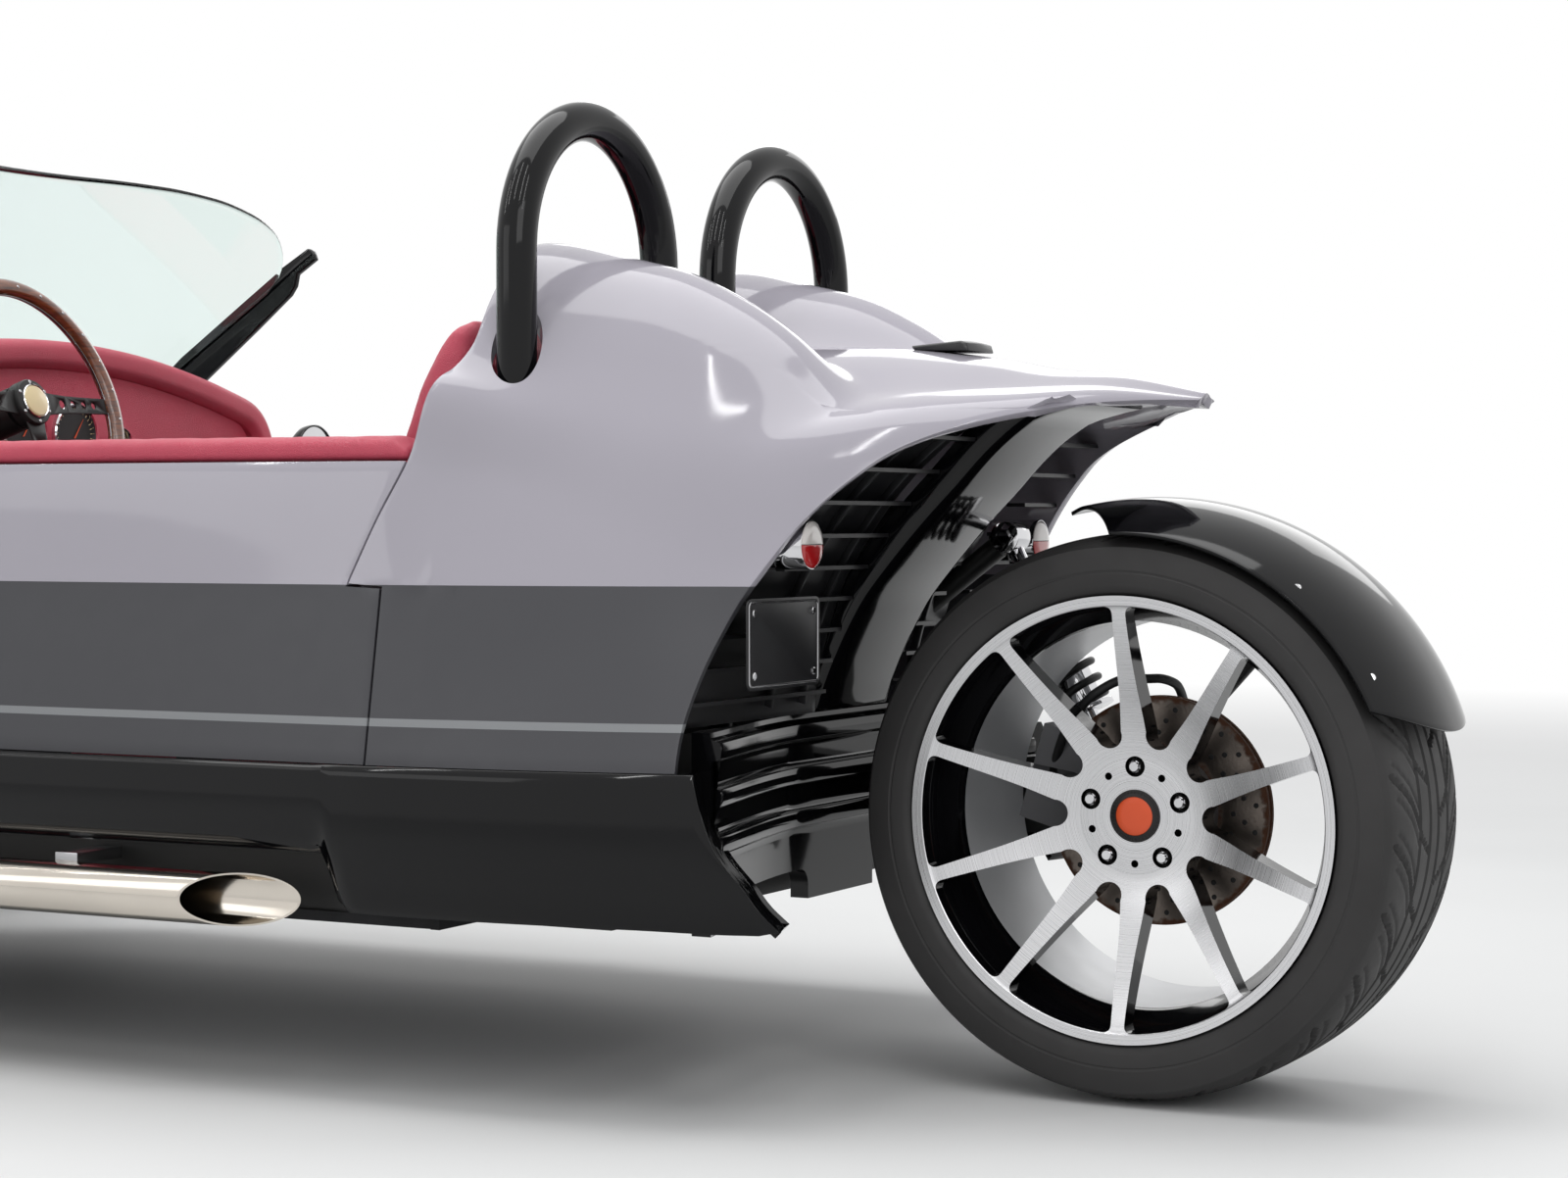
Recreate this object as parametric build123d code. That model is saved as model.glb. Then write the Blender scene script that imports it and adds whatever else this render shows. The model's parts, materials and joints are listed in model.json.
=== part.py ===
from build123d import *
import math
import os

# An open two-seat three-wheeled roadster: two steered front wheels and one rear wheel.
# Millimetres. While it is built, x runs forward from the rear axle, y to the left and z up
# from the ground. The finished solids are moved so that the origin is under the middle.

# Main sizes
WHEELBASE = 2534.0
OVERALL_WIDTH = 1755.0
NOSE_REACH = 770.0
HOOP_TOP = 1165.0
SCREEN_TOP = 1162.0

# Wheels
RIM_FLANGE_R = 256.0
RIM_WALL = 9.0
HUB_FACE_R = 78.0
HUB_FACE_DEPTH = 60.0
SPOKES = 10
SPOKE_DEPTH = 34.0
SPOKE_RIM_WIDTH = 15.0
SPOKE_HUB_WIDTH = 40.0
HUB_BORE_R = 30.0
LUG_PCD = 114.3
LUG_HOLE_R = 13.0
LUGS = 5
REAR_TYRE_R = 327.0
REAR_TYRE_WIDTH = 294.0
FRONT_TYRE_R = 320.0
FRONT_TYRE_WIDTH = 228.0
RIM_INSET = 4.0
DISC_R = 135.0
DISC_THICKNESS = 20.0
DISC_GAP = 6.0
CALIPER_CHEEK = 12.0
DISC_INSET_FRONT = 13.0
REAR_DISC_Y = -4.0

# Front suspension and steering
STEER_LIMIT = 30.0
KINGPIN_INSET = 73.0
STEER_ARM = 130.0
ARM_TUBE_R = 12.0
LOWER_BALL_Z = 190.0
UPPER_BALL_Z = 460.0
BALL_R = 20.0
RACK_Z = 330.0
RACK_R = 11.0

# Fenders
FENDER_PROUD = 8.0
FENDER_WALL = 5.0
FENDER_GAP = 34.0
FENDER_REAR_R = 364.0
FENDER_REAR_END = 162.0
FENDER_DROP = 36.0
REAR_FENDER_HALF = REAR_TYRE_WIDTH / 2 + 6
STRUT_REACH = 120.0

# Body
BODY_WALL = 12.0
SHUT_LINE = 3.0
SEAT_GAP = 0.3
SIDE_WALL = 42.0
RAIL_BOTTOM = 735.0
RAIL_TOP = 765.0
RAIL_WIDTH = 62.0
SKIRT_TOP = 392.0
SKIRT_BOTTOM = 222.0
SKIRT_WALL = 28.0
RECESS_TOP = 288.0
SEAM_X = 724.0
COWL_X = WHEELBASE - 799.0
DASH_X = COWL_X - 80.0
FLOOR_Z = 200.0
FLOOR_THICKNESS = 12.0
TUB_HALF = 476.0
BULKHEAD_X = 692.0
SILL_FRONT = WHEELBASE - 634.0
SKIRT_FRONT = WHEELBASE - 454.0
TOE_X = WHEELBASE - 549.0
THICK_REAR = 600.0
THICK_FRONT = WHEELBASE - 334.0
SILL_IN = 420.0
SILL_OUT = 470.0
BRACKET_X = 1010.0

# Rear grille, spine cover and bumper
GRILLE_DEPTH = 26.0
GRILLE_SHEET = 6.0
SLAT_PITCH = 37.5
SLAT_COUNT = 9
SLAT_LOWEST = 462.0
SLAT_DEPTH = 16.0
SPINE_HALF_WIDTH = 60.0
BUMPER_TOP = 434.0
BUMPER_HALF = 449.0
SLAT_THICKNESS = 5.0
RIB_YS = (150.0, 235.0)
BUMPER_RIBS = (300.0, 352.0, 404.0)
BUMPER_RIB = 20.0
BUMPER_FLAT = 150.0

# Roll hoops and the humps behind them
HOOP_X = 633.0
HOOP_TUBE_R = 23.5
HOOP_CENTRE_Y = 241.0
HOOP_HALF_SPAN = 165.0
HOOP_FOOT_Z = 400.0
HOOP_HOLE_CLEARANCE = 6.0

# Pedals
PEDAL_YS = (200.0, 300.0)
PEDAL_HALF = 30.0

# Windscreen, from the middle of its foot on the cowl
SCREEN_X = COWL_X + 111.0
SCREEN_Z = 900.0
SCREEN_RAKE = 33.2
SCREEN_HALF = 500.0
SCREEN_BOW = 150.0
GLASS = 6.0

# Steering wheel
STEERING_Y = 258.0
STEERING_HUB = (DASH_X - 173.0, 822.0)
STEERING_R = 174.0
STEERING_TILT = 18.0
STEERING_RIM_R = 12.0

# Rear suspension
ARM_Y = -205.0
ARM_WIDTH = 60.0
PIVOT_X = 452.0
PIVOT_Z = 315.0
SHOCK_HEAD = (278.0, 646.0)
SHOCK_EYE_R = 20.0

# Frame
SILL_TOP = 290.0
RAIL_IN = 240.0
RAIL_OUT = 290.0
FRAME_RAIL_TOP = 280.0

ENGINE_X = WHEELBASE - 82.0
ENGINE_LENGTH = 408.0
ENGINE_HALF = 236.0
ENGINE_TOP = 640.0
FRAME_FRONT = WHEELBASE + 586.0
FRAME_REAR = 470.0
BEAM = 50.0

# Exhausts
PIPE_R = 31.0
PIPE_WALL = 2.5
PIPE_Y = 552.0
PIPE_Z = 230.0
PIPE_TAIL_X = 836.0

# Lamps and small fittings
HEADLAMP_R = 86.0
HEADLAMP_LENGTH = 105.0
HEADLAMP_X = WHEELBASE + 351.0
HEADLAMP_Y = 402.0
HEADLAMP_Z = 590.0
TAIL_LAMP_R = 28.0
TAIL_LAMP_Y = 334.0
TAIL_LAMP_Z = 640.0
PLATE_WIDTH = 178.0
PLATE_HEIGHT = 102.0
PLATE_Y = 320.0
PLATE_Z = 529.0
PLATE_X = 334.0
PLATE_HOLE_R = 3.5
PLATE_HOLE_DY = 146.0
PLATE_HOLE_DZ = 70.0
MIRROR_R = 50.0
MIRROR_X = COWL_X - 80.0
MIRROR_DEPTH = 37.0
MIRROR_Y = 612.0
MIRROR_Z = 770.0

FRONT_WHEEL_Y = OVERALL_WIDTH / 2 - FRONT_TYRE_WIDTH / 2 - FENDER_PROUD
KINGPIN_Y = FRONT_WHEEL_Y - KINGPIN_INSET
NOSE_X = WHEELBASE + NOSE_REACH
REAR_REACH = -FENDER_REAR_R * math.cos(math.radians(FENDER_REAR_END))
ORIGIN_X = (NOSE_X - REAR_REACH) / 2
AXLE_Z = FRONT_TYRE_R
CALIPER_HALF = DISC_THICKNESS / 2 + DISC_GAP + CALIPER_CHEEK
FRONT_DISC_Y = FRONT_WHEEL_Y - DISC_INSET_FRONT
FENDER_FRONT_R = FRONT_TYRE_R + FENDER_GAP
STRUT_Y = FRONT_WHEEL_Y - FRONT_TYRE_WIDTH / 2 - 14
ARM_BUSH_Y = RAIL_OUT + ARM_TUBE_R + 0.3

# Wishbones, lower and upper: half the spread of the feet, height of the feet, height of the ball.
ARM_SPREADS = ((150.0, 250.0, LOWER_BALL_Z), (165.0, 484.0, UPPER_BALL_Z))

# Outer skin, one row for each station. Columns: x, half-width and height of the bottom edge,
# half-width and height where the flank ends, half-width and height where the deck starts, and
# the height on the centre line.
SKIN = (
    (-56.0, 44.0, 780.0, 30.0, 800.0, 14.0, 810.0, 815.0),
    (39.0, 190.0, 640.0, 175.0, 782.0, 100.0, 822.0, 839.0),
    (118.0, 300.0, 520.0, 262.0, 750.0, 150.0, 820.0, 846.0),
    (194.0, 380.0, 440.0, 322.0, 705.0, 190.0, 820.0, 860.0),
    (300.0, 470.0, 392.0, 388.0, 625.0, 230.0, 815.0, 874.0),
    (354.0, 492.0, 392.0, 407.0, 600.0, 245.0, 815.0, 878.0),
    (470.0, 520.0, 392.0, 440.0, 640.0, 255.0, 825.0, 882.0),
    (633.0, 545.0, 392.0, 462.0, 690.0, 270.0, 842.0, 885.0),
    (767.0, 554.0, 392.0, 497.0, 735.0, 300.0, 850.0, 890.0),
    (1230.0, 556.0, 392.0, 527.0, 735.0, 360.0, 862.0, 905.0),
    (COWL_X, 553.0, 392.0, 524.0, 735.0, 400.0, 872.0, 926.0),
    (WHEELBASE - 434.0, 470.0, 392.0, 436.0, 725.0, 300.0, 850.0, 903.0),
    (WHEELBASE, 374.0, 380.0, 338.0, 680.0, 220.0, 800.0, 848.0),
    (WHEELBASE + 466.0, 276.0, 330.0, 248.0, 600.0, 160.0, 715.0, 762.0),
    (WHEELBASE + 696.0, 232.0, 285.0, 206.0, 540.0, 132.0, 660.0, 705.0),
    (NOSE_X, 206.0, 305.0, 180.0, 520.0, 112.0, 625.0, 664.0),
)

# The rear edge of the tail in side view, from its tip down: x, z.
TAIL_EDGE = (
    (-56.0, 806.0), (39.0, 798.0), (118.0, 779.0), (194.0, 748.0), (234.0, 717.0),
    (281.0, 668.0), (315.0, 620.0), (354.0, 549.0), (372.0, 470.0), (366.0, 388.0),
)

# Humps behind the hoops: x, half-width, height of the base, height of the ridge.
HUMPS = (
    (684.0, 172.0, 800.0, 1000.0),
    (633.0, 172.0, 800.0, 990.0),
    (583.0, 166.0, 805.0, 980.0),
    (503.0, 148.0, 812.0, 960.0),
    (425.0, 118.0, 818.0, 924.0),
    (340.0, 70.0, 822.0, 874.0),
)


def block(x, y, z):
    """A box from three (low, high) pairs."""
    centre = ((x[0] + x[1]) / 2, (y[0] + y[1]) / 2, (z[0] + z[1]) / 2)
    return Pos(*centre) * Box(x[1] - x[0], y[1] - y[0], z[1] - z[0])


def rod(start, end, radius):
    """A round bar between two points."""
    a, b = Vector(*start), Vector(*end)
    return Solid.make_cylinder(radius, (b - a).length, Plane(origin=a, z_dir=b - a))


def face_of(points):
    """A flat face through a closed list of points."""
    return Face(Wire.make_polygon([Vector(*p) for p in points], close=True))


def side_prism(outline, y0, y1):
    """An (x, z) outline pushed across the car from y0 to y1."""
    return Solid.extrude(face_of([(x, y0, z) for x, z in outline]), Vector(0, y1 - y0, 0))


def plan_prism(outline, z0, z1):
    """An (x, y) outline pushed up from z0 to z1."""
    return Solid.extrude(face_of([(x, y, z0) for x, y in outline]), Vector(0, 0, z1 - z0))


def mirrored(shape):
    """The same shape on the other side of the car."""
    return mirror(shape, Plane.XZ)


def both_sides(shape):
    """A shape and its mirror image as one node."""
    return Compound([*solids_of(shape), *solids_of(mirrored(shape))])


def solids_of(shape):
    """Every solid of a shape, as a list."""
    return list(shape.solids())


def skin_wire(row, inset, drop):
    """The closed section of the outer skin at one station, moved inwards by an inset."""
    x, bottom_y, bottom_z, flank_y, flank_z, deck_y, deck_z, top_z = row
    a = (bottom_y - inset, bottom_z - drop)
    b = (flank_y - inset, flank_z - inset / 3)
    c = (deck_y - inset / 2, deck_z - inset)
    d = (0.0, top_z - inset)
    middle = ((b[0] + c[0]) / 2, (b[1] + c[1]) / 2)
    corner = (b[0], c[1])
    e = (middle[0] + 0.42 * (corner[0] - middle[0]), middle[1] + 0.42 * (corner[1] - middle[1]))

    def at(point, side=1):
        return Vector(x, side * point[0], point[1])

    edges = [
        Edge.make_line(at(a, -1), at(a)),
        Edge.make_line(at(a), at(b)),
        Edge.make_three_point_arc(at(b), at(e), at(c)),
        Edge.make_three_point_arc(at(c), at(d), at(c, -1)),
        Edge.make_three_point_arc(at(c, -1), at(e, -1), at(b, -1)),
        Edge.make_line(at(b, -1), at(a, -1)),
    ]
    return Wire(edges)


def skin_solid(inset=0.0, drop=0.0, rows=SKIN):
    """The whole body as one solid, for cutting panels from."""
    return Solid.make_loft([skin_wire(row, inset, drop) for row in rows], ruled=True)


def inner_solid(inset):
    """The space inside the skin, open below and at the nose."""
    nose = (NOSE_X + 1.0,) + SKIN[-1][1:]
    return skin_solid(inset, 60.0, SKIN[1:-1] + (nose,))


def thick_core(inset):
    """The space inside a thick wall, along the cockpit alone."""
    return skin_solid(inset, 60.0, [row for row in SKIN if THICK_REAR < row[0] < THICK_FRONT])


def skin_half_width(x, column=1):
    """The skin's half-width at a station, read between rows of the table."""
    for low, high in zip(SKIN, SKIN[1:]):
        if low[0] <= x <= high[0]:
            share = (x - low[0]) / (high[0] - low[0])
            return low[column] + share * (high[column] - low[column])
    return SKIN[-1][column]


def shoulder_line(x_start, x_end):
    """The line between hood and side panels in side view."""
    points = [(x, row_z) for x, _, _, _, row_z, _, _, _ in SKIN if x_start < x < x_end]
    start = (x_start, skin_half_width(x_start, 4))
    end = (x_end, skin_half_width(x_end, 4))
    return [start] + points + [end]


def hump(side):
    """The rounded fairing behind one hoop."""
    wires = []
    for x, half_width, base, ridge in HUMPS:
        left = Vector(x, side * HOOP_CENTRE_Y - half_width, base)
        right = Vector(x, side * HOOP_CENTRE_Y + half_width, base)
        top = Vector(x, side * HOOP_CENTRE_Y, ridge)
        wires.append(Wire([Edge.make_three_point_arc(left, top, right), Edge.make_line(right, left)]))
    return Solid.make_loft(wires, ruled=True)


def behind_seam():
    """Everything behind the joint between the side panels and the tail."""
    outline = [
        (SKIN[0][0] - 50, 1200), (SKIN[0][0] - 50, 100), (SEAM_X, 100), (SEAM_X, 594),
        (767, 594), (725, RAIL_BOTTOM), (700, 829), (684, 880), (684, 1200),
    ]
    return side_prism(outline, -700, 700)


def under_tail():
    """The hollow below and behind the tail's rear edge."""
    outline = list(TAIL_EDGE) + [(366.0, 100.0), (-200.0, 100.0), (-200.0, 806.0)]
    return side_prism(outline, -700, 700)


def hoop_holes():
    """Holes where the legs of both hoops go through the body."""
    radius = HOOP_TUBE_R + HOOP_HOLE_CLEARANCE
    legs = []
    for side in (-1, 1):
        for leg in (-1, 1):
            y = side * HOOP_CENTRE_Y + leg * HOOP_HALF_SPAN
            legs.append(rod((HOOP_X, y, HOOP_FOOT_Z), (HOOP_X, y, HOOP_TOP), radius))
    return legs


def tail_shell(outer, inner):
    """The painted tail with its two humps."""
    shell = outer + hump(1) + hump(-1) - inner
    shell = (shell & behind_seam()) - under_tail()
    for hole in hoop_holes():
        shell = shell - hole
    return shell


def side_panel(outer):
    """The left side of the cockpit, as thick as the whole wall."""
    inner = thick_core(SIDE_WALL)
    start = SEAM_X + SHUT_LINE
    outline = [
        (start, SKIRT_TOP), (start, 594), (767 + SHUT_LINE, 594), (725 + SHUT_LINE, RAIL_BOTTOM),
        (COWL_X - SHUT_LINE, RAIL_BOTTOM), (COWL_X - SHUT_LINE, SKIRT_TOP),
    ]
    return (outer - inner) & side_prism(outline, 100, 700)


def front_region(below):
    """The space above or below the shoulder line, ahead of the cowl."""
    line = shoulder_line(COWL_X, NOSE_X)
    if below:
        return side_prism(line + [(NOSE_X + 5, 100), (COWL_X, 100)], -700, 700)
    raised = [(x, z + SHUT_LINE) for x, z in line]
    return side_prism(raised + [(NOSE_X + 5, 1200), (COWL_X, 1200)], -700, 700)


def hood(outer, inner):
    """The bonnet from the cowl to the nose."""
    return (outer - inner) & front_region(False)


def nose_sides(outer, inner):
    """The lower front body on both sides, open where the suspension goes through."""
    panels = (outer - inner) & front_region(True)
    opening = block((WHEELBASE - 215, WHEELBASE + 215), (-700, 700), (300, 640))
    return panels - opening


def plan_wall(stations, wall, z0, z1):
    """A wall that follows the skin's bottom edge in plan."""
    outer = [(x, skin_half_width(x)) for x in stations]
    inner = [(x, y - wall) for x, y in reversed(outer)]
    return plan_prism(outer + inner, z0, z1)


def skirt():
    """The black skirt under the left side, with its recess over the exhaust."""
    stations = [262, 300, 354, 470, 633, 767, 1230, COWL_X, SKIRT_FRONT]
    wall = plan_wall(stations, SKIRT_WALL, SKIRT_BOTTOM - 10, SKIRT_TOP - SEAT_GAP)
    outline = [
        (352, SKIRT_TOP), (340, 350), (326, 305), (298, 258), (262, SKIRT_BOTTOM - 6),
        (690, SKIRT_BOTTOM), (810, SKIRT_BOTTOM), (786, RECESS_TOP - 12), (800, RECESS_TOP),
        (SKIRT_FRONT, RECESS_TOP), (SKIRT_FRONT, SKIRT_TOP),
    ]
    return wall & side_prism(outline, 100, 700)


def offset_edge(distance, points=TAIL_EDGE):
    """The tail's rear edge, moved forwards and up by a distance."""
    centre_x, centre_z = 0.0, REAR_TYRE_R
    moved = []
    for x, z in points:
        length = math.hypot(x - centre_x, z - centre_z)
        share = (length + distance) / length
        moved.append((centre_x + (x - centre_x) * share, centre_z + (z - centre_z) * share))
    return moved


def edge_at(height, distance):
    """The x of the offset rear edge at a height."""
    line = offset_edge(distance)
    for high, low in zip(line, line[1:]):
        if low[1] <= height <= high[1]:
            share = (height - low[1]) / (high[1] - low[1])
            return low[0] + share * (high[0] - low[0])
    return line[-1][0]


def rear_grille(inner):
    """Slatted black panels either side of the spine."""
    near, far = offset_edge(GRILLE_DEPTH)[1:], offset_edge(GRILLE_DEPTH + GRILLE_SHEET)[1:]
    band = side_prism(near + list(reversed(far)), SPINE_HALF_WIDTH + SEAT_GAP, 700)
    for index in range(SLAT_COUNT):
        z = SLAT_LOWEST + index * SLAT_PITCH
        x = edge_at(z, GRILLE_DEPTH)
        reach = SLAT_DEPTH * (1.0 + 0.15 * index)
        depth, height = (x - reach, x + GRILLE_SHEET / 2), (z - SLAT_THICKNESS / 2, z + SLAT_THICKNESS / 2)
        slat = block(depth, (SPINE_HALF_WIDTH + SEAT_GAP, 700), height)
        band = band + slat
    for y in RIB_YS:
        rib = side_prism(offset_edge(GRILLE_DEPTH - 10)[1:] + list(reversed(near)), y - 3, y + 3)
        band = band + rib
    lamp_hole = rod((200, TAIL_LAMP_Y, TAIL_LAMP_Z), (420, TAIL_LAMP_Y, TAIL_LAMP_Z), TAIL_LAMP_R + 1)
    above_bumper = block((-200, 600), (0, 700), (BUMPER_TOP + SEAT_GAP, 1200))
    panel = (band & inner & above_bumper) - lamp_hole
    right = mirrored(panel) - block((200, 480), (ARM_Y - 36, ARM_Y + 36), (530, 692))
    return Compound(solids_of(panel) + solids_of(right))


def rear_spine(inner):
    """The curved cover on the centre line ahead of the rear wheel."""
    rear = [(60, 802), (125, 782), (228, 690), (300, 610), (342, 560), (385, 470), (398, 440)]
    front = [(x + 46, z + 20) for x, z in reversed(rear)]
    return side_prism(rear + front, -SPINE_HALF_WIDTH, SPINE_HALF_WIDTH) & inner


def rear_bumper():
    """The ribbed lower rear panel between the skirts."""
    flat = BUMPER_FLAT
    plan = [
        (356, BUMPER_HALF), (418, flat), (418, -flat), (356, -BUMPER_HALF),
        (386, -BUMPER_HALF), (448, -flat), (448, flat), (386, BUMPER_HALF),
    ]
    panel = plan_prism(plan, SKIRT_BOTTOM - 14, BUMPER_TOP)
    for z in BUMPER_RIBS:
        rib_plan = [(x - 14 if x < 420 and index < 4 else x, y) for index, (x, y) in enumerate(plan)]
        panel = panel + plan_prism(rib_plan, z, z + BUMPER_RIB)
    notch = block((300, 500), (90, 330), (190, 246))
    slot = block((300, 500), (ARM_Y - 68, ARM_Y + 68), (225, 398))
    return panel - notch - mirrored(notch) - slot


def rails():
    """The padded rails along both sides of the cockpit."""
    wires = []
    for x in (728.0, 1230.0, COWL_X - SHUT_LINE):
        outer = skin_half_width(max(x, 767.0), 3) - 2
        low, high = RAIL_BOTTOM + 0.3, RAIL_TOP
        corners = [(outer, low), (outer - 6, high), (outer - RAIL_WIDTH, high), (outer - RAIL_WIDTH, low)]
        wires.append(Wire.make_polygon([Vector(x, y, z) for y, z in corners], close=True))
    return both_sides(Solid.make_loft(wires, ruled=True))


def dash(outer):
    """The padded cowl lip and the instrument panel under it."""
    hollow = thick_core(70.0)
    lip = (outer - hollow) & block((DASH_X, COWL_X - 0.3), (-700, 700), (RAIL_TOP + 4, 1200))
    board = thick_core(RAIL_WIDTH + 6) & block((DASH_X + 16, DASH_X + 40), (-700, 700), (600, 1200))
    column = rod((DASH_X - 100, STEERING_Y, 767), (DASH_X + 200, STEERING_Y, 767), 42)
    return lip + board - column


def screen_glass(outer):
    """The raked, curved windscreen."""
    rake = math.radians(SCREEN_RAKE)
    up = Vector(-math.cos(rake), 0, math.sin(rake))
    normal = Vector(math.sin(rake), 0, math.cos(rake))
    base = Vector(SCREEN_X, 0, SCREEN_Z)
    half, bow, thick = SCREEN_HALF, SCREEN_BOW, GLASS

    def at(v, n):
        return base + normal * n + Vector(0, v, 0) - up * 260

    edges = [
        Edge.make_three_point_arc(at(-half, 0), at(0, bow), at(half, 0)),
        Edge.make_line(at(half, 0), at(half - 2, -thick)),
        Edge.make_three_point_arc(at(half - 2, -thick), at(0, bow - thick), at(-half + 2, -thick)),
        Edge.make_line(at(-half + 2, -thick), at(-half, 0)),
    ]
    sheet = Solid.extrude(Face(Wire(edges)), up * 700)
    left = [(-346, 560), (-206, 560), (-234, 500), (-256, 455), (-244, 380), (-196, 230), (-156, 100)]
    half_top = [(SCREEN_X + dx, y) for dx, y in left]
    top = [(half_top[0][0], 0), *half_top, (SCREEN_X - 134, 0), *[(x, -y) for x, y in reversed(half_top)]]
    glass = sheet - plan_prism(top, 800, 1400)
    glass = glass - block((SCREEN_X - 446, SCREEN_X + 354), (-700, 700), (SCREEN_TOP, SCREEN_TOP + 300))
    return max(solids_of(glass - outer), key=lambda solid: solid.volume)


def screen_brackets(outer, glass):
    """The black side bars that carry the windscreen."""
    bar_points = ((-271, 1066), (-256, 1090), (-8, 928), (54, 870), (12, 858), (-34, 905))
    foot_points = ((-56, 815), (54, 800), (54, 870), (12, 880), (-46, 880))
    inner, outside = SCREEN_HALF + 1, SCREEN_HALF + 12
    bar = side_prism([(SCREEN_X + dx, z) for dx, z in bar_points], inner, outside)
    foot = side_prism([(SCREEN_X + dx, z) for dx, z in foot_points], SCREEN_HALF - 30, outside)
    return both_sides(bar + foot - outer - glass)


def hoop(side):
    """One inverted U of tube on its foot."""
    left = side * HOOP_CENTRE_Y - HOOP_HALF_SPAN
    right = side * HOOP_CENTRE_Y + HOOP_HALF_SPAN
    spring = HOOP_TOP - HOOP_TUBE_R - HOOP_HALF_SPAN
    top = Vector(HOOP_X, side * HOOP_CENTRE_Y, spring + HOOP_HALF_SPAN)
    path = Wire([
        Edge.make_line(Vector(HOOP_X, left, HOOP_FOOT_Z), Vector(HOOP_X, left, spring)),
        Edge.make_three_point_arc(Vector(HOOP_X, left, spring), top, Vector(HOOP_X, right, spring)),
        Edge.make_line(Vector(HOOP_X, right, spring), Vector(HOOP_X, right, HOOP_FOOT_Z)),
    ])
    start = Plane(origin=Vector(HOOP_X, left, HOOP_FOOT_Z), z_dir=Vector(0, 0, 1))
    return sweep((start * Circle(HOOP_TUBE_R)).face(), path=path)


def seat_cushion(side):
    """One seat base."""
    low = SILL_TOP + SEAT_GAP
    outline = [(836, low), (1180, low), (1270, 330), (1290, 380), (1270, 430), (1100, 425), (836, 400)]
    y = side * 250.0
    return side_prism(outline, y - 215, y + 215)


def seat_back(side):
    """One seat back, leaning against the bulkhead."""
    outline = [
        (BULKHEAD_X + FLOOR_THICKNESS + SEAT_GAP, 300), (796, 300), (830, 430), (812, 620),
        (798, 772), (752, 905), (722, 925), (706, 915),
    ]
    upper, lower = 158.0, 205.0
    back = side_prism(outline, side * 225 - lower, side * 225 + lower)
    trim_y = side * 225 + side * upper
    wedge = [(0, 600), (0, 1000), (side * 60, 1000), (side * 60, 600)]
    face = face_of([(600, trim_y + y, z) for y, z in wedge])
    return back - Solid.extrude(face, Vector(400, 0, 0))


def tub(frame):
    """Floor, bulkhead behind the seats and toe board."""
    half = TUB_HALF
    plan = [
        (BULKHEAD_X, -half), (SILL_FRONT, -half), (TOE_X, -SILL_IN), (TOE_X, SILL_IN), (SILL_FRONT, half),
        (BULKHEAD_X, half),
    ]
    floor = plan_prism(plan, FLOOR_Z, FLOOR_Z + FLOOR_THICKNESS)
    section = [(half + 4, FLOOR_Z), (420, 760), (370, 820), (-370, 820), (-420, 760), (-half - 4, FLOOR_Z)]
    back = face_of([(BULKHEAD_X, y, z) for y, z in section])
    bulkhead = Solid.extrude(back, Vector(FLOOR_THICKNESS, 0, 0))
    x = TOE_X - FLOOR_THICKNESS
    toe = face_of([(x, -SILL_IN, FLOOR_Z), (x, SILL_IN, FLOOR_Z), (x, 400, 690), (x, -400, 690)])
    return floor + bulkhead + Solid.extrude(toe, Vector(FLOOR_THICKNESS, 0, 0)) - frame


def pedals():
    """Two pedals hanging from the toe board."""
    parts = None
    face_x = TOE_X - FLOOR_THICKNESS
    for y in PEDAL_YS:
        pivot = rod((face_x - 0.3, y, 560), (face_x - 40, y, 560), 8)
        arm = rod((face_x - 36, y, 566), (face_x - 96, y, 380), 8)
        pad = side_prism([
            (face_x - 108, 330), (face_x - 96, 330), (face_x - 80, 392), (face_x - 94, 392),
        ], y - PEDAL_HALF, y + PEDAL_HALF)
        one = pivot + arm + pad
        parts = one if parts is None else Compound(solids_of(parts) + solids_of(one))
    return parts


def span(side, low, high):
    """A (low, high) pair across the car, on one side of it."""
    return tuple(sorted((side * low, side * high)))


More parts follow.
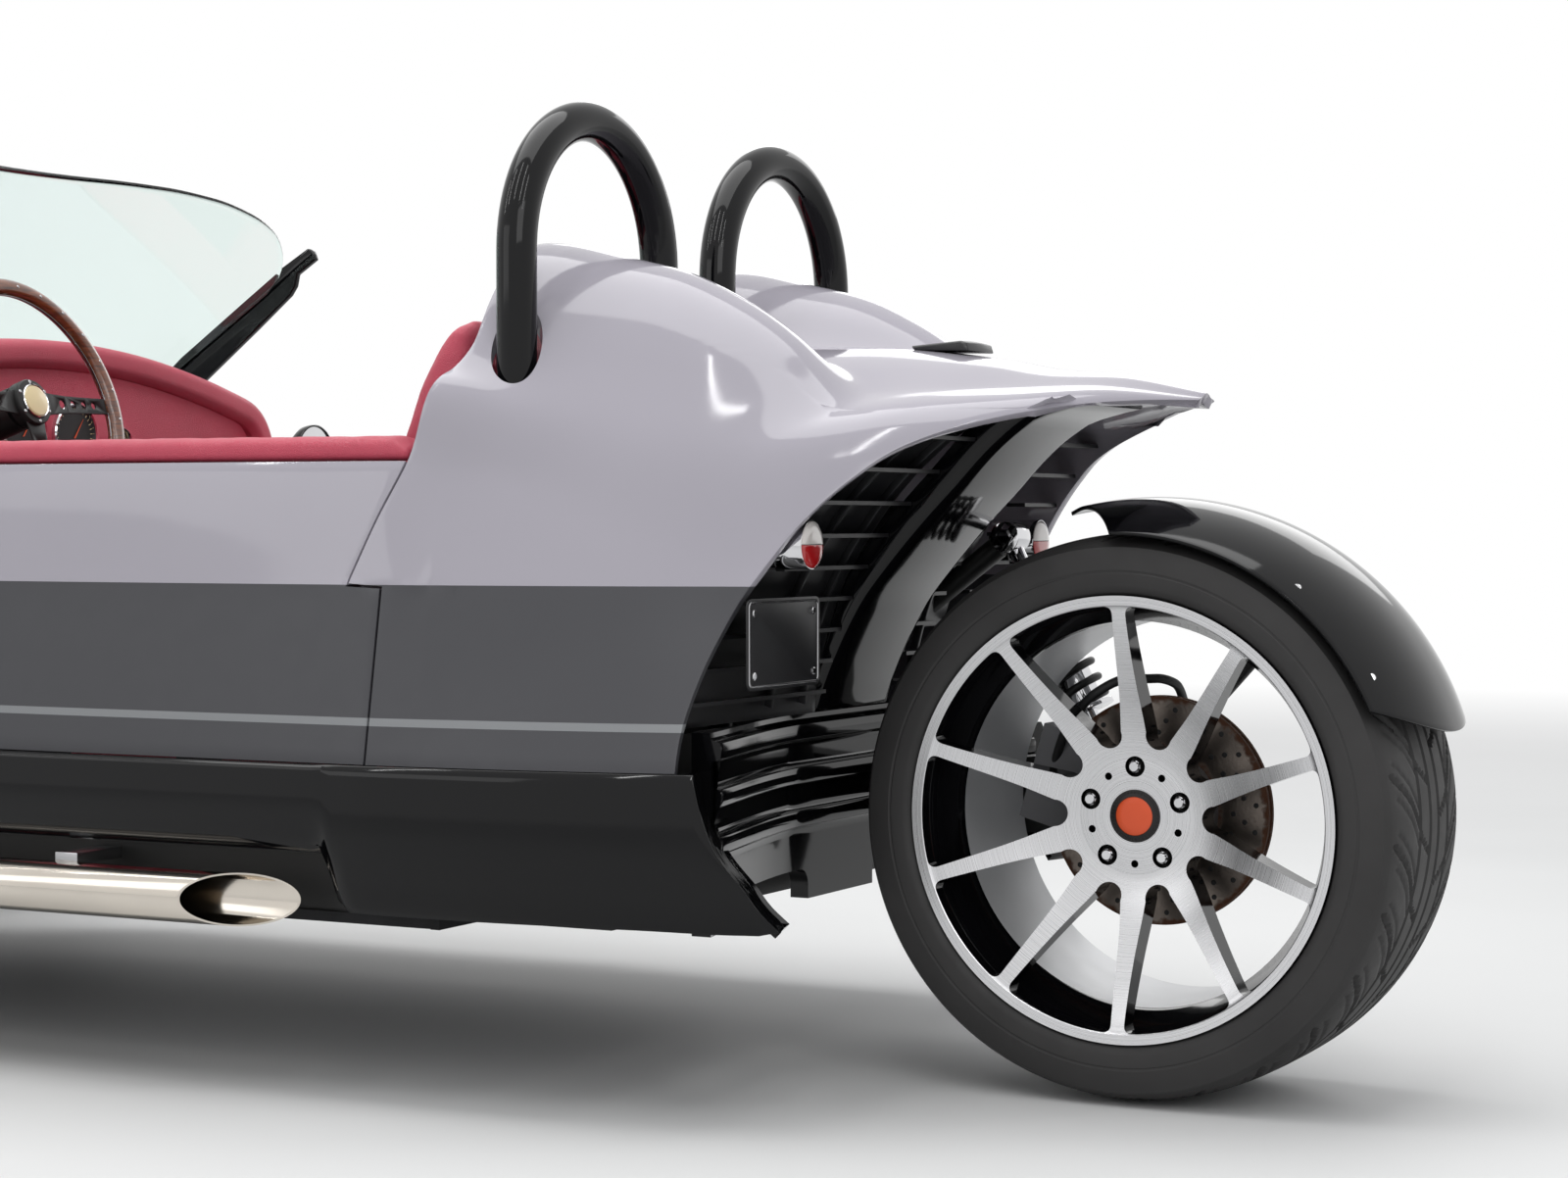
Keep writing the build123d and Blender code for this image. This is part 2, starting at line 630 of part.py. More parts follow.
def chassis():
    """Aluminium box frame: sills, rear hoop beam, front rails and suspension towers."""
    frame = None
    floor_top = FLOOR_Z + FLOOR_THICKNESS
    beam_back, beam_front = HOOP_X - BEAM / 2, HOOP_X + BEAM / 2
    rail_z = (floor_top + 13, FRAME_RAIL_TOP)
    for side in (-1, 1):
        pieces = [
            block((FRAME_REAR, SILL_FRONT), span(side, SILL_IN, SILL_OUT), (floor_top, SILL_TOP)),
            block((SILL_FRONT - 60, FRAME_FRONT), span(side, RAIL_IN, RAIL_OUT), rail_z),
            block((beam_back, beam_front), span(side, SILL_IN, SILL_OUT), (SILL_TOP, HOOP_FOOT_Z)),
            block((SILL_FRONT - 60, SILL_FRONT), span(side, RAIL_IN, SILL_OUT), rail_z),
            block((WHEELBASE - 190, WHEELBASE + 190), span(side, RAIL_OUT - 26, RAIL_OUT), (468, 500)),
            block((WHEELBASE - 85, WHEELBASE + 85), span(side, RAIL_OUT - 26, RAIL_OUT), (600, 650)),
        ]
        for x in (WHEELBASE - 72, WHEELBASE + 72):
            tower = span(side, RAIL_OUT - 26, RAIL_OUT)
            pieces.append(block((x - 13, x + 13), tower, (FRAME_RAIL_TOP, 650)))
        for piece in pieces:
            frame = piece if frame is None else frame + piece
    for x0, x1, half, z0, z1 in (
        (beam_back, beam_front, SILL_OUT, HOOP_FOOT_Z - 50, HOOP_FOOT_Z),
        (FRAME_REAR, FRAME_REAR + BEAM, SILL_OUT, floor_top, SILL_TOP),
        (FRAME_FRONT - 40, FRAME_FRONT, RAIL_OUT, floor_top + 13, FRAME_RAIL_TOP),
    ):
        frame = frame + block((x0, x1), (-half, half), (z0, z1))
    lug = side_prism([
        (PIVOT_X - 40, PIVOT_Z - 34), (FRAME_REAR + BEAM, PIVOT_Z - 85), (FRAME_REAR + BEAM, SILL_TOP),
        (PIVOT_X - 10, PIVOT_Z + 40),
    ], ARM_Y - 60, ARM_Y - 42)
    dx, dz = HOOP_X - SHOCK_HEAD[0], HOOP_FOOT_Z - 20 - SHOCK_HEAD[1]
    share = (SHOCK_EYE_R + 0.4) / math.hypot(dx, dz)
    start = (SHOCK_HEAD[0] + share * dx, ARM_Y, SHOCK_HEAD[1] + share * dz)
    stay = rod((HOOP_X, ARM_Y, HOOP_FOOT_Z - 20), start, 15)
    return frame + lug + Pos(0, 102, 0) * lug + stay + body_brackets()


def body_brackets():
    """The brackets on the frame that carry the side panels, the tail and the nose."""
    brackets = None
    panel_y = skin_half_width(BRACKET_X) - SKIRT_WALL - SEAT_GAP
    bracket_top = SKIRT_TOP - SEAT_GAP
    nose_x = FRAME_FRONT - 10
    nose_y = skin_half_width(nose_x) - BODY_WALL - 8
    tail_y = skin_half_width(HOOP_X) - BODY_WALL - 16.3
    for side in (-1, 1):
        for x, y, z in (
            ((BRACKET_X, BRACKET_X + 20), (SILL_OUT - 4, SILL_OUT + 14), (SILL_TOP - 10, bracket_top)),
            ((BRACKET_X, BRACKET_X + 20), (SILL_OUT - 4, panel_y), (SKIRT_TOP - 12, bracket_top)),
            ((HOOP_X, HOOP_X + 20), (SILL_OUT - 10, tail_y), (HOOP_FOOT_Z - 7, HOOP_FOOT_Z)),
            ((nose_x - 20, nose_x), (nose_y - 20, nose_y), (FRAME_RAIL_TOP - 20, FRAME_RAIL_TOP + 60)),
        ):
            piece = block(x, span(side, *y), z)
            brackets = piece if brackets is None else brackets + piece
    return brackets


def engine():
    """Engine and gearbox as one block between the front rails."""
    length = (ENGINE_X, ENGINE_X + ENGINE_LENGTH)
    return block(length, (-ENGINE_HALF, ENGINE_HALF), (FRAME_RAIL_TOP, ENGINE_TOP))


def exhaust():
    """One side pipe with its slash-cut tip, turned inboard ahead of the cockpit."""
    points = [
        (PIPE_TAIL_X, PIPE_Y, PIPE_Z), (WHEELBASE - 569, PIPE_Y, PIPE_Z), (WHEELBASE - 414, 400, PIPE_Z),
        (WHEELBASE - 284, 335, 300), (WHEELBASE - 194, 280, 390), (ENGINE_X - 12, 225, 400),
    ]
    path = FilletPolyline(*points, radius=(120, 100, 90, 70))
    plane = Plane(origin=(PIPE_TAIL_X, PIPE_Y, PIPE_Z), z_dir=(1, 0, 0))
    tube = sweep((plane * Circle(PIPE_R)).face(), path=path.wire())
    bore = sweep((plane * Circle(PIPE_R - PIPE_WALL)).face(), path=path.wire())
    slash = plan_prism([
        (PIPE_TAIL_X - 60, PIPE_Y - 40), (PIPE_TAIL_X, PIPE_Y - 40), (PIPE_TAIL_X + 170, PIPE_Y + 40),
        (PIPE_TAIL_X - 60, PIPE_Y + 40),
    ], PIPE_Z - 60, PIPE_Z + 60)
    flange = rod((ENGINE_X - 20, 216, 400), (ENGINE_X - 0.3, 216, 400), PIPE_R + 12)
    return tube - bore - slash + flange


def exhaust_hanger():
    """A strap from the sill to the pipe."""
    return block((1160, 1190), (SILL_OUT, PIPE_Y), (PIPE_Z + PIPE_R - 3, PIPE_Z + PIPE_R + 9))


def front_arms():
    """Upper and lower wishbones on the left side, with the bushes at their inner ends."""
    x, y = WHEELBASE, KINGPIN_Y
    arms = None
    for dx, inner_z, ball_z in ARM_SPREADS:
        arms_here = rod((x, y, ball_z - 12), (x, y, ball_z + 12), BALL_R)
        for side in (-1, 1):
            foot = (x + side * dx, ARM_BUSH_Y, inner_z)
            bush = rod((foot[0] - 20, foot[1], foot[2]), (foot[0] + 20, foot[1], foot[2]), ARM_TUBE_R)
            arms_here = arms_here + rod(foot, (x, y - 8, ball_z), ARM_TUBE_R - 1) + bush
        arms = arms_here if arms is None else Compound(solids_of(arms) + solids_of(arms_here))
    return arms


def along(start, end, share):
    """The point that lies a share of the way from start to end."""
    return tuple(a + share * (b - a) for a, b in zip(start, end))


def front_damper():
    """Left spring and damper between the lower arm and the tower."""
    dx, inner_z, ball_z = ARM_SPREADS[0]
    leg = along((WHEELBASE + dx, ARM_BUSH_Y, inner_z), (WHEELBASE, KINGPIN_Y - 8, ball_z), 0.585)
    foot = (leg[0], leg[1], leg[2] + ARM_TUBE_R + 14.5)
    head = (leg[0], RAIL_OUT + 16.3, 625)
    eyes = rod((foot[0] - 14, foot[1], foot[2]), (foot[0] + 14, foot[1], foot[2]), 14)
    eyes = eyes + rod((head[0] - 14, head[1], head[2]), (head[0] + 14, head[1], head[2]), 16)
    return eyes + rod(foot, head, 12) + rod(along(foot, head, 0.2), along(foot, head, 0.78), 38)


def half_shaft():
    """Left driveshaft with its two joints' boots."""
    y_in, y_out = ENGINE_HALF + 0.3, KINGPIN_Y - 38
    shaft = rod((WHEELBASE, y_in, AXLE_Z), (WHEELBASE, y_out, AXLE_Z), 14)
    inner_boot = rod((WHEELBASE, y_in, AXLE_Z), (WHEELBASE, y_in + 110, AXLE_Z), 34)
    outer_boot = rod((WHEELBASE, y_out - 70, AXLE_Z), (WHEELBASE, y_out, AXLE_Z), 34)
    return shaft + inner_boot + outer_boot


def knuckle():
    """Left upright, steering arm and the bracket that carries the fender."""
    x, y = WHEELBASE, KINGPIN_Y
    top, low = UPPER_BALL_Z - 19, LOWER_BALL_Z + 19
    post = block((x - 26, x + 26), (y - 20, y + 20), (low, top))
    hub = rod((x, y + 10, AXLE_Z), (x, FRONT_DISC_Y - 30, AXLE_Z), 50)
    arm = block((x - STEER_ARM - 16, x), (y - 22, y - 2), (RACK_Z + 18, RACK_Z + 30))
    bridge = block((x - STRUT_REACH - 12, x + STRUT_REACH + 12), (STRUT_Y - 5, y - 10), (396, 412))
    mount = block((x + 20, x + 116), (y - 14, FRONT_DISC_Y - CALIPER_HALF - 0.3), (300, 350))
    body = post + hub + arm + bridge + mount
    reach = math.sqrt(FENDER_FRONT_R ** 2 - STRUT_REACH ** 2) - 23.4
    for strut_x in (x - STRUT_REACH, x + STRUT_REACH):
        body = body + block((strut_x - 9, strut_x + 9), (STRUT_Y - 5, STRUT_Y + 5), (396, AXLE_Z + reach))
    return body


def fender(radius, half_width, start, end, drop):
    """A cycle fender about an axle at the origin, from a start to an end angle."""
    low = radius - drop
    edges = [
        Edge.make_three_point_arc(
            Vector(low, -half_width, 0), Vector(radius, 0, 0), Vector(low, half_width, 0)),
        Edge.make_line(Vector(low, half_width, 0), Vector(low - FENDER_WALL, half_width - 3, 0)),
        Edge.make_three_point_arc(
            Vector(low - FENDER_WALL, half_width - 3, 0), Vector(radius - FENDER_WALL, 0, 0),
            Vector(low - FENDER_WALL, 3 - half_width, 0)),
        Edge.make_line(Vector(low - FENDER_WALL, 3 - half_width, 0), Vector(low, -half_width, 0)),
    ]
    section = Rot(0, -start, 0) * Face(Wire(edges))
    return revolve(section, Axis.Y, -(end - start))


def front_fender():
    """The left front fender over its wheel."""
    shell = fender(FENDER_FRONT_R, FRONT_TYRE_WIDTH / 2 + FENDER_PROUD, 32.0, 158.0, 26.0)
    return Pos(WHEELBASE, FRONT_WHEEL_Y, AXLE_Z) * shell


def rear_fender():
    """The rear fender with its pointed front."""
    half = REAR_FENDER_HALF
    shell = Pos(0, 0, REAR_TYRE_R) * fender(FENDER_REAR_R, half, 73.0, FENDER_REAR_END, FENDER_DROP)
    for side in (-1, 1):
        tip = [
            (108, side * 4), (-95, side * (half + 2)), (-95, side * (half + 40)), (160, side * (half + 40)),
            (160, side * 4),
        ]
        shell = shell - plan_prism(tip, 500, 800)
    return shell


def fender_stays():
    """The black stays that carry the rear fender on the rear arm."""
    half = REAR_FENDER_HALF
    y = -half - 14
    base = (60, REAR_TYRE_R + 40)
    knee = (-60, y, 500)
    stays = rod((base[0], ARM_Y + ARM_WIDTH / 2 + 0.3, base[1]), (base[0], y + 9, base[1]), 16)
    stays = stays + rod((base[0], y, base[1]), knee, 8) + Pos(*knee) * Sphere(11)
    reach = FENDER_REAR_R - FENDER_DROP - 2
    near = reach - 8
    for angle in (102.0, 140.0):
        turn = math.radians(angle)
        tab = block((reach - 20, reach + 1), (-half - 16, -half - 0.3), (-13, 13))
        stays = stays + Pos(0, 0, REAR_TYRE_R) * Rot(0, -angle, 0) * tab
        stays = stays + rod(knee, (near * math.cos(turn), -half - 9, REAR_TYRE_R + near * math.sin(turn)), 7)
    return stays


def ring_solid(profile):
    """A closed (radius, y) outline turned about the axle."""
    return revolve(face_of([(r, y, 0) for r, y in profile]), Axis.Y, 360)


def rim(width, hub_y):
    """A ten-spoke rim about an axle at the origin, its face towards +y."""
    half = width / 2 - RIM_INSET
    flange, well = RIM_FLANGE_R, RIM_FLANGE_R - 26
    barrel = ring_solid([
        (flange, half), (flange, half - 9), (well + 12, half - 22), (well, half - 50), (well, -half + 20),
        (flange, -half + 8), (flange, -half), (flange - RIM_WALL, -half), (well - RIM_WALL, -half + 22),
        (well - RIM_WALL, half - 50), (flange - 14, half - 4), (flange - 12, half),
    ])
    back = hub_y - SPOKE_DEPTH
    hub = ring_solid([(HUB_BORE_R, hub_y), (HUB_FACE_R, hub_y), (HUB_FACE_R, back), (HUB_BORE_R, back)])
    cap = rod((0, back + 6, 0), (0, hub_y + 4, 0), HUB_BORE_R)
    wheel = barrel + hub
    lip = half - 6
    end = flange - 15
    for index in range(SPOKES):
        side = [
            (HUB_FACE_R - 12, hub_y), (HUB_FACE_R - 12, back), (well - 18, half - SPOKE_DEPTH - 22),
            (well - 4, half - SPOKE_DEPTH - 18), (end, lip - 4), (end, lip),
        ]
        slab = Solid.extrude(face_of([(r, y, -60) for r, y in side]), Vector(0, 0, 120))
        wide, narrow = SPOKE_HUB_WIDTH / 2, SPOKE_RIM_WIDTH / 2
        plan = [
            (HUB_FACE_R - 12, wide), (120, narrow + 3), (end, narrow), (end, -narrow), (120, -narrow - 3),
            (HUB_FACE_R - 12, -wide),
        ]
        taper = Solid.extrude(face_of([(r, -400, w) for r, w in plan]), Vector(0, 800, 0))
        wheel = wheel + Rot(0, 90.0 + index * 360.0 / SPOKES, 0) * (slab & taper)
    wheel = wheel + cap
    for index in range(LUGS):
        angle = math.radians(90 + index * 360.0 / LUGS)
        x, z = LUG_PCD / 2 * math.cos(angle), LUG_PCD / 2 * math.sin(angle)
        wheel = wheel - rod((x, hub_y - 16, z), (x, hub_y + 5, z), LUG_HOLE_R)
    return wheel


def tyre(radius, width):
    """A tyre about an axle at the origin."""
    half = width / 2
    bead = RIM_FLANGE_R + 0.3
    return ring_solid([
        (bead, half - 8), (bead + 26, half), (radius - 26, half - 1), (radius - 8, half - 12),
        (radius, half - 38), (radius, 38 - half), (radius - 8, 12 - half), (radius - 26, 1 - half),
        (bead + 26, -half), (bead, 8 - half),
    ])


def brake_disc(centre_y, hat_y):
    """A brake disc and its hat, reaching out to the wheel's hub."""
    half = DISC_THICKNESS / 2
    return ring_solid([
        (52, centre_y - half), (DISC_R, centre_y - half), (DISC_R, centre_y + half), (76, centre_y + half),
        (70, hat_y - 0.2), (16, hat_y - 0.2), (16, hat_y - 6), (52, hat_y - 6),
    ])


def caliper(centre_y, angle):
    """A caliper about an axle at the origin, open for the disc."""
    half = DISC_THICKNESS / 2
    outer = CALIPER_HALF
    body = block((88, DISC_R + 24), (centre_y - outer, centre_y + outer), (-58, 58))
    gap = (centre_y - half - DISC_GAP, centre_y + half + DISC_GAP)
    slot = block((0, DISC_R + DISC_GAP + 1), gap, (-80, 80))
    return Rot(0, -angle, 0) * (body - slot)


def rear_arm():
    """The single-sided rear arm and its hub carrier."""
    y0, y1 = ARM_Y - ARM_WIDTH / 2, ARM_Y + ARM_WIDTH / 2
    z = REAR_TYRE_R
    outline = [
        (-30, z - 55), (40, z - 62), (PIVOT_X, PIVOT_Z - 32), (PIVOT_X + 8, PIVOT_Z + 32), (60, z + 60),
        (-30, z + 55),
    ]
    arm = side_prism(outline, y0, y1)
    hub = rod((0, y0, z), (0, REAR_DISC_Y - DISC_THICKNESS / 2 - DISC_GAP, z), 50)
    cheek = REAR_DISC_Y - CALIPER_HALF - 0.3
    carrier = block((60, 128), (cheek - 18, cheek), (z - 10, z + 60))
    web = block((30, 128), (y1, cheek - 17), (z - 20, z + 20))
    pivot = rod((PIVOT_X, ARM_Y - 41.7, PIVOT_Z), (PIVOT_X, ARM_Y + 41.7, PIVOT_Z), 30)
    return arm + hub + carrier + web + pivot


def rear_shock():
    """The rear spring and damper from the arm to the body."""
    foot, head = (150, ARM_Y, 388), (SHOCK_HEAD[0], ARM_Y, SHOCK_HEAD[1])
    eye = rod((head[0], ARM_Y - 20, head[2]), (head[0], ARM_Y + 20, head[2]), SHOCK_EYE_R)
    middle = tuple(f + 0.15 * (h - f) for f, h in zip(foot, head))
    upper = tuple(f + 0.75 * (h - f) for f, h in zip(foot, head))
    return rod(foot, head, 10) + rod(middle, upper, 34) + eye


def steering_wheel():
    """The steering wheel in its raked plane: rim, three spokes and hub."""
    rim_ring = Solid.make_torus(STEERING_R - STEERING_RIM_R, STEERING_RIM_R)
    wheel = rim_ring + Solid.make_cylinder(32, 26, Plane(origin=(0, 0, -13)))
    for angle in (0, 180, 270):
        spoke = block((24, STEERING_R - STEERING_RIM_R), (-11, 11), (-2, 2))
        wheel = wheel + Rot(0, 0, angle) * spoke
    return steering_place() * wheel


def steering_place():
    """Where the steering wheel sits: its z is the wheel's axis, towards the driver."""
    tilt = math.radians(STEERING_TILT)
    axis = Vector(-math.cos(tilt), 0, math.sin(tilt))
    return Plane(origin=(STEERING_HUB[0], STEERING_Y, STEERING_HUB[1]), x_dir=(0, 1, 0), z_dir=axis).location


def steering_column():
    """The column from the dash to just behind the wheel's hub."""
    start = steering_place() * Pos(0, 0, -19)
    end = steering_place() * Pos(0, 0, -420)
    boss_end = steering_place() * Pos(0, 0, -90)
    a, b, c = tuple(start.position), tuple(end.position), tuple(boss_end.position)
    return rod(a, b, 18) + rod(a, c, 30)


def rack():
    """Rack bar with both track rods, seen from the wheel ends."""
    x, y = WHEELBASE - STEER_ARM, KINGPIN_Y - 12
    bar = rod((x, -y, RACK_Z), (x, y, RACK_Z), RACK_R)
    for side in (-1, 1):
        bar = bar + rod((x, side * y, RACK_Z - 12), (x, side * y, RACK_Z + 12), 15)
    return bar


def rack_housing():
    """The tube that the rack bar slides in, on two feet on the front rails."""
    x = WHEELBASE - STEER_ARM
    tube = rod((x, -230, RACK_Z), (x, 230, RACK_Z), RACK_R + 13)
    bore = rod((x, -231, RACK_Z), (x, 231, RACK_Z), RACK_R + 6)
    feet = None
    for side in (-1, 1):
        foot = block((x - 20, x + 20), span(side, 200, RAIL_IN + 24), (FRAME_RAIL_TOP, RACK_Z - 14))
        feet = foot if feet is None else feet + foot
    return tube + feet - bore


def nose_grille(inner):
    """Bars and a backing sheet in the nose's mouth."""
    x = NOSE_X - 50
    sheet = block((x, x + 8), (-300, 300), (100, 900))
    for index in range(13):
        z = 318 + index * 27
        sheet = sheet + block((x + 4, x + 24), (-300, 300), (z, z + 7))
    floor = block((x - 30, x + 30), (-300, 300), (100, 312))
    return (sheet & inner) - floor


def headlamps(outer):
    """Round front lamps on short brackets from the nose."""
    back, y, z = HEADLAMP_X, HEADLAMP_Y, HEADLAMP_Z
    lamp = rod((back, y, z), (back + HEADLAMP_LENGTH, y, z), HEADLAMP_R)
    tail = Solid.make_cone(34, HEADLAMP_R, 60, Plane(origin=(back - 60, y, z), z_dir=(1, 0, 0)))
    arm = block((back + 20, back + 80), (skin_half_width(back + 80, 3) - 8, y - 40), (z - 44, z - 16))
    return both_sides(lamp + tail + arm - outer)


def mirrors(outer):
    """Round mirrors on short stalks."""
    front = MIRROR_X + MIRROR_DEPTH
    head = rod((MIRROR_X, MIRROR_Y, MIRROR_Z), (front, MIRROR_Y, MIRROR_Z), MIRROR_R)
    stalk = rod((front - 2, MIRROR_Y - 14, MIRROR_Z - 18), (front + 20, MIRROR_Y - 98, MIRROR_Z - 58), 7)
    return both_sides(head + (stalk - outer))


def tail_lamps(outer):
    """Two round tail lamps and the raised stop lamp on the deck."""
    lamp = rod((286, TAIL_LAMP_Y, TAIL_LAMP_Z), (352, TAIL_LAMP_Y, TAIL_LAMP_Z), TAIL_LAMP_R)
    bar = block((228, 306), (-40, 40), (866, 884))
    return Compound(solids_of(both_sides(lamp)) + solids_of(bar - outer))


def plate_holder(grille):
    """The blank plate and its four holes."""
    half_y, half_z = PLATE_WIDTH / 2, PLATE_HEIGHT / 2
    across, up = (PLATE_Y - half_y, PLATE_Y + half_y), (PLATE_Z - half_z, PLATE_Z + half_z)
    plate = block((PLATE_X - 3, PLATE_X), across, up)
    for dy in (-1, 1):
        for dz in (-1, 1):
            y, z = PLATE_Y + dy * PLATE_HOLE_DY / 2, PLATE_Z + dz * PLATE_HOLE_DZ / 2
            plate = plate - rod((PLATE_X - 10, y, z), (PLATE_X + 10, y, z), PLATE_HOLE_R)
    stem = block((PLATE_X, PLATE_X + 36), (PLATE_Y - 24, PLATE_Y + 24), (PLATE_Z - 16, PLATE_Z + 16))
    return plate + (stem - grille)


def save(name, shape):
    """Move a piece to the finished frame and write it."""
    moved = [Pos(-ORIGIN_X, 0, 0) * solid for solid in solids_of(shape)]
    part = moved[0] if len(moved) == 1 else Compound(moved)
    export_step(part, os.path.join("parts", name + ".step"))


def save_pair(name, shape):
    """Write a left piece and its mirror image as two nodes."""
    save(name + "_left", shape)
    save(name + "_right", mirrored(shape))


def save_body():
    """Write the painted panels, the grilles and what is fixed to them."""
    outer = skin_solid()
    inner = inner_solid(BODY_WALL)
    inside = inner_solid(BODY_WALL + 0.3)
    save("tail_shell", tail_shell(outer, inner))
    save_pair("side_panel", side_panel(outer))
    save("hood", hood(outer, inner))
    save("nose_sides", nose_sides(outer, inner))
    save("nose_grille", nose_grille(inside))
    grille = rear_grille(inside)
    save("rear_grille", grille)
    save("plate_holder", plate_holder(grille))
    save("rear_spine", rear_spine(inside))
    save("rear_bumper", rear_bumper())
    save_pair("skirt", skirt())
    save("dash", dash(outer))
    glass = screen_glass(outer)
    save("windscreen", glass)
    save("screen_brackets", screen_brackets(outer, glass))
    save("headlamps", headlamps(outer))
    save("mirrors", mirrors(outer))
    save("tail_lamps", tail_lamps(outer))


def save_cockpit():
    """Write the seats, tub, rails and steering."""
    save("cockpit_rails", rails())
    save("seat_cushions", Compound([seat_cushion(1), seat_cushion(-1)]))
    save("seat_backs", Compound(solids_of(seat_back(1)) + solids_of(seat_back(-1))))
    save("pedals", pedals())
    save("steering_wheel", steering_wheel())
    save("steering_column", steering_column())
    save("roll_hoops", Compound(solids_of(hoop(1)) + solids_of(hoop(-1))))


def save_running_gear():
    """Write the frame, suspension, brakes and wheels."""
    frame = chassis()
    save("chassis", frame)
    save("tub", tub(frame))
    save("engine", engine())
    save("exhausts", both_sides(exhaust() + exhaust_hanger()))
    save("front_arms", both_sides(front_arms()))
    save("front_dampers", both_sides(front_damper()))
    save("half_shafts", both_sides(half_shaft()))
    save("rack", rack())
    save("rack_housing", rack_housing())
    save_pair("knuckle", knuckle())
    save_pair("front_fender", front_fender())
    place = Pos(WHEELBASE, FRONT_WHEEL_Y, AXLE_Z)
    hub_y = FRONT_TYRE_WIDTH / 2 - RIM_INSET - HUB_FACE_DEPTH
    save_pair("front_rim", place * rim(FRONT_TYRE_WIDTH, hub_y))
    save_pair("front_tyre", place * tyre(FRONT_TYRE_R, FRONT_TYRE_WIDTH))
    save_pair("front_disc", place * brake_disc(-DISC_INSET_FRONT, hub_y - SPOKE_DEPTH))
    save_pair("front_caliper", place * caliper(-DISC_INSET_FRONT, 0.0))
    place = Pos(0, 0, REAR_TYRE_R)
    hub_y = REAR_TYRE_WIDTH / 2 - RIM_INSET - HUB_FACE_DEPTH
    save("rear_rim", place * rim(REAR_TYRE_WIDTH, hub_y))
    save("rear_tyre", place * tyre(REAR_TYRE_R, REAR_TYRE_WIDTH))
    save("rear_disc", place * brake_disc(REAR_DISC_Y, hub_y - SPOKE_DEPTH))
    save("rear_caliper", place * caliper(REAR_DISC_Y, 16.0))
    save("rear_arm", rear_arm())
    save("rear_shock", rear_shock())
    save("rear_fender", rear_fender())
    save("fender_stays", fender_stays())


os.makedirs("parts", exist_ok=True)
save_body()
save_cockpit()
save_running_gear()
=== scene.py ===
"""Looks of an open three-wheeled roadster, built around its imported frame.

Every size is in millimetres from the rear axle line on the ground, x forward and y to the left,
until place() turns it into metres in the frame. Repeated fittings come from Geometry Nodes.
"""

import json
import logging
import math
from collections.abc import Callable, Iterable, Sequence
from dataclasses import dataclass, field
from enum import Enum

import bmesh
import bpy
from mathutils import Matrix, Vector
from mathutils.bvhtree import BVHTree

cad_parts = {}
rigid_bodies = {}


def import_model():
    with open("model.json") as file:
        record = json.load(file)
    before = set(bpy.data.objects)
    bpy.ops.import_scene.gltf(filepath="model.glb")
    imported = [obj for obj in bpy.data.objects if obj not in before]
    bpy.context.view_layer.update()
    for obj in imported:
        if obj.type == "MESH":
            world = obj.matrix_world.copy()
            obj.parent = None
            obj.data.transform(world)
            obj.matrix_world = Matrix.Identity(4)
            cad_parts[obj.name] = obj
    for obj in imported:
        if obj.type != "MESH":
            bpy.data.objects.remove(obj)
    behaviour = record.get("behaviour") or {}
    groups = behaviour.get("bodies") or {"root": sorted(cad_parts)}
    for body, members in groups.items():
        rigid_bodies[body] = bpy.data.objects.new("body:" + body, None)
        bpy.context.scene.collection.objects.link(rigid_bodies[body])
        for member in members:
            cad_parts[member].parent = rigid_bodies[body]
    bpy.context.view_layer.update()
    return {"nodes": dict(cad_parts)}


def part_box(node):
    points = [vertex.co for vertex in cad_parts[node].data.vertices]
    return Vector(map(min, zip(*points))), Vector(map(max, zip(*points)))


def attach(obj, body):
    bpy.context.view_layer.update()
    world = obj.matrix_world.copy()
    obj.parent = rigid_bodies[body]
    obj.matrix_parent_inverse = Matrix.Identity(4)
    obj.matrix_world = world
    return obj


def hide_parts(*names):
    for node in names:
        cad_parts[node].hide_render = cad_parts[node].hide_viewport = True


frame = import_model()
LOG = logging.getLogger("roadster")

Point2 = tuple[float, float]
Colour = tuple[float, float, float]
Obj = bpy.types.Object

_TYRE_LOW, _TYRE_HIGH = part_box("rear_tyre")
REAR_AXLE_X = 500.0 * (_TYRE_LOW[0] + _TYRE_HIGH[0])
REAR_AXLE_Z = 500.0 * (_TYRE_LOW[2] + _TYRE_HIGH[2])
_FRONT_LOW, _FRONT_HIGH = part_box("front_tyre_left")
FRONT_AXLE_X = 500.0 * (_FRONT_LOW[0] + _FRONT_HIGH[0]) - REAR_AXLE_X
FRONT_AXLE_Z = 500.0 * (_FRONT_LOW[2] + _FRONT_HIGH[2])
FRONT_WHEEL_Y = 500.0 * (_FRONT_LOW[1] + _FRONT_HIGH[1])


def place(x: float, y: float, z: float) -> Vector:
    """Turn a point from the rear axle line into metres in the frame.

    Args:
        x: Millimetres ahead of the rear axle.
        y: Millimetres to the left of the middle.
        z: Millimetres above the ground.

    Returns:
        The same point in metres, in the frame's own axes.
    """
    return Vector(((x + REAR_AXLE_X) / 1000.0, y / 1000.0, z / 1000.0))


def srgb(red: int, green: int, blue: int) -> Colour:
    """Turn a colour of 0 to 255 a channel into the linear values that shaders read.

    Args:
        red: Red from 0 to 255.
        green: Green from 0 to 255.
        blue: Blue from 0 to 255.

    Returns:
        Linear red, green and blue from 0 to 1.
    """

    def linear(value: float) -> float:
        """Undo the display curve for one channel."""
        return value / 12.92 if value <= 0.04045 else ((value + 0.055) / 1.055) ** 2.4

    return linear(red / 255.0), linear(green / 255.0), linear(blue / 255.0)


def lerp(a: float, b: float, share: float) -> float:
    """Return the value that lies a share of the way from a to b."""
    return a + (b - a) * share


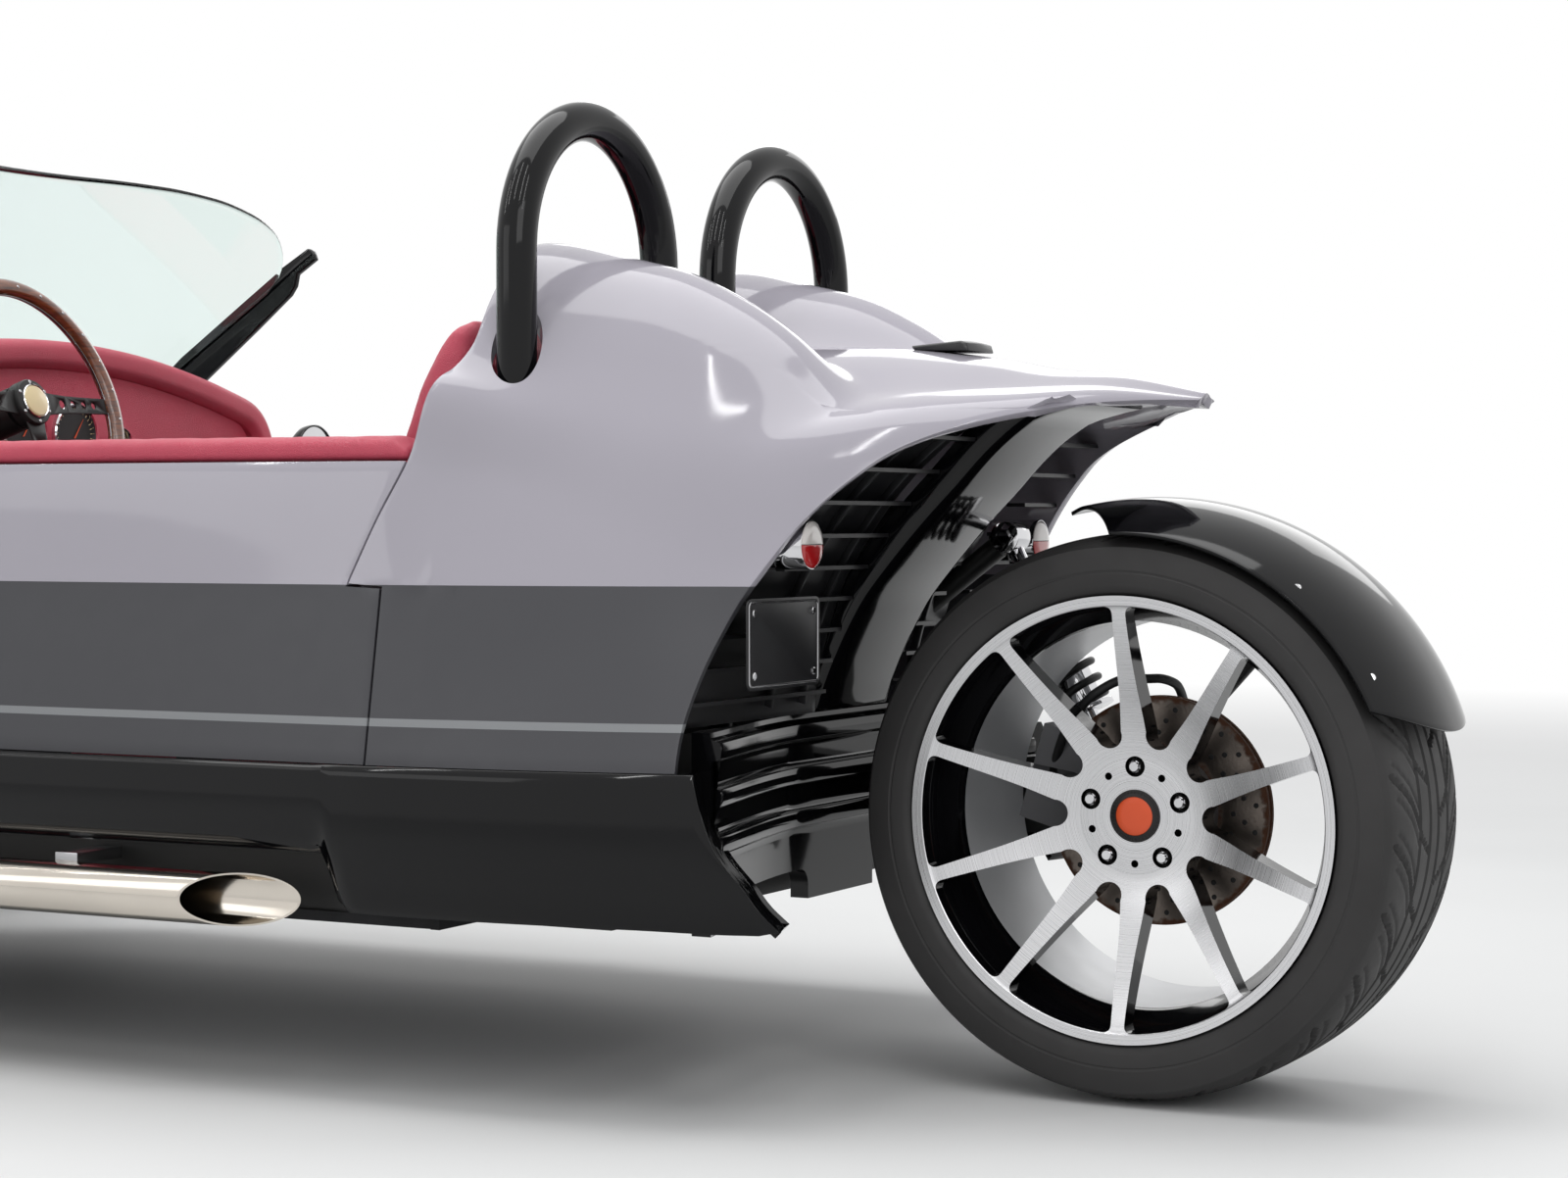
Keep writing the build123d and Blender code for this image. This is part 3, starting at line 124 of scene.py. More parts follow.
def read_curve(knots: Sequence[Point2], at: float) -> float:
    """Read a smooth curve through knots, with no overshoot between them.

    Args:
        knots: Pairs of input and value, in rising order of the input.
        at: The input to read at; outside the knots the end value holds.

    Returns:
        The curve's value there.
    """
    if at <= knots[0][0]:
        return knots[0][1]
    if at >= knots[-1][0]:
        return knots[-1][1]
    i = max(k for k in range(len(knots) - 1) if knots[k][0] <= at)
    slopes = [(b[1] - a[1]) / (b[0] - a[0]) for a, b in zip(knots, knots[1:])]

    def tangent(k: int) -> float:
        """Give the slope at a knot, level where the curve turns."""
        if k == 0:
            return slopes[0]
        if k == len(knots) - 1:
            return slopes[-1]
        before, after = slopes[k - 1], slopes[k]
        return 0.0 if before * after <= 0 else 2.0 * before * after / (before + after)

    width = knots[i + 1][0] - knots[i][0]
    t = (at - knots[i][0]) / width
    h00, h10 = 2 * t**3 - 3 * t**2 + 1, t**3 - 2 * t**2 + t
    h01, h11 = -2 * t**3 + 3 * t**2, t**3 - t**2
    return (h00 * knots[i][1] + h10 * width * tangent(i)
            + h01 * knots[i + 1][1] + h11 * width * tangent(i + 1))


# Finishes


class Grain(Enum):
    """The small relief that a finish carries."""

    NONE = "none"
    ORANGE_PEEL = "orange peel"
    LEATHER = "leather"
    MOULDED = "moulded"
    BRUSHED = "brushed"
    CAST = "cast"


class NodeDesk:
    """Adds and joins the nodes of one material."""

    def __init__(self, name: str) -> None:
        """Start an empty material.

        Args:
            name: The material's name.
        """
        self.material = bpy.data.materials.new(name)
        self.material.use_nodes = True
        self.tree = self.material.node_tree
        self.tree.nodes.clear()
        self.output = self.add("ShaderNodeOutputMaterial")
        self.shader = self.add("ShaderNodeBsdfPrincipled")
        self.join(self.shader.outputs[0], self.output.inputs["Surface"])
        self.coords = self.add("ShaderNodeTexCoord").outputs["Object"]

    def add(self, kind: str, **props: object) -> bpy.types.Node:
        """Add a node and set its properties.

        Args:
            kind: The node's Blender type.
            **props: Properties to set on it.

        Returns:
            The new node.
        """
        node = self.tree.nodes.new(kind)
        for key, value in props.items():
            setattr(node, key, value)
        return node

    def join(self, source: bpy.types.NodeSocket, target: bpy.types.NodeSocket) -> None:
        """Join an output to an input."""
        self.tree.links.new(source, target)

    def noise(self, scale: float, detail: float = 2.0,
              stretch: Colour = (1.0, 1.0, 1.0)) -> bpy.types.NodeSocket:
        """Add noise on object coordinates.

        Args:
            scale: Repeats a metre.
            detail: Octaves of finer noise.
            stretch: How much denser the noise runs along each axis.

        Returns:
            The noise's value output.
        """
        mapping = self.add("ShaderNodeMapping")
        mapping.inputs["Scale"].default_value = stretch
        self.join(self.coords, mapping.inputs["Vector"])
        node = self.add("ShaderNodeTexNoise")
        node.inputs["Scale"].default_value = scale
        node.inputs["Detail"].default_value = detail
        self.join(mapping.outputs["Vector"], node.inputs["Vector"])
        return node.outputs[0]

    def spread(self, source: bpy.types.NodeSocket, low: float, high: float,
               start: float = 0.3, end: float = 0.7) -> bpy.types.NodeSocket:
        """Map a value from one range to another.

        Args:
            source: The value to map.
            low: What the start becomes.
            high: What the end becomes.
            start: Where the source range starts.
            end: Where the source range ends.

        Returns:
            The mapped value.
        """
        node = self.add("ShaderNodeMapRange")
        self.join(source, node.inputs["Value"])
        for name, value in (("From Min", start), ("From Max", end), ("To Min", low), ("To Max", high)):
            node.inputs[name].default_value = value
        return node.outputs[0]

    def mix(self, share: bpy.types.NodeSocket, first: object, second: object) -> bpy.types.NodeSocket:
        """Mix two colours by a share.

        Args:
            share: The share of the second colour.
            first: A colour or a socket.
            second: A colour or a socket.

        Returns:
            The mixed colour.
        """
        node = self.add("ShaderNodeMix", data_type="RGBA")
        self.join(share, node.inputs[0])
        for value, socket in ((first, node.inputs[6]), (second, node.inputs[7])):
            if isinstance(value, bpy.types.NodeSocket):
                self.join(value, socket)
            else:
                socket.default_value = (*value, 1.0)
        return node.outputs[2]

    def math(self, operation: str, first: object, second: object = 0.0) -> bpy.types.NodeSocket:
        """Add one sum on two values.

        Args:
            operation: Blender's name of the sum.
            first: A number or a socket.
            second: A number or a socket.

        Returns:
            The result.
        """
        node = self.add("ShaderNodeMath", operation=operation)
        for value, socket in ((first, node.inputs[0]), (second, node.inputs[1])):
            if isinstance(value, bpy.types.NodeSocket):
                self.join(value, socket)
            else:
                socket.default_value = value
        return node.outputs[0]

    def axes(self) -> bpy.types.Node:
        """Split the object coordinates into x, y and z."""
        node = self.add("ShaderNodeSeparateXYZ")
        self.join(self.coords, node.inputs[0])
        return node

    def relief(self, height: bpy.types.NodeSocket, depth: float) -> None:
        """Raise the surface by a height pattern.

        Args:
            height: The pattern, from 0 to 1.
            depth: Its depth in metres.
        """
        node = self.add("ShaderNodeBump")
        node.inputs["Strength"].default_value = 1.0
        node.inputs["Distance"].default_value = depth
        self.join(height, node.inputs["Height"])
        self.join(node.outputs[0], self.shader.inputs["Normal"])

    def set(self, **values: object) -> None:
        """Set the shader's own sockets, with underscores for spaces."""
        for key, value in values.items():
            socket = self.shader.inputs[key.replace("_", " ")]
            socket.default_value = (*value, 1.0) if isinstance(value, tuple) else value


@dataclass(frozen=True)
class Finish:
    """A finish of one colour with its wear, sheen and small relief."""

    name: str
    colour: Colour
    roughness: float = 0.5
    metallic: float = 0.0
    coat: float = 0.0
    specular: float = 0.5
    grain: Grain = Grain.NONE
    depth: float = 0.0002
    worn: float = 0.06
    smudge: float = 0.08

    def material(self) -> bpy.types.Material:
        """Return the finish's material, made once."""
        return bpy.data.materials.get(self.name) or self.build()

    def build(self) -> bpy.types.Material:
        """Make the material's nodes.

        Returns:
            The new material.
        """
        desk = NodeDesk(self.name)
        desk.set(Metallic=self.metallic, Coat_Weight=self.coat, Coat_Roughness=0.03,
                 Specular_IOR_Level=self.specular)
        cloud = desk.noise(7.0, 4.0)
        dark = tuple(c * (1.0 - self.worn) for c in self.colour)
        light = tuple(min(1.0, c * (1.0 + self.worn)) for c in self.colour)
        desk.join(desk.mix(desk.spread(cloud, 0.0, 1.0), dark, light), desk.shader.inputs["Base Color"])
        low, high = self.roughness * (1.0 - self.smudge), min(1.0, self.roughness * (1.0 + self.smudge))
        desk.join(desk.spread(desk.noise(23.0, 3.0), low, high), desk.shader.inputs["Roughness"])
        self.add_grain(desk)
        return desk.material

    def add_grain(self, desk: NodeDesk) -> None:
        """Give the material its small relief.

        Args:
            desk: The material's nodes.
        """
        if self.grain is Grain.LEATHER:
            cells = desk.add("ShaderNodeTexVoronoi", feature="DISTANCE_TO_EDGE")
            cells.inputs["Scale"].default_value = 520.0
            desk.join(desk.coords, cells.inputs["Vector"])
            pores = desk.spread(cells.outputs[0], 0.0, 1.0, 0.0, 0.25)
            desk.relief(desk.math("ADD", pores, desk.noise(60.0, 3.0)), self.depth)
        elif self.grain is Grain.MOULDED:
            desk.relief(desk.noise(900.0, 3.0), self.depth)
        elif self.grain is Grain.CAST:
            desk.relief(desk.noise(260.0, 5.0), self.depth)
        elif self.grain is Grain.BRUSHED:
            desk.relief(desk.noise(90.0, 3.0, (0.4, 6.0, 6.0)), self.depth)
        elif self.grain is Grain.ORANGE_PEEL:
            desk.relief(desk.noise(38.0, 2.0), self.depth)


@dataclass(frozen=True)
class BandedPaint(Finish):
    """Body paint with a satin band and a thin line along the lower flank."""

    band_colour: Colour = srgb(58, 58, 62)
    line_colour: Colour = srgb(128, 130, 132)
    band_top: float = 0.594
    line_low: float = 0.4355
    line_high: float = 0.4445
    band_roughness: float = 0.46

    def build(self) -> bpy.types.Material:
        """Make the paint, its band by height and its line inside the band.

        Returns:
            The new material.
        """
        desk = NodeDesk(self.name)
        desk.set(Specular_IOR_Level=self.specular)
        height = desk.axes().outputs["Z"]
        in_band = desk.math("LESS_THAN", height, self.band_top)
        in_line = desk.math("MULTIPLY", desk.math("GREATER_THAN", height, self.line_low),
                            desk.math("LESS_THAN", height, self.line_high))
        cloud = desk.spread(desk.noise(3.0, 3.0), 0.0, 1.0)
        dark = tuple(c * (1.0 - self.worn) for c in self.colour)
        paint = desk.mix(cloud, dark, self.colour)
        flank = desk.mix(in_line, self.band_colour, self.line_colour)
        desk.join(desk.mix(in_band, paint, flank), desk.shader.inputs["Base Color"])
        satin = desk.spread(desk.noise(40.0, 2.0), self.band_roughness - 0.03, self.band_roughness + 0.03)
        gloss = desk.spread(desk.noise(9.0, 2.0), self.roughness, self.roughness + 0.02)
        share = desk.add("ShaderNodeMix", data_type="FLOAT")
        for source, target in ((in_band, 0), (gloss, 2), (satin, 3)):
            desk.join(source, share.inputs[target])
        desk.join(share.outputs[0], desk.shader.inputs["Roughness"])
        desk.relief(desk.noise(30.0, 2.0), self.depth)
        return desk.material


@dataclass(frozen=True)
class TurnedMetal(Finish):
    """Bright metal with the fine rings that a lathe leaves around an axle along y."""

    centre: tuple[float, float] = (0.0, 0.0)
    pitch: float = 0.0012

    def build(self) -> bpy.types.Material:
        """Make the rings from the distance to the axle.

        Returns:
            The new material.
        """
        desk = NodeDesk(self.name)
        desk.set(Metallic=self.metallic, Base_Color=self.colour)
        split = desk.axes()
        dx = desk.math("SUBTRACT", split.outputs["X"], self.centre[0])
        dz = desk.math("SUBTRACT", split.outputs["Z"], self.centre[1])
        square = desk.math("ADD", desk.math("MULTIPLY", dx, dx), desk.math("MULTIPLY", dz, dz))
        radius = desk.math("SQRT", square)
        rings = desk.add("ShaderNodeTexNoise", noise_dimensions="1D")
        rings.inputs["Scale"].default_value = 1.0 / self.pitch
        rings.inputs["Detail"].default_value = 3.0
        desk.join(radius, rings.inputs["W"])
        shade = desk.spread(rings.outputs[0], 0.0, 1.0, 0.25, 0.75)
        dark = tuple(c * 0.72 for c in self.colour)
        desk.join(desk.mix(shade, dark, self.colour), desk.shader.inputs["Base Color"])
        desk.join(desk.spread(rings.outputs[0], self.roughness - 0.06, self.roughness + 0.08),
                  desk.shader.inputs["Roughness"])
        desk.relief(rings.outputs[0], self.depth)
        return desk.material


@dataclass(frozen=True)
class RustyIron(Finish):
    """Swept brake iron, bright on its face and brown with rust at its outer and inner edges."""

    centre: tuple[float, float] = (0.0, 0.0)
    edge: float = 0.131

    def build(self) -> bpy.types.Material:
        """Make the swept face and the rusty edge by the distance to the axle.

        Returns:
            The new material.
        """
        desk = NodeDesk(self.name)
        split = desk.axes()
        dx = desk.math("SUBTRACT", split.outputs["X"], self.centre[0])
        dz = desk.math("SUBTRACT", split.outputs["Z"], self.centre[1])
        square = desk.math("ADD", desk.math("MULTIPLY", dx, dx), desk.math("MULTIPLY", dz, dz))
        radius = desk.math("SQRT", square)
        ragged = desk.math("ADD", radius, desk.spread(desk.noise(120.0, 4.0), -0.004, 0.004))
        rust = desk.spread(ragged, 0.0, 1.0, self.edge - 0.004, self.edge + 0.001)
        inner = desk.spread(ragged, 1.0, 0.0, 0.074, 0.080)
        share = desk.math("MAXIMUM", rust, inner)
        face = desk.mix(desk.spread(desk.noise(50.0, 4.0), 0.0, 1.0), self.colour,
                        tuple(c * 0.7 for c in self.colour))
        desk.join(desk.mix(share, face, srgb(92, 58, 38)), desk.shader.inputs["Base Color"])
        desk.join(desk.spread(share, 0.9, 0.1, 0.0, 1.0), desk.shader.inputs["Metallic"])
        desk.join(desk.spread(share, self.roughness, 0.85, 0.0, 1.0), desk.shader.inputs["Roughness"])
        desk.relief(desk.noise(300.0, 3.0), self.depth)
        return desk.material


@dataclass(frozen=True)
class Wood(Finish):
    """Varnished wood with streaks that run along x and y."""

    streak: Colour = srgb(70, 34, 16)

    def build(self) -> bpy.types.Material:
        """Make the streaks and the clear varnish over them.

        Returns:
            The new material.
        """
        desk = NodeDesk(self.name)
        desk.set(Roughness=self.roughness, Coat_Weight=1.0, Coat_Roughness=0.04)
        streaks = desk.noise(130.0, 6.0, (1.0, 0.25, 2.5))
        share = desk.spread(streaks, 0.0, 1.0, 0.35, 0.65)
        desk.join(desk.mix(share, self.streak, self.colour), desk.shader.inputs["Base Color"])
        desk.relief(streaks, self.depth)
        return desk.material


@dataclass(frozen=True)
class Glass(Finish):
    """Clear glass with a slight tint."""

    ior: float = 1.5

    def build(self) -> bpy.types.Material:
        """Make the glass with faint dust on it.

        Returns:
            The new material.
        """
        desk = NodeDesk(self.name)
        desk.set(Base_Color=self.colour, Transmission_Weight=1.0, IOR=self.ior)
        dust = desk.spread(desk.noise(60.0, 4.0), self.roughness, self.roughness + 0.02)
        desk.join(dust, desk.shader.inputs["Roughness"])
        return desk.material


def wheel_centre(front: bool) -> tuple[float, float]:
    """Give an axle's place in the side view, in metres.

    Args:
        front: True for the front axle.

    Returns:
        Its x and z.
    """
    point = place(FRONT_AXLE_X, 0.0, FRONT_AXLE_Z) if front else place(0.0, 0.0, REAR_AXLE_Z)
    return point.x, point.z


class Finishes:
    """Every finish of the roadster."""

    PAINT = BandedPaint("lavender_grey_paint", srgb(166, 162, 171), roughness=0.07, depth=0.00006, worn=0.03)
    GLOSS_BLACK = Finish("gloss_black_paint", srgb(9, 9, 11), roughness=0.07, specular=0.26,
                         grain=Grain.ORANGE_PEEL, depth=0.00004)
    SATIN_BLACK = Finish("satin_black_plastic", srgb(24, 24, 26), roughness=0.36, grain=Grain.MOULDED,
                         depth=0.00005)
    DULL_BLACK = Finish("dull_black_plastic", srgb(20, 20, 21), roughness=0.6, grain=Grain.MOULDED)
    BLACK_METAL = Finish("black_metal", srgb(22, 22, 24), roughness=0.42, metallic=0.3, grain=Grain.CAST,
                         depth=0.00004)
    RUBBER = Finish("tyre_rubber", srgb(44, 43, 43), roughness=0.62, grain=Grain.MOULDED, depth=0.00012,
                    worn=0.18, specular=0.4)
    LEATHER = Finish("raspberry_leather", srgb(188, 62, 84), roughness=0.42, grain=Grain.LEATHER,
                     depth=0.00035, worn=0.06)
    THREAD = Finish("raspberry_thread", srgb(206, 98, 114), roughness=0.7)
    POLISHED = Finish("polished_steel", srgb(205, 198, 188), roughness=0.13, metallic=1.0,
                      grain=Grain.BRUSHED, depth=0.00002)
    STEEL = Finish("bright_steel", srgb(176, 176, 178), roughness=0.24, metallic=1.0)
    ALUMINIUM = Finish("raw_aluminium", srgb(158, 160, 163), roughness=0.42, metallic=0.9,
                       grain=Grain.BRUSHED, depth=0.00004)
    CAST_ALUMINIUM = Finish("cast_aluminium", srgb(138, 139, 141), roughness=0.5, metallic=0.8,
                            grain=Grain.CAST, depth=0.0002)
    CAST_IRON = Finish("cast_iron", srgb(60, 60, 62), roughness=0.6, metallic=0.5, grain=Grain.CAST,
                       depth=0.0003)
    SILVER_PAINT = Finish("silver_paint", srgb(196, 197, 199), roughness=0.34, metallic=0.45, worn=0.02)
    CHROME = Finish("chrome", srgb(214, 214, 216), roughness=0.06, metallic=1.0)
    WOOD = Wood("varnished_wood", srgb(122, 66, 32), roughness=0.3)
    GLASS = Glass("clear_glass", (0.86, 0.96, 0.93), roughness=0.0)
    LENS_RED = Finish("red_lens", srgb(176, 22, 26), roughness=0.12, coat=1.0, worn=0.1)
    LENS_CLEAR = Finish("clear_lens", srgb(214, 208, 204), roughness=0.12, coat=1.0)
    CREAM = Finish("cream_button", srgb(222, 206, 158), roughness=0.25, coat=0.6)
    ORANGE = Finish("orange_cap", srgb(222, 84, 40), roughness=0.4)
    DARK_RING = Finish("dark_ring", srgb(40, 38, 38), roughness=0.4, metallic=0.6)
    CARPET = Finish("black_carpet", srgb(26, 26, 28), roughness=0.95, grain=Grain.MOULDED, depth=0.0008)
    MACHINED_REAR = TurnedMetal("machined_rear", srgb(214, 214, 216), roughness=0.3, metallic=0.95,
                                depth=0.000012, centre=wheel_centre(False))
    MACHINED_FRONT = TurnedMetal("machined_front", srgb(214, 214, 216), roughness=0.3, metallic=0.95,
                                 depth=0.000012, centre=wheel_centre(True))
    IRON_REAR = RustyIron("brake_iron_rear", srgb(122, 113, 106), roughness=0.32,
                          centre=wheel_centre(False))
    IRON_FRONT = RustyIron("brake_iron_front", srgb(122, 113, 106), roughness=0.32,
                           centre=wheel_centre(True))


# Meshes


class Solid:
    """Collects the points and faces of one piece, which may be several closed shells."""

    def __init__(self) -> None:
        """Start with nothing in it."""
        self.points: list[Vector] = []
        self.faces: list[tuple[int, ...]] = []

    def add(self, points: Iterable[Vector], faces: Iterable[Sequence[int]]) -> None:
        """Add one shell.

        Args:
            points: Its points.
            faces: Its faces, as places in that list.
        """
        start = len(self.points)
        self.points.extend(points)
        self.faces.extend(tuple(start + i for i in face) for face in faces)

    def loft(self, rings: Sequence[Sequence[Vector]], capped: bool = True, looped: bool = False) -> None:
        """Join closed rings of equal length, in order.

        Args:
            rings: The rings, each a closed list of points.
            capped: Whether the first and last ring are closed by a fan.
            looped: Whether the last ring joins the first.
        """
        count, size = len(rings), len(rings[0])
        points = [p for ring in rings for p in ring]
        faces = [
            (i * size + j, i * size + (j + 1) % size, (i + 1) % count * size + (j + 1) % size,
             (i + 1) % count * size + j)
            for i in range(count if looped else count - 1)
            for j in range(size)
        ]
        if capped and not looped:
            for i, ring in ((0, rings[0]), (count - 1, rings[-1])):
                points.append(sum(ring, Vector()) / size)
                middle = len(points) - 1
                faces += [(i * size + j, i * size + (j + 1) % size, middle) for j in range(size)]
        self.add(points, faces)

    def lathe(self, profile: Sequence[Point2], centre: Point2 = (0.0, 0.0), y: float = 0.0,
              side: int = 1, steps: int = 96) -> None:
        """Turn a closed outline about an axle along y.

        Args:
            profile: Pairs of radius and distance along the axle, as a closed loop.
            centre: The axle's x and z.
            y: Where the profile's zero lies across the car.
            side: 1, or -1 to turn the profile to the right.
            steps: Faces around the axle.
        """
        rings = []
        for k in range(steps):
            a = math.tau * k / steps
            rings.append([place(centre[0] + r * math.cos(a), y + side * v, centre[1] + r * math.sin(a))
                          for r, v in profile])
        self.loft(rings, looped=True)

    def tube(self, path: Sequence[Vector], radius: float, sides: int = 20, looped: bool = False) -> None:
        """Run a round tube along a path.

        Args:
            path: The middle line, in metres.
            radius: The tube's radius in metres.
            sides: Faces around the tube.
            looped: Whether the path is a closed loop.
        """
        count = len(path)
        rings: list[list[Vector]] = []
        across: Vector | None = None
        for i, point in enumerate(path):
            before = path[(i - 1) % count] if looped else path[max(i - 1, 0)]
            after = path[(i + 1) % count] if looped else path[min(i + 1, count - 1)]
            along = (after - before).normalized()
            if across is None:
                across = along.orthogonal().normalized()
            across = (across - along * across.dot(along)).normalized()
            other = along.cross(across)
            rings.append([point + radius * (math.cos(a) * across + math.sin(a) * other)
                          for a in (math.tau * k / sides for k in range(sides))])
        self.loft(rings, looped=looped)

    def prism(self, outline: Sequence[Vector], push: Vector) -> None:
        """Push a flat closed outline along a vector.

        Args:
            outline: The outline's points.
            push: The way and the distance.
        """
        size = len(outline)
        faces: list[tuple[int, ...]] = [tuple(range(size)), tuple(range(2 * size - 1, size - 1, -1))]
        faces += [(j, (j + 1) % size, size + (j + 1) % size, size + j) for j in range(size)]
        self.add([*outline, *(p + push for p in outline)], faces)

    def side_prism(self, outline: Sequence[Point2], y0: float, y1: float) -> None:
        """Push an outline of x and z across the car from y0 to y1."""
        self.prism([place(x, y0, z) for x, z in outline], Vector((0, (y1 - y0) / 1000, 0)))

    def rod(self, start: Sequence[float], end: Sequence[float], radius: float, sides: int = 24) -> None:
        """Add a round bar between two points, all in millimetres."""
        self.tube([place(*start), place(*end)], radius / 1000, sides)

    def sheet(self, rows: Sequence[Sequence[Vector]], wall: float) -> None:
        """Give a grid of points a wall thickness, inwards from its face.

        Args:
            rows: Rows of points of equal length.
            wall: Vector length of the wall in metres; its sign picks the side.
        """
        height, width = len(rows), len(rows[0])
        normals = [[Vector()] * width for _ in range(height)]
        for i in range(height):
            for j in range(width):
                du = rows[i][min(j + 1, width - 1)] - rows[i][max(j - 1, 0)]
                dv = rows[min(i + 1, height - 1)][j] - rows[max(i - 1, 0)][j]
                cross = du.cross(dv)
                normals[i][j] = cross.normalized() if cross.length > 1e-12 else Vector((0, 0, 1))
        front = [p for row in rows for p in row]
        back = [rows[i][j] - normals[i][j] * wall for i in range(height) for j in range(width)]
        total = height * width
        faces: list[tuple[int, ...]] = []
        for i in range(height - 1):
            for j in range(width - 1):
                a, b, c, d = i * width + j, i * width + j + 1, (i + 1) * width + j + 1, (i + 1) * width + j
                faces += [(a, b, c, d), (total + d, total + c, total + b, total + a)]
        rim = [j for j in range(width)] + [i * width + width - 1 for i in range(1, height)]
        rim += [(height - 1) * width + j for j in range(width - 2, -1, -1)]
        rim += [i * width for i in range(height - 2, 0, -1)]
        faces += [(a, b, total + b, total + a) for a, b in zip(rim, rim[1:] + rim[:1])]
        self.add(front + back, faces)

    def build(self, name: str, sharp: float = 38.0, bevel: float = 0.0, segments: int = 2) -> Obj:
        """Make the object, with its faces outwards and its sharp edges kept.

        Args:
            name: The piece's name.
            sharp: Edges that bend more than this many degrees stay sharp.
            bevel: Width in metres of a bevel on those edges, or 0 for none.
            segments: Steps in that bevel.

        Returns:
            The new object, at the origin.
        """
        mesh = bpy.data.meshes.new(name)
        mesh.from_pydata([tuple(p) for p in self.points], [], self.faces)
        bm = bmesh.new()
        bm.from_mesh(mesh)
        bmesh.ops.remove_doubles(bm, verts=bm.verts, dist=1e-6)
        bmesh.ops.dissolve_degenerate(bm, dist=1e-7, edges=bm.edges)
        bmesh.ops.recalc_face_normals(bm, faces=bm.faces)
        if bevel > 0.0:
            hard = [e for e in bm.edges if e.is_manifold and e.calc_face_angle() > math.radians(sharp)]
            bmesh.ops.bevel(bm, geom=hard, offset=bevel, segments=segments, affect="EDGES", profile=0.5,
                            clamp_overlap=True)
        for face in bm.faces:
            face.smooth = True
        for edge in bm.edges:
            edge.smooth = not (edge.is_manifold and edge.calc_face_angle() > math.radians(sharp))
        bm.to_mesh(mesh)
        bm.free()
        obj = bpy.data.objects.new(name, mesh)
        bpy.context.scene.collection.objects.link(obj)
        return obj


def carve(target: Obj, cutter: Obj) -> None:
    """Cut one object out of another and drop the cutter.

    Args:
        target: The object that is cut.
        cutter: The object that is taken away.
    """
    modifier = target.modifiers.new("cut", "BOOLEAN")
    modifier.operation = "DIFFERENCE"
    modifier.solver = "EXACT"
    modifier.object = cutter
    freeze(target)
    bpy.data.objects.remove(cutter, do_unlink=True)


def freeze(target: Obj) -> None:
    """Turn an object's modifiers into its mesh.

    Args:
        target: The object to change.
    """
    graph = bpy.context.evaluated_depsgraph_get()
    mesh = bpy.data.meshes.new_from_object(target.evaluated_get(graph), depsgraph=graph)
    target.modifiers.clear()
    target.data = mesh


def subdivide(target: Obj) -> None:
    """Subdivide a piece once and keep the result."""
    smooth = target.modifiers.new("smooth", "SUBSURF")
    smooth.levels = smooth.render_levels = 1
    freeze(target)


def side_name(side: int) -> str:
    """Name the left side for 1 and the right side for -1."""
    return "left" if side > 0 else "right"


def soften(target: Obj, width: float, sharp: float) -> None:
    """Bevel an object's sharp edges and shade the rest smooth.

    Args:
        target: The object to change.
        width: The bevel's width in metres.
        sharp: Edges that bend more than this many degrees are sharp.
    """
    modifier = target.modifiers.new("soften", "BEVEL")
    modifier.width = width
    modifier.segments = 1
    modifier.limit_method = "ANGLE"
    modifier.angle_limit = math.radians(sharp)
    modifier.use_clamp_overlap = True
    freeze(target)
    bm = bmesh.new()
    bm.from_mesh(target.data)
    for face in bm.faces:
        face.smooth = True
    for edge in bm.edges:
        edge.smooth = not (edge.is_manifold and edge.calc_face_angle() > math.radians(30.0))
    bm.to_mesh(target.data)
    bm.free()


def dress(obj: Obj, finish: Finish, body: str, slot: str, *nodes: str) -> Obj:
    """Give a piece its finish and its body, and hide the nodes that it stands for.

    Args:
        obj: The piece.
        finish: Its finish, unless it has materials already.
        body: The body that it rides on.
        slot: The record's material slot; not used.
        *nodes: CAD nodes that it replaces.

    Returns:
        The piece.
    """
    if not obj.data.materials:
        obj.data.materials.append(finish.material())
    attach(obj, body)
    if nodes:
        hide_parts(*nodes)
    return obj


def coat(node: str, finish: Finish) -> None:
    """Give a CAD node that stays a better material.

    Args:
        node: The node's name.
        finish: Its finish.
    """
    obj = frame["nodes"][node]
    material = finish.material()
    if obj.data.materials:
        for i in range(len(obj.data.materials)):
            obj.data.materials[i] = material
    else:
        obj.data.materials.append(material)


# Geometry Nodes for what repeats


class Unit(Enum):
    """The piece that a repeat sets at each place."""

    BAR = "bar"
    HEAD = "head"
    TEMPLATE = "template"


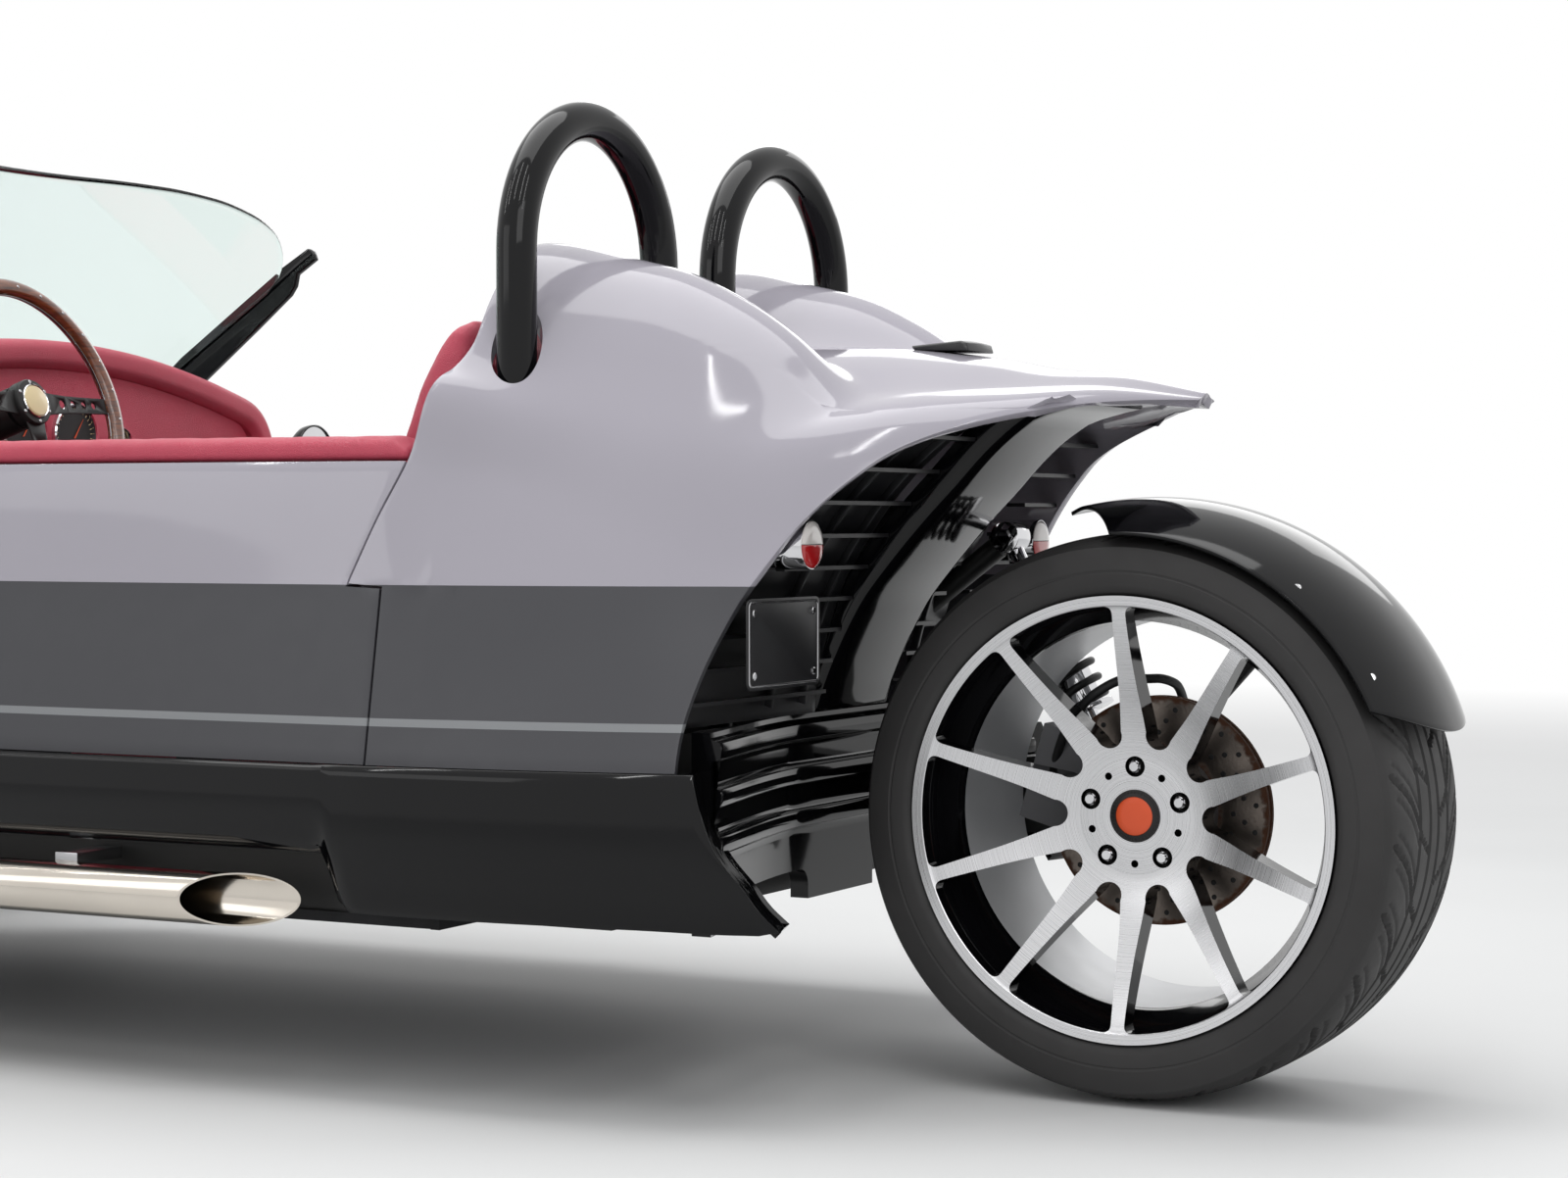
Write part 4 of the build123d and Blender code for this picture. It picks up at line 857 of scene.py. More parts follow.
class RepeatTree:
    """A tree that sets one unit at every point of a mesh, turned as the point says."""

    def __init__(self, unit: Unit) -> None:
        """Build the tree for one kind of unit.

        Args:
            unit: What stands at each point.
        """
        self.tree = bpy.data.node_groups.new("repeat_" + unit.value, "GeometryNodeTree")
        face = self.tree.interface
        face.new_socket("Geometry", in_out="INPUT", socket_type="NodeSocketGeometry")
        self.ids: dict[str, str] = {}
        wanted = {
            Unit.BAR: (("Size", "NodeSocketVector"),),
            Unit.HEAD: (("Radius", "NodeSocketFloat"), ("Height", "NodeSocketFloat"),
                        ("Sides", "NodeSocketInt")),
            Unit.TEMPLATE: (("Template", "NodeSocketObject"), ("Scale", "NodeSocketFloat")),
        }[unit]
        for name, kind in (*wanted, ("Finish", "NodeSocketMaterial")):
            self.ids[name] = face.new_socket(name, in_out="INPUT", socket_type=kind).identifier
        face.new_socket("Geometry", in_out="OUTPUT", socket_type="NodeSocketGeometry")
        self.join(unit)

    def join(self, unit: Unit) -> None:
        """Add and join the tree's nodes.

        Args:
            unit: What stands at each point.
        """
        nodes, links = self.tree.nodes, self.tree.links
        entry, leave = nodes.new("NodeGroupInput"), nodes.new("NodeGroupOutput")
        turn = nodes.new("GeometryNodeInputNamedAttribute")
        turn.data_type = "FLOAT_VECTOR"
        turn.inputs["Name"].default_value = "turn"
        spread = nodes.new("GeometryNodeInstanceOnPoints")
        links.new(entry.outputs["Geometry"], spread.inputs["Points"])
        links.new(turn.outputs[0], spread.inputs["Rotation"])
        if unit is Unit.BAR:
            stretch = nodes.new("GeometryNodeInputNamedAttribute")
            stretch.data_type = "FLOAT_VECTOR"
            stretch.inputs["Name"].default_value = "stretch"
            links.new(stretch.outputs[0], spread.inputs["Scale"])
            cube = nodes.new("GeometryNodeMeshCube")
            links.new(entry.outputs["Size"], cube.inputs["Size"])
            links.new(cube.outputs["Mesh"], spread.inputs["Instance"])
        elif unit is Unit.HEAD:
            low, high = nodes.new("GeometryNodeMeshCylinder"), nodes.new("GeometryNodeMeshCone")
            links.new(entry.outputs["Sides"], low.inputs["Vertices"])
            links.new(entry.outputs["Radius"], low.inputs["Radius"])
            links.new(entry.outputs["Height"], low.inputs["Depth"])
            links.new(entry.outputs["Sides"], high.inputs["Vertices"])
            links.new(entry.outputs["Radius"], high.inputs["Radius Bottom"])
            for name, share, target in (("Radius", 0.72, "Radius Top"), ("Height", 0.4, "Depth")):
                part = nodes.new("ShaderNodeMath")
                part.operation = "MULTIPLY"
                part.inputs[1].default_value = share
                links.new(entry.outputs[name], part.inputs[0])
                links.new(part.outputs[0], high.inputs[target])
            lift = nodes.new("GeometryNodeTransform")
            half = nodes.new("ShaderNodeMath")
            half.operation = "MULTIPLY"
            half.inputs[1].default_value = 0.5
            up = nodes.new("ShaderNodeCombineXYZ")
            links.new(entry.outputs["Height"], half.inputs[0])
            links.new(half.outputs[0], up.inputs["Z"])
            links.new(high.outputs["Mesh"], lift.inputs["Geometry"])
            links.new(up.outputs[0], lift.inputs["Translation"])
            both = nodes.new("GeometryNodeJoinGeometry")
            links.new(low.outputs["Mesh"], both.inputs[0])
            links.new(lift.outputs[0], both.inputs[0])
            links.new(both.outputs[0], spread.inputs["Instance"])
        else:
            info = nodes.new("GeometryNodeObjectInfo")
            links.new(entry.outputs["Template"], info.inputs["Object"])
            links.new(info.outputs["Geometry"], spread.inputs["Instance"])
            links.new(entry.outputs["Scale"], spread.inputs["Scale"])
        real = nodes.new("GeometryNodeRealizeInstances")
        paint = nodes.new("GeometryNodeSetMaterial")
        links.new(spread.outputs[0], real.inputs[0])
        links.new(real.outputs[0], paint.inputs["Geometry"])
        links.new(entry.outputs["Finish"], paint.inputs["Material"])
        links.new(paint.outputs[0], leave.inputs["Geometry"])


_TREES: dict[Unit, RepeatTree] = {}


def repeat(name: str, unit: Unit, spots: Sequence[Matrix], finish: Finish,
           stretch: Sequence[Colour] | None = None, **sizes: object) -> Obj:
    """Set a unit at every spot with Geometry Nodes and make the result a plain mesh.

    Args:
        name: The piece's name.
        unit: What stands at each spot.
        spots: The place and turn of each copy, in metres.
        finish: Its finish.
        stretch: How much each bar is stretched along its own axes, or None for not at all.
        **sizes: The tree's inputs, by name.

    Returns:
        The new piece.
    """
    if unit not in _TREES:
        _TREES[unit] = RepeatTree(unit)
    tree = _TREES[unit]
    mesh = bpy.data.meshes.new(name)
    mesh.from_pydata([tuple(m.translation) for m in spots], [], [])
    turns = mesh.attributes.new("turn", "FLOAT_VECTOR", "POINT")
    turns.data.foreach_set("vector", [v for m in spots for v in m.to_euler()])
    if unit is Unit.BAR:
        scales = mesh.attributes.new("stretch", "FLOAT_VECTOR", "POINT")
        scales.data.foreach_set("vector",
                                [v for row in stretch or [(1.0, 1.0, 1.0)] * len(spots) for v in row])
    obj = bpy.data.objects.new(name, mesh)
    bpy.context.scene.collection.objects.link(obj)
    modifier = obj.modifiers.new("repeat", "NODES")
    modifier.node_group = tree.tree
    for key, value in sizes.items():
        modifier[tree.ids[key]] = value
    modifier[tree.ids["Finish"]] = finish.material()
    freeze(obj)
    for attribute in list(obj.data.attributes):
        if attribute.name in ("turn", "stretch"):
            obj.data.attributes.remove(attribute)
    template = sizes.get("Template")
    if isinstance(template, bpy.types.Object):
        bpy.data.objects.remove(template, do_unlink=True)
    return obj


def facing(point: Vector, way: Vector, roll: float = 0.0) -> Matrix:
    """Give the placement at a point whose z axis looks along a way.

    Args:
        point: The place in metres.
        way: Where z looks.
        roll: Radians turned about that way first.

    Returns:
        The placement.
    """
    turn = way.to_track_quat("Z", "Y").to_matrix().to_4x4()
    return Matrix.Translation(point) @ turn @ Matrix.Rotation(roll, 4, "Z")


def narrow(low: float, high: float, before: Callable[[float], bool], rounds: int = 22) -> Point2:
    """Close a span in on the point where a test turns false.

    Args:
        low: The span's start, where the test holds.
        high: Its end, where it doesn't.
        before: The test.
        rounds: How often the span is halved.

    Returns:
        The ends of the last span.
    """
    for _ in range(rounds):
        middle = (low + high) / 2
        if before(middle):
            low = middle
        else:
            high = middle
    return low, high


def sided(rows: Iterable[Sequence[Vector]], side: int) -> list[list[Vector]]:
    """Keep rows of points for side 1 and mirror them to the right side for -1."""
    return [[Vector((p.x, side * p.y, p.z)) for p in row] for row in rows]


def mirrored(spots: Sequence[Matrix]) -> list[Matrix]:
    """Add the same spots on the other side of the car.

    Args:
        spots: Placements on one side.

    Returns:
        The placements of both sides.
    """
    flip = Matrix.Diagonal((1, -1, 1, 1))
    return [*spots, *(flip @ m @ flip for m in spots)]


# The painted body


@dataclass
class Skin:
    """The smooth outer skin, read from stations along the car."""

    cowl_x: float = FRONT_AXLE_X - 799.0
    nose_x: float = FRONT_AXLE_X + 770.0
    step: float = 5.0
    tail_x: float = -56.0
    band_z: float = 594.0
    hump_y: float = 241.0
    spans: int = 16
    sections: list[list[Point2]] = field(default_factory=list)

    def __post_init__(self) -> None:
        """Work out every section once."""
        axle = FRONT_AXLE_X
        # Columns: x, then half-width and height of the bottom edge, of the flank and of the deck's
        # shoulder, and last the height in the middle.
        self.stations = (
            (-56.0, 44.0, 780.0, 30.0, 800.0, 14.0, 810.0, 815.0),
            (39.0, 190.0, 640.0, 175.0, 782.0, 100.0, 822.0, 839.0),
            (118.0, 300.0, 520.0, 262.0, 750.0, 150.0, 820.0, 846.0),
            (194.0, 380.0, 440.0, 322.0, 705.0, 190.0, 820.0, 860.0),
            (300.0, 470.0, 392.0, 388.0, 625.0, 230.0, 815.0, 874.0),
            (354.0, 492.0, 392.0, 407.0, 600.0, 245.0, 815.0, 878.0),
            (470.0, 520.0, 392.0, 440.0, 640.0, 255.0, 825.0, 882.0),
            (633.0, 545.0, 392.0, 468.0, 690.0, 270.0, 842.0, 885.0),
            (767.0, 554.0, 392.0, 499.0, 735.0, 300.0, 850.0, 890.0),
            (1230.0, 556.0, 392.0, 527.0, 735.0, 360.0, 862.0, 905.0),
            (self.cowl_x, 553.0, 392.0, 524.0, 735.0, 400.0, 872.0, 926.0),
            (axle - 434.0, 470.0, 392.0, 436.0, 725.0, 300.0, 850.0, 903.0),
            (axle, 374.0, 380.0, 338.0, 680.0, 220.0, 800.0, 848.0),
            (axle + 466.0, 276.0, 330.0, 248.0, 600.0, 160.0, 715.0, 762.0),
            (axle + 696.0, 232.0, 285.0, 206.0, 540.0, 132.0, 660.0, 705.0),
            (self.nose_x, 206.0, 305.0, 180.0, 520.0, 112.0, 625.0, 664.0),
        )
        curves = [[(row[0], row[k]) for row in self.stations] for k in range(1, 8)]
        count = int((self.nose_x - self.tail_x) / self.step) + 2
        for i in range(count):
            x = self.tail_x + i * self.step
            self.sections.append(self.section(x, [read_curve(c, x) for c in curves]))

    def section(self, x: float, row: Sequence[float]) -> list[Point2]:
        """Make one section from its bottom edge to the middle.

        Args:
            x: Where the section stands.
            row: The station's widths and heights there.

        Returns:
            Pairs of half-width and height, from the bottom up.
        """
        by, bz, fy, fz, dy, dz, top = row
        pull = read_curve(((250.0, 0.42), (480.0, 0.5), (600.0, 0.66), (700.0, 0.78), (767.0, 0.6),
                           (900.0, 0.45), (1800.0, 0.42)), x)
        shoulder = (lerp((fy + dy) / 2, fy, pull), lerp((fz + dz) / 2, dz, pull))
        middle = ((by + fy) / 2, (bz + fz) / 2)
        quarter = (dy * 0.5, top - 0.25 * (top - dz))
        knots = [(by, bz), middle, (fy, fz), shoulder, (dy, dz), quarter, (0.0, top)]
        knots = [(2 * by - middle[0], 2 * bz - middle[1]), *knots, (-quarter[0], quarter[1])]
        points = []
        for k in range(1, len(knots) - 2):
            steps = self.spans + (1 if k == len(knots) - 3 else 0)
            for j in range(steps):
                points.append(self.spline(knots[k - 1:k + 3], j / self.spans))
        return [(y, self.raised(x, y, z)) for y, z in points]

    @staticmethod
    def spline(knots: Sequence[Point2], t: float) -> Point2:
        """Read a smooth curve through four knots between the middle two."""
        (ay, az), (by, bz), (cy, cz), (dy, dz) = knots

        def axis(a: float, b: float, c: float, d: float) -> float:
            """Read one axis of the curve."""
            return 0.5 * (2 * b + (c - a) * t + (2 * a - 5 * b + 4 * c - d) * t**2
                          + (3 * b - a - 3 * c + d) * t**3)

        return axis(ay, by, cy, dy), axis(az, bz, cz, dz)

    def raised(self, x: float, y: float, z: float) -> float:
        """Raise a point where the hump behind a hoop stands over the skin.

        Args:
            x: The point's place along the car.
            y: Its half-width.
            z: Its height on the plain skin.

        Returns:
            Its height with the hump.
        """
        if not 230.0 < x < 800.0:
            return z
        ridge = read_curve(((230.0, 700.0), (262.0, 752.0), (292.0, 802.0), (322.0, 843.0), (354.0, 876.0),
                            (425.0, 924.0), (503.0, 960.0), (583.0, 980.0),
                            (680.0, 1000.0), (760.0, 1002.0)), x)
        slope = read_curve(((230.0, 0.0120), (330.0, 0.0105), (425.0, 0.0074), (503.0, 0.0058),
                            (583.0, 0.0042), (684.0, 0.00302)), x)
        off = abs(abs(y) - self.hump_y)
        height = ridge - slope * off**2 - 4.13e-8 * off**4
        soft = 26.0
        gap = z - height
        if abs(gap) >= 2 * soft:
            return max(z, height)
        return max(z, height) + (2 * soft - abs(gap)) ** 2 / (8 * soft)

    def at(self, x: float, s: float) -> tuple[float, float]:
        """Read the skin at a share of its section.

        Args:
            x: Where along the car.
            s: 0 at the bottom edge, 1 in the middle.

        Returns:
            Half-width and height.
        """
        f = min(max((x - self.tail_x) / self.step, 0.0), len(self.sections) - 1.001)
        i, u = int(f), f - int(f)
        g = min(max(s, 0.0), 0.99999) * (len(self.sections[0]) - 1)
        j, v = int(g), g - int(g)
        out = []
        for axis in (0, 1):
            a = lerp(self.sections[i][j][axis], self.sections[i][j + 1][axis], v)
            b = lerp(self.sections[i + 1][j][axis], self.sections[i + 1][j + 1][axis], v)
            out.append(lerp(a, b, u))
        return out[0], out[1]

    def share_at(self, x: float, z: float) -> float:
        """Find the share of a section at which the flank reaches a height.

        Args:
            x: Where along the car.
            z: The height.

        Returns:
            The share, 0 where the section starts above that height.
        """
        if self.at(x, 0.0)[1] >= z:
            return 0.0
        return sum(narrow(0.0, 0.66, lambda share: self.at(x, share)[1] < z)) / 2

    def half_width(self, x: float, z: float) -> float:
        """Read the skin's half-width at a height."""
        return self.at(x, self.share_at(x, z))[0]

    def top(self, x: float, y: float) -> float:
        """Read the height of the skin above a point of the plan.

        Args:
            x: Where along the car.
            y: How far from the middle.

        Returns:
            The skin's height there.
        """
        return self.at(x, sum(narrow(0.34, 1.0, lambda share: self.at(x, share)[0] > abs(y))) / 2)[1]


SKIN = Skin()


@dataclass
class TailEdge:
    """The rear edge of the tail as a distance from the rear axle at each angle."""

    points: tuple[Point2, ...] = (
        (-56.0, 806.0), (39.0, 798.0), (77.0, 790.0), (118.0, 779.0), (161.0, 764.0), (194.0, 748.0),
        (234.0, 717.0), (281.0, 668.0), (315.0, 620.0), (340.0, 578.0), (356.0, 535.0), (370.0, 480.0),
        (376.0, 435.0), (374.0, 388.0),
    )

    def __post_init__(self) -> None:
        """Turn the points into angle and radius, in rising order of angle."""
        polar = [(math.degrees(math.atan2(z - REAR_AXLE_Z, x)), math.hypot(x, z - REAR_AXLE_Z))
                 for x, z in self.points]
        self.polar = sorted(polar)

    def radius(self, angle: float) -> float:
        """Read the edge's distance from the axle at an angle in degrees."""
        return read_curve(self.polar, angle)

    def depth(self, x: float, z: float) -> float:
        """Tell how far a point of the side view lies inside the edge."""
        return math.hypot(x, z - REAR_AXLE_Z) - self.radius(math.degrees(math.atan2(z - REAR_AXLE_Z, x)))

    def offset(self, angle: float, inset: float) -> Point2:
        """Give the point at an angle, moved away from the axle by an inset."""
        r, a = self.radius(angle) + inset, math.radians(angle)
        return r * math.cos(a), REAR_AXLE_Z + r * math.sin(a)

    def start(self, curve: Callable[[float], float]) -> float:
        """Find where a line along the skin meets the edge.

        Args:
            curve: Height of the line for each x.

        Returns:
            The x at which it meets the edge.
        """
        if self.depth(SKIN.tail_x, curve(SKIN.tail_x)) >= 0.0:
            return SKIN.tail_x
        return narrow(SKIN.tail_x, 640.0, lambda x: self.depth(x, curve(x)) < 0.0, 24)[1]


TAIL_EDGE = TailEdge()


@dataclass
class BodyPanels:
    """The painted tail, side panels, hood and nose sides."""

    wall: float = 0.012
    shut: float = 3.0
    seam_x: float = 742.0
    columns: int = 104
    top_rows: int = 136
    hoop_x: float = 633.0
    hoop_ys: tuple[float, ...] = (76.0, 406.0)
    hole_radius: float = 29.5
    arch_half: float = 215.0
    arch_top: float = 640.0

    def seam(self, z: float) -> float:
        """Give the x of the joint between the tail and the side panel at a height."""
        if z < self.band_low():
            return self.seam_x
        return read_curve(((595.0, 786.0), (665.0, 756.0), (735.0, 726.0), (829.0, 700.0), (880.0, 684.0),
                           (1100.0, 684.0)), z)

    @staticmethod
    def band_low() -> float:
        """Give the height under which the joint stands upright."""
        return SKIN.band_z - 0.5

    def strip(self, curve: Callable[[float], tuple[float, float]], start: float, end: float) -> list[Vector]:
        """Make one row of points along the skin.

        Args:
            curve: Half-width and height for each x.
            start: The row's first x.
            end: The row's last x.

        Returns:
            The row's points on the left side.
        """
        row = []
        for k in range(self.columns + 1):
            x = lerp(start, end, k / self.columns)
            y, z = curve(x)
            row.append(place(x, y, z))
        return row

    @staticmethod
    def level(z: float) -> Callable[[float], tuple[float, float]]:
        """Give the line of the flank at one height."""
        return lambda x: (SKIN.half_width(x, z), z)

    @staticmethod
    def above(z: float, share: float) -> Callable[[float], tuple[float, float]]:
        """Give the line at a share of the way from a height up to the middle."""

        def curve(x: float) -> tuple[float, float]:
            """Read the skin on that line."""
            low = SKIN.share_at(x, z)
            return SKIN.at(x, lerp(low, 1.0, share))

        return curve

    def tail(self) -> Obj:
        """Make the tail with its humps, its beak and the holes for the hoops.

        Returns:
            The finished piece.
        """
        rows = []
        band = SKIN.band_z
        levels = [lerp(392.0, band - 1.5, k / 12) for k in range(13)] + [band + 1.5]
        curves = [self.level(z) for z in levels]
        curves += [self.above(band + 1.5, (k / self.top_rows) ** 0.9) for k in range(1, self.top_rows + 1)]
        for curve in curves:
            start = TAIL_EDGE.start(lambda x, c=curve: c(x)[1])
            end = self.seam_x
            for _ in range(6):
                end = self.seam(curve(end)[1])
            rows.append(self.strip(curve, start, end))
        rows += sided(reversed(rows[:-1]), -1)
        solid = Solid()
        solid.sheet(rows, -self.wall)
        tail = solid.build("tail_skin", bevel=0.0012)
        cutter = Solid()
        for y in self.hoop_ys:
            for side in (-1, 1):
                cutter.rod((self.hoop_x, side * y, 500), (self.hoop_x, side * y, 1150), self.hole_radius, 64)
        carve(tail, cutter.build("hoop_holes"))
        soften(tail, 0.0016, 46.0)
        return dress(tail, Finishes.PAINT, "body", "body_paint", "tail_shell")

    def side_panels(self) -> list[Obj]:
        """Make both side panels.

        Returns:
            The left and the right panel.
        """
        rows = []
        levels = [lerp(392.0, 590.0, k / 12) for k in range(13)]
        levels += [lerp(592.0, 735.0, k / 12) for k in range(13)]
        for z in levels:
            start = self.seam(z if z < 591.0 else max(z, 595.0)) + self.shut
            rows.append(self.strip(self.level(z), start, SKIN.cowl_x - self.shut))
        pieces = []
        for side, name in ((1, "left"), (-1, "right")):
            solid = Solid()
            solid.sheet(sided(rows, side), -0.03 * side)
            panel = solid.build("side_skin_" + name, bevel=0.0015)
            pieces.append(dress(panel, Finishes.PAINT, "body", "body_paint", "side_panel_" + name))
        return pieces

    def hood(self) -> Obj:
        """Make the hood from the cowl to the nose.

        Returns:
            The finished piece.
        """
        rows = []
        for k in range(45):
            share = lerp(1 / 3, 1.0, k / 44)
            rows.append(self.strip(lambda x, s=share: SKIN.at(x, s), SKIN.cowl_x, SKIN.nose_x))
        rows += sided(reversed(rows[:-1]), -1)
        solid = Solid()
        solid.sheet(rows, -self.wall)
        return dress(solid.build("hood_skin", bevel=0.0015), Finishes.PAINT, "body", "body_paint", "hood")

    def nose_sides(self) -> Obj:
        """Make the lower nose sides with their arches for the suspension.

        Returns:
            The finished piece.
        """
        solid = Solid()
        rows = []
        for k in range(19):
            share = k / 18

            def curve(x: float, v: float = share) -> tuple[float, float]:
                """Run from the arch or the bottom edge to just under the hood."""
                bottom = SKIN.at(x, 0.0)[1]
                off = abs(x - FRONT_AXLE_X) / (self.arch_half + 30.0)
                if off < 1.0:
                    bottom = max(bottom, 320.0 + (self.arch_top - 320.0) * (1.0 - off**6) ** (1 / 3))
                high = SKIN.at(x, 1 / 3)[1] - self.shut
                z = lerp(bottom, high, v)
                return SKIN.half_width(x, z), z

            rows.append(self.strip(curve, SKIN.cowl_x, SKIN.nose_x))
        for side in (1, -1):
            solid.sheet(sided(rows, side), -self.wall * side)
        return dress(solid.build("nose_side_skin", bevel=0.0012), Finishes.PAINT, "body", "body_paint",
                     "nose_sides")

    def make(self) -> list[Obj]:
        """Make every painted panel.

        Returns:
            The pieces.
        """
        return [self.tail(), *self.side_panels(), self.hood(), self.nose_sides()]


@dataclass
class Skirts:
    """The gloss black skirts with the step over the exhausts."""

    top: float = 391.0
    rear: float = 262.0
    front: float = FRONT_AXLE_X - 454.0
    wall: float = 0.009

    def rear_edge(self, z: float) -> float:
        """Give the x of the skirt's curved rear edge at a height."""
        return read_curve(((214.0, 262.0), (240.0, 284.0), (261.0, 298.0), (307.0, 328.0), (350.0, 344.0),
                           (391.0, 354.0)), z)

    def lower_edge(self, x: float) -> float:
        """Give the height of the skirt's bottom edge."""
        return read_curve(((262.0, 240.0), (267.0, 228.0), (277.0, 219.0), (295.0, 215.0), (420.0, 218.0),
                           (780.0, 222.0), (788.0, 232.0), (794.0, 276.0), (806.0, 288.0), (3000.0, 288.0)),
                          x)

    def make(self) -> list[Obj]:
        """Make both skirts.

        Returns:
            The left and the right skirt.
        """
        shares = [k / 40 * 0.33 for k in range(40)] + [0.33 + 0.04 * k / 24 for k in range(24)]
        shares += [0.37 + 0.63 * k / 60 for k in range(61)]
        rows = []
        for k in range(25):
            v = k / 24
            row = []
            for n, u in enumerate(shares):
                x, z = 500.0, self.top
                for _ in range(3):
                    z = lerp(self.top, self.lower_edge(x), v)
                    start = self.rear_edge(z)
                    x = self.rear + (self.front - self.rear) * u
                    x += (start - self.rear) * (1.0 - u) ** 6
                y = SKIN.at(max(x, 300.0), 0.0)[0] + 5.0 - 3.0 * v + 5.0 * math.sin(math.pi * v)
                y -= 16.0 * v**6 + 4.0 * max(0.0, 1 - 26 * v) ** 2
                row.append(place(x, y, z))
                if n == 0:
                    lip = ((26.0, 74.0), (17.0, 44.0), (7.0, 18.0), (1.5, 5.0))
                    row = [place(x + dx, y - dy, z) for dx, dy in lip] + row
            rows.append(row)
        pieces = []
        for side, name in ((1, "left"), (-1, "right")):
            solid = Solid()
            solid.sheet(sided(rows, side), self.wall * side)
            skirt = solid.build("skirt_skin_" + name, bevel=0.0015)
            pieces.append(dress(skirt, Finishes.GLOSS_BLACK, "body", "gloss_black", "skirt_" + name))
        return pieces


# Wheels and brakes


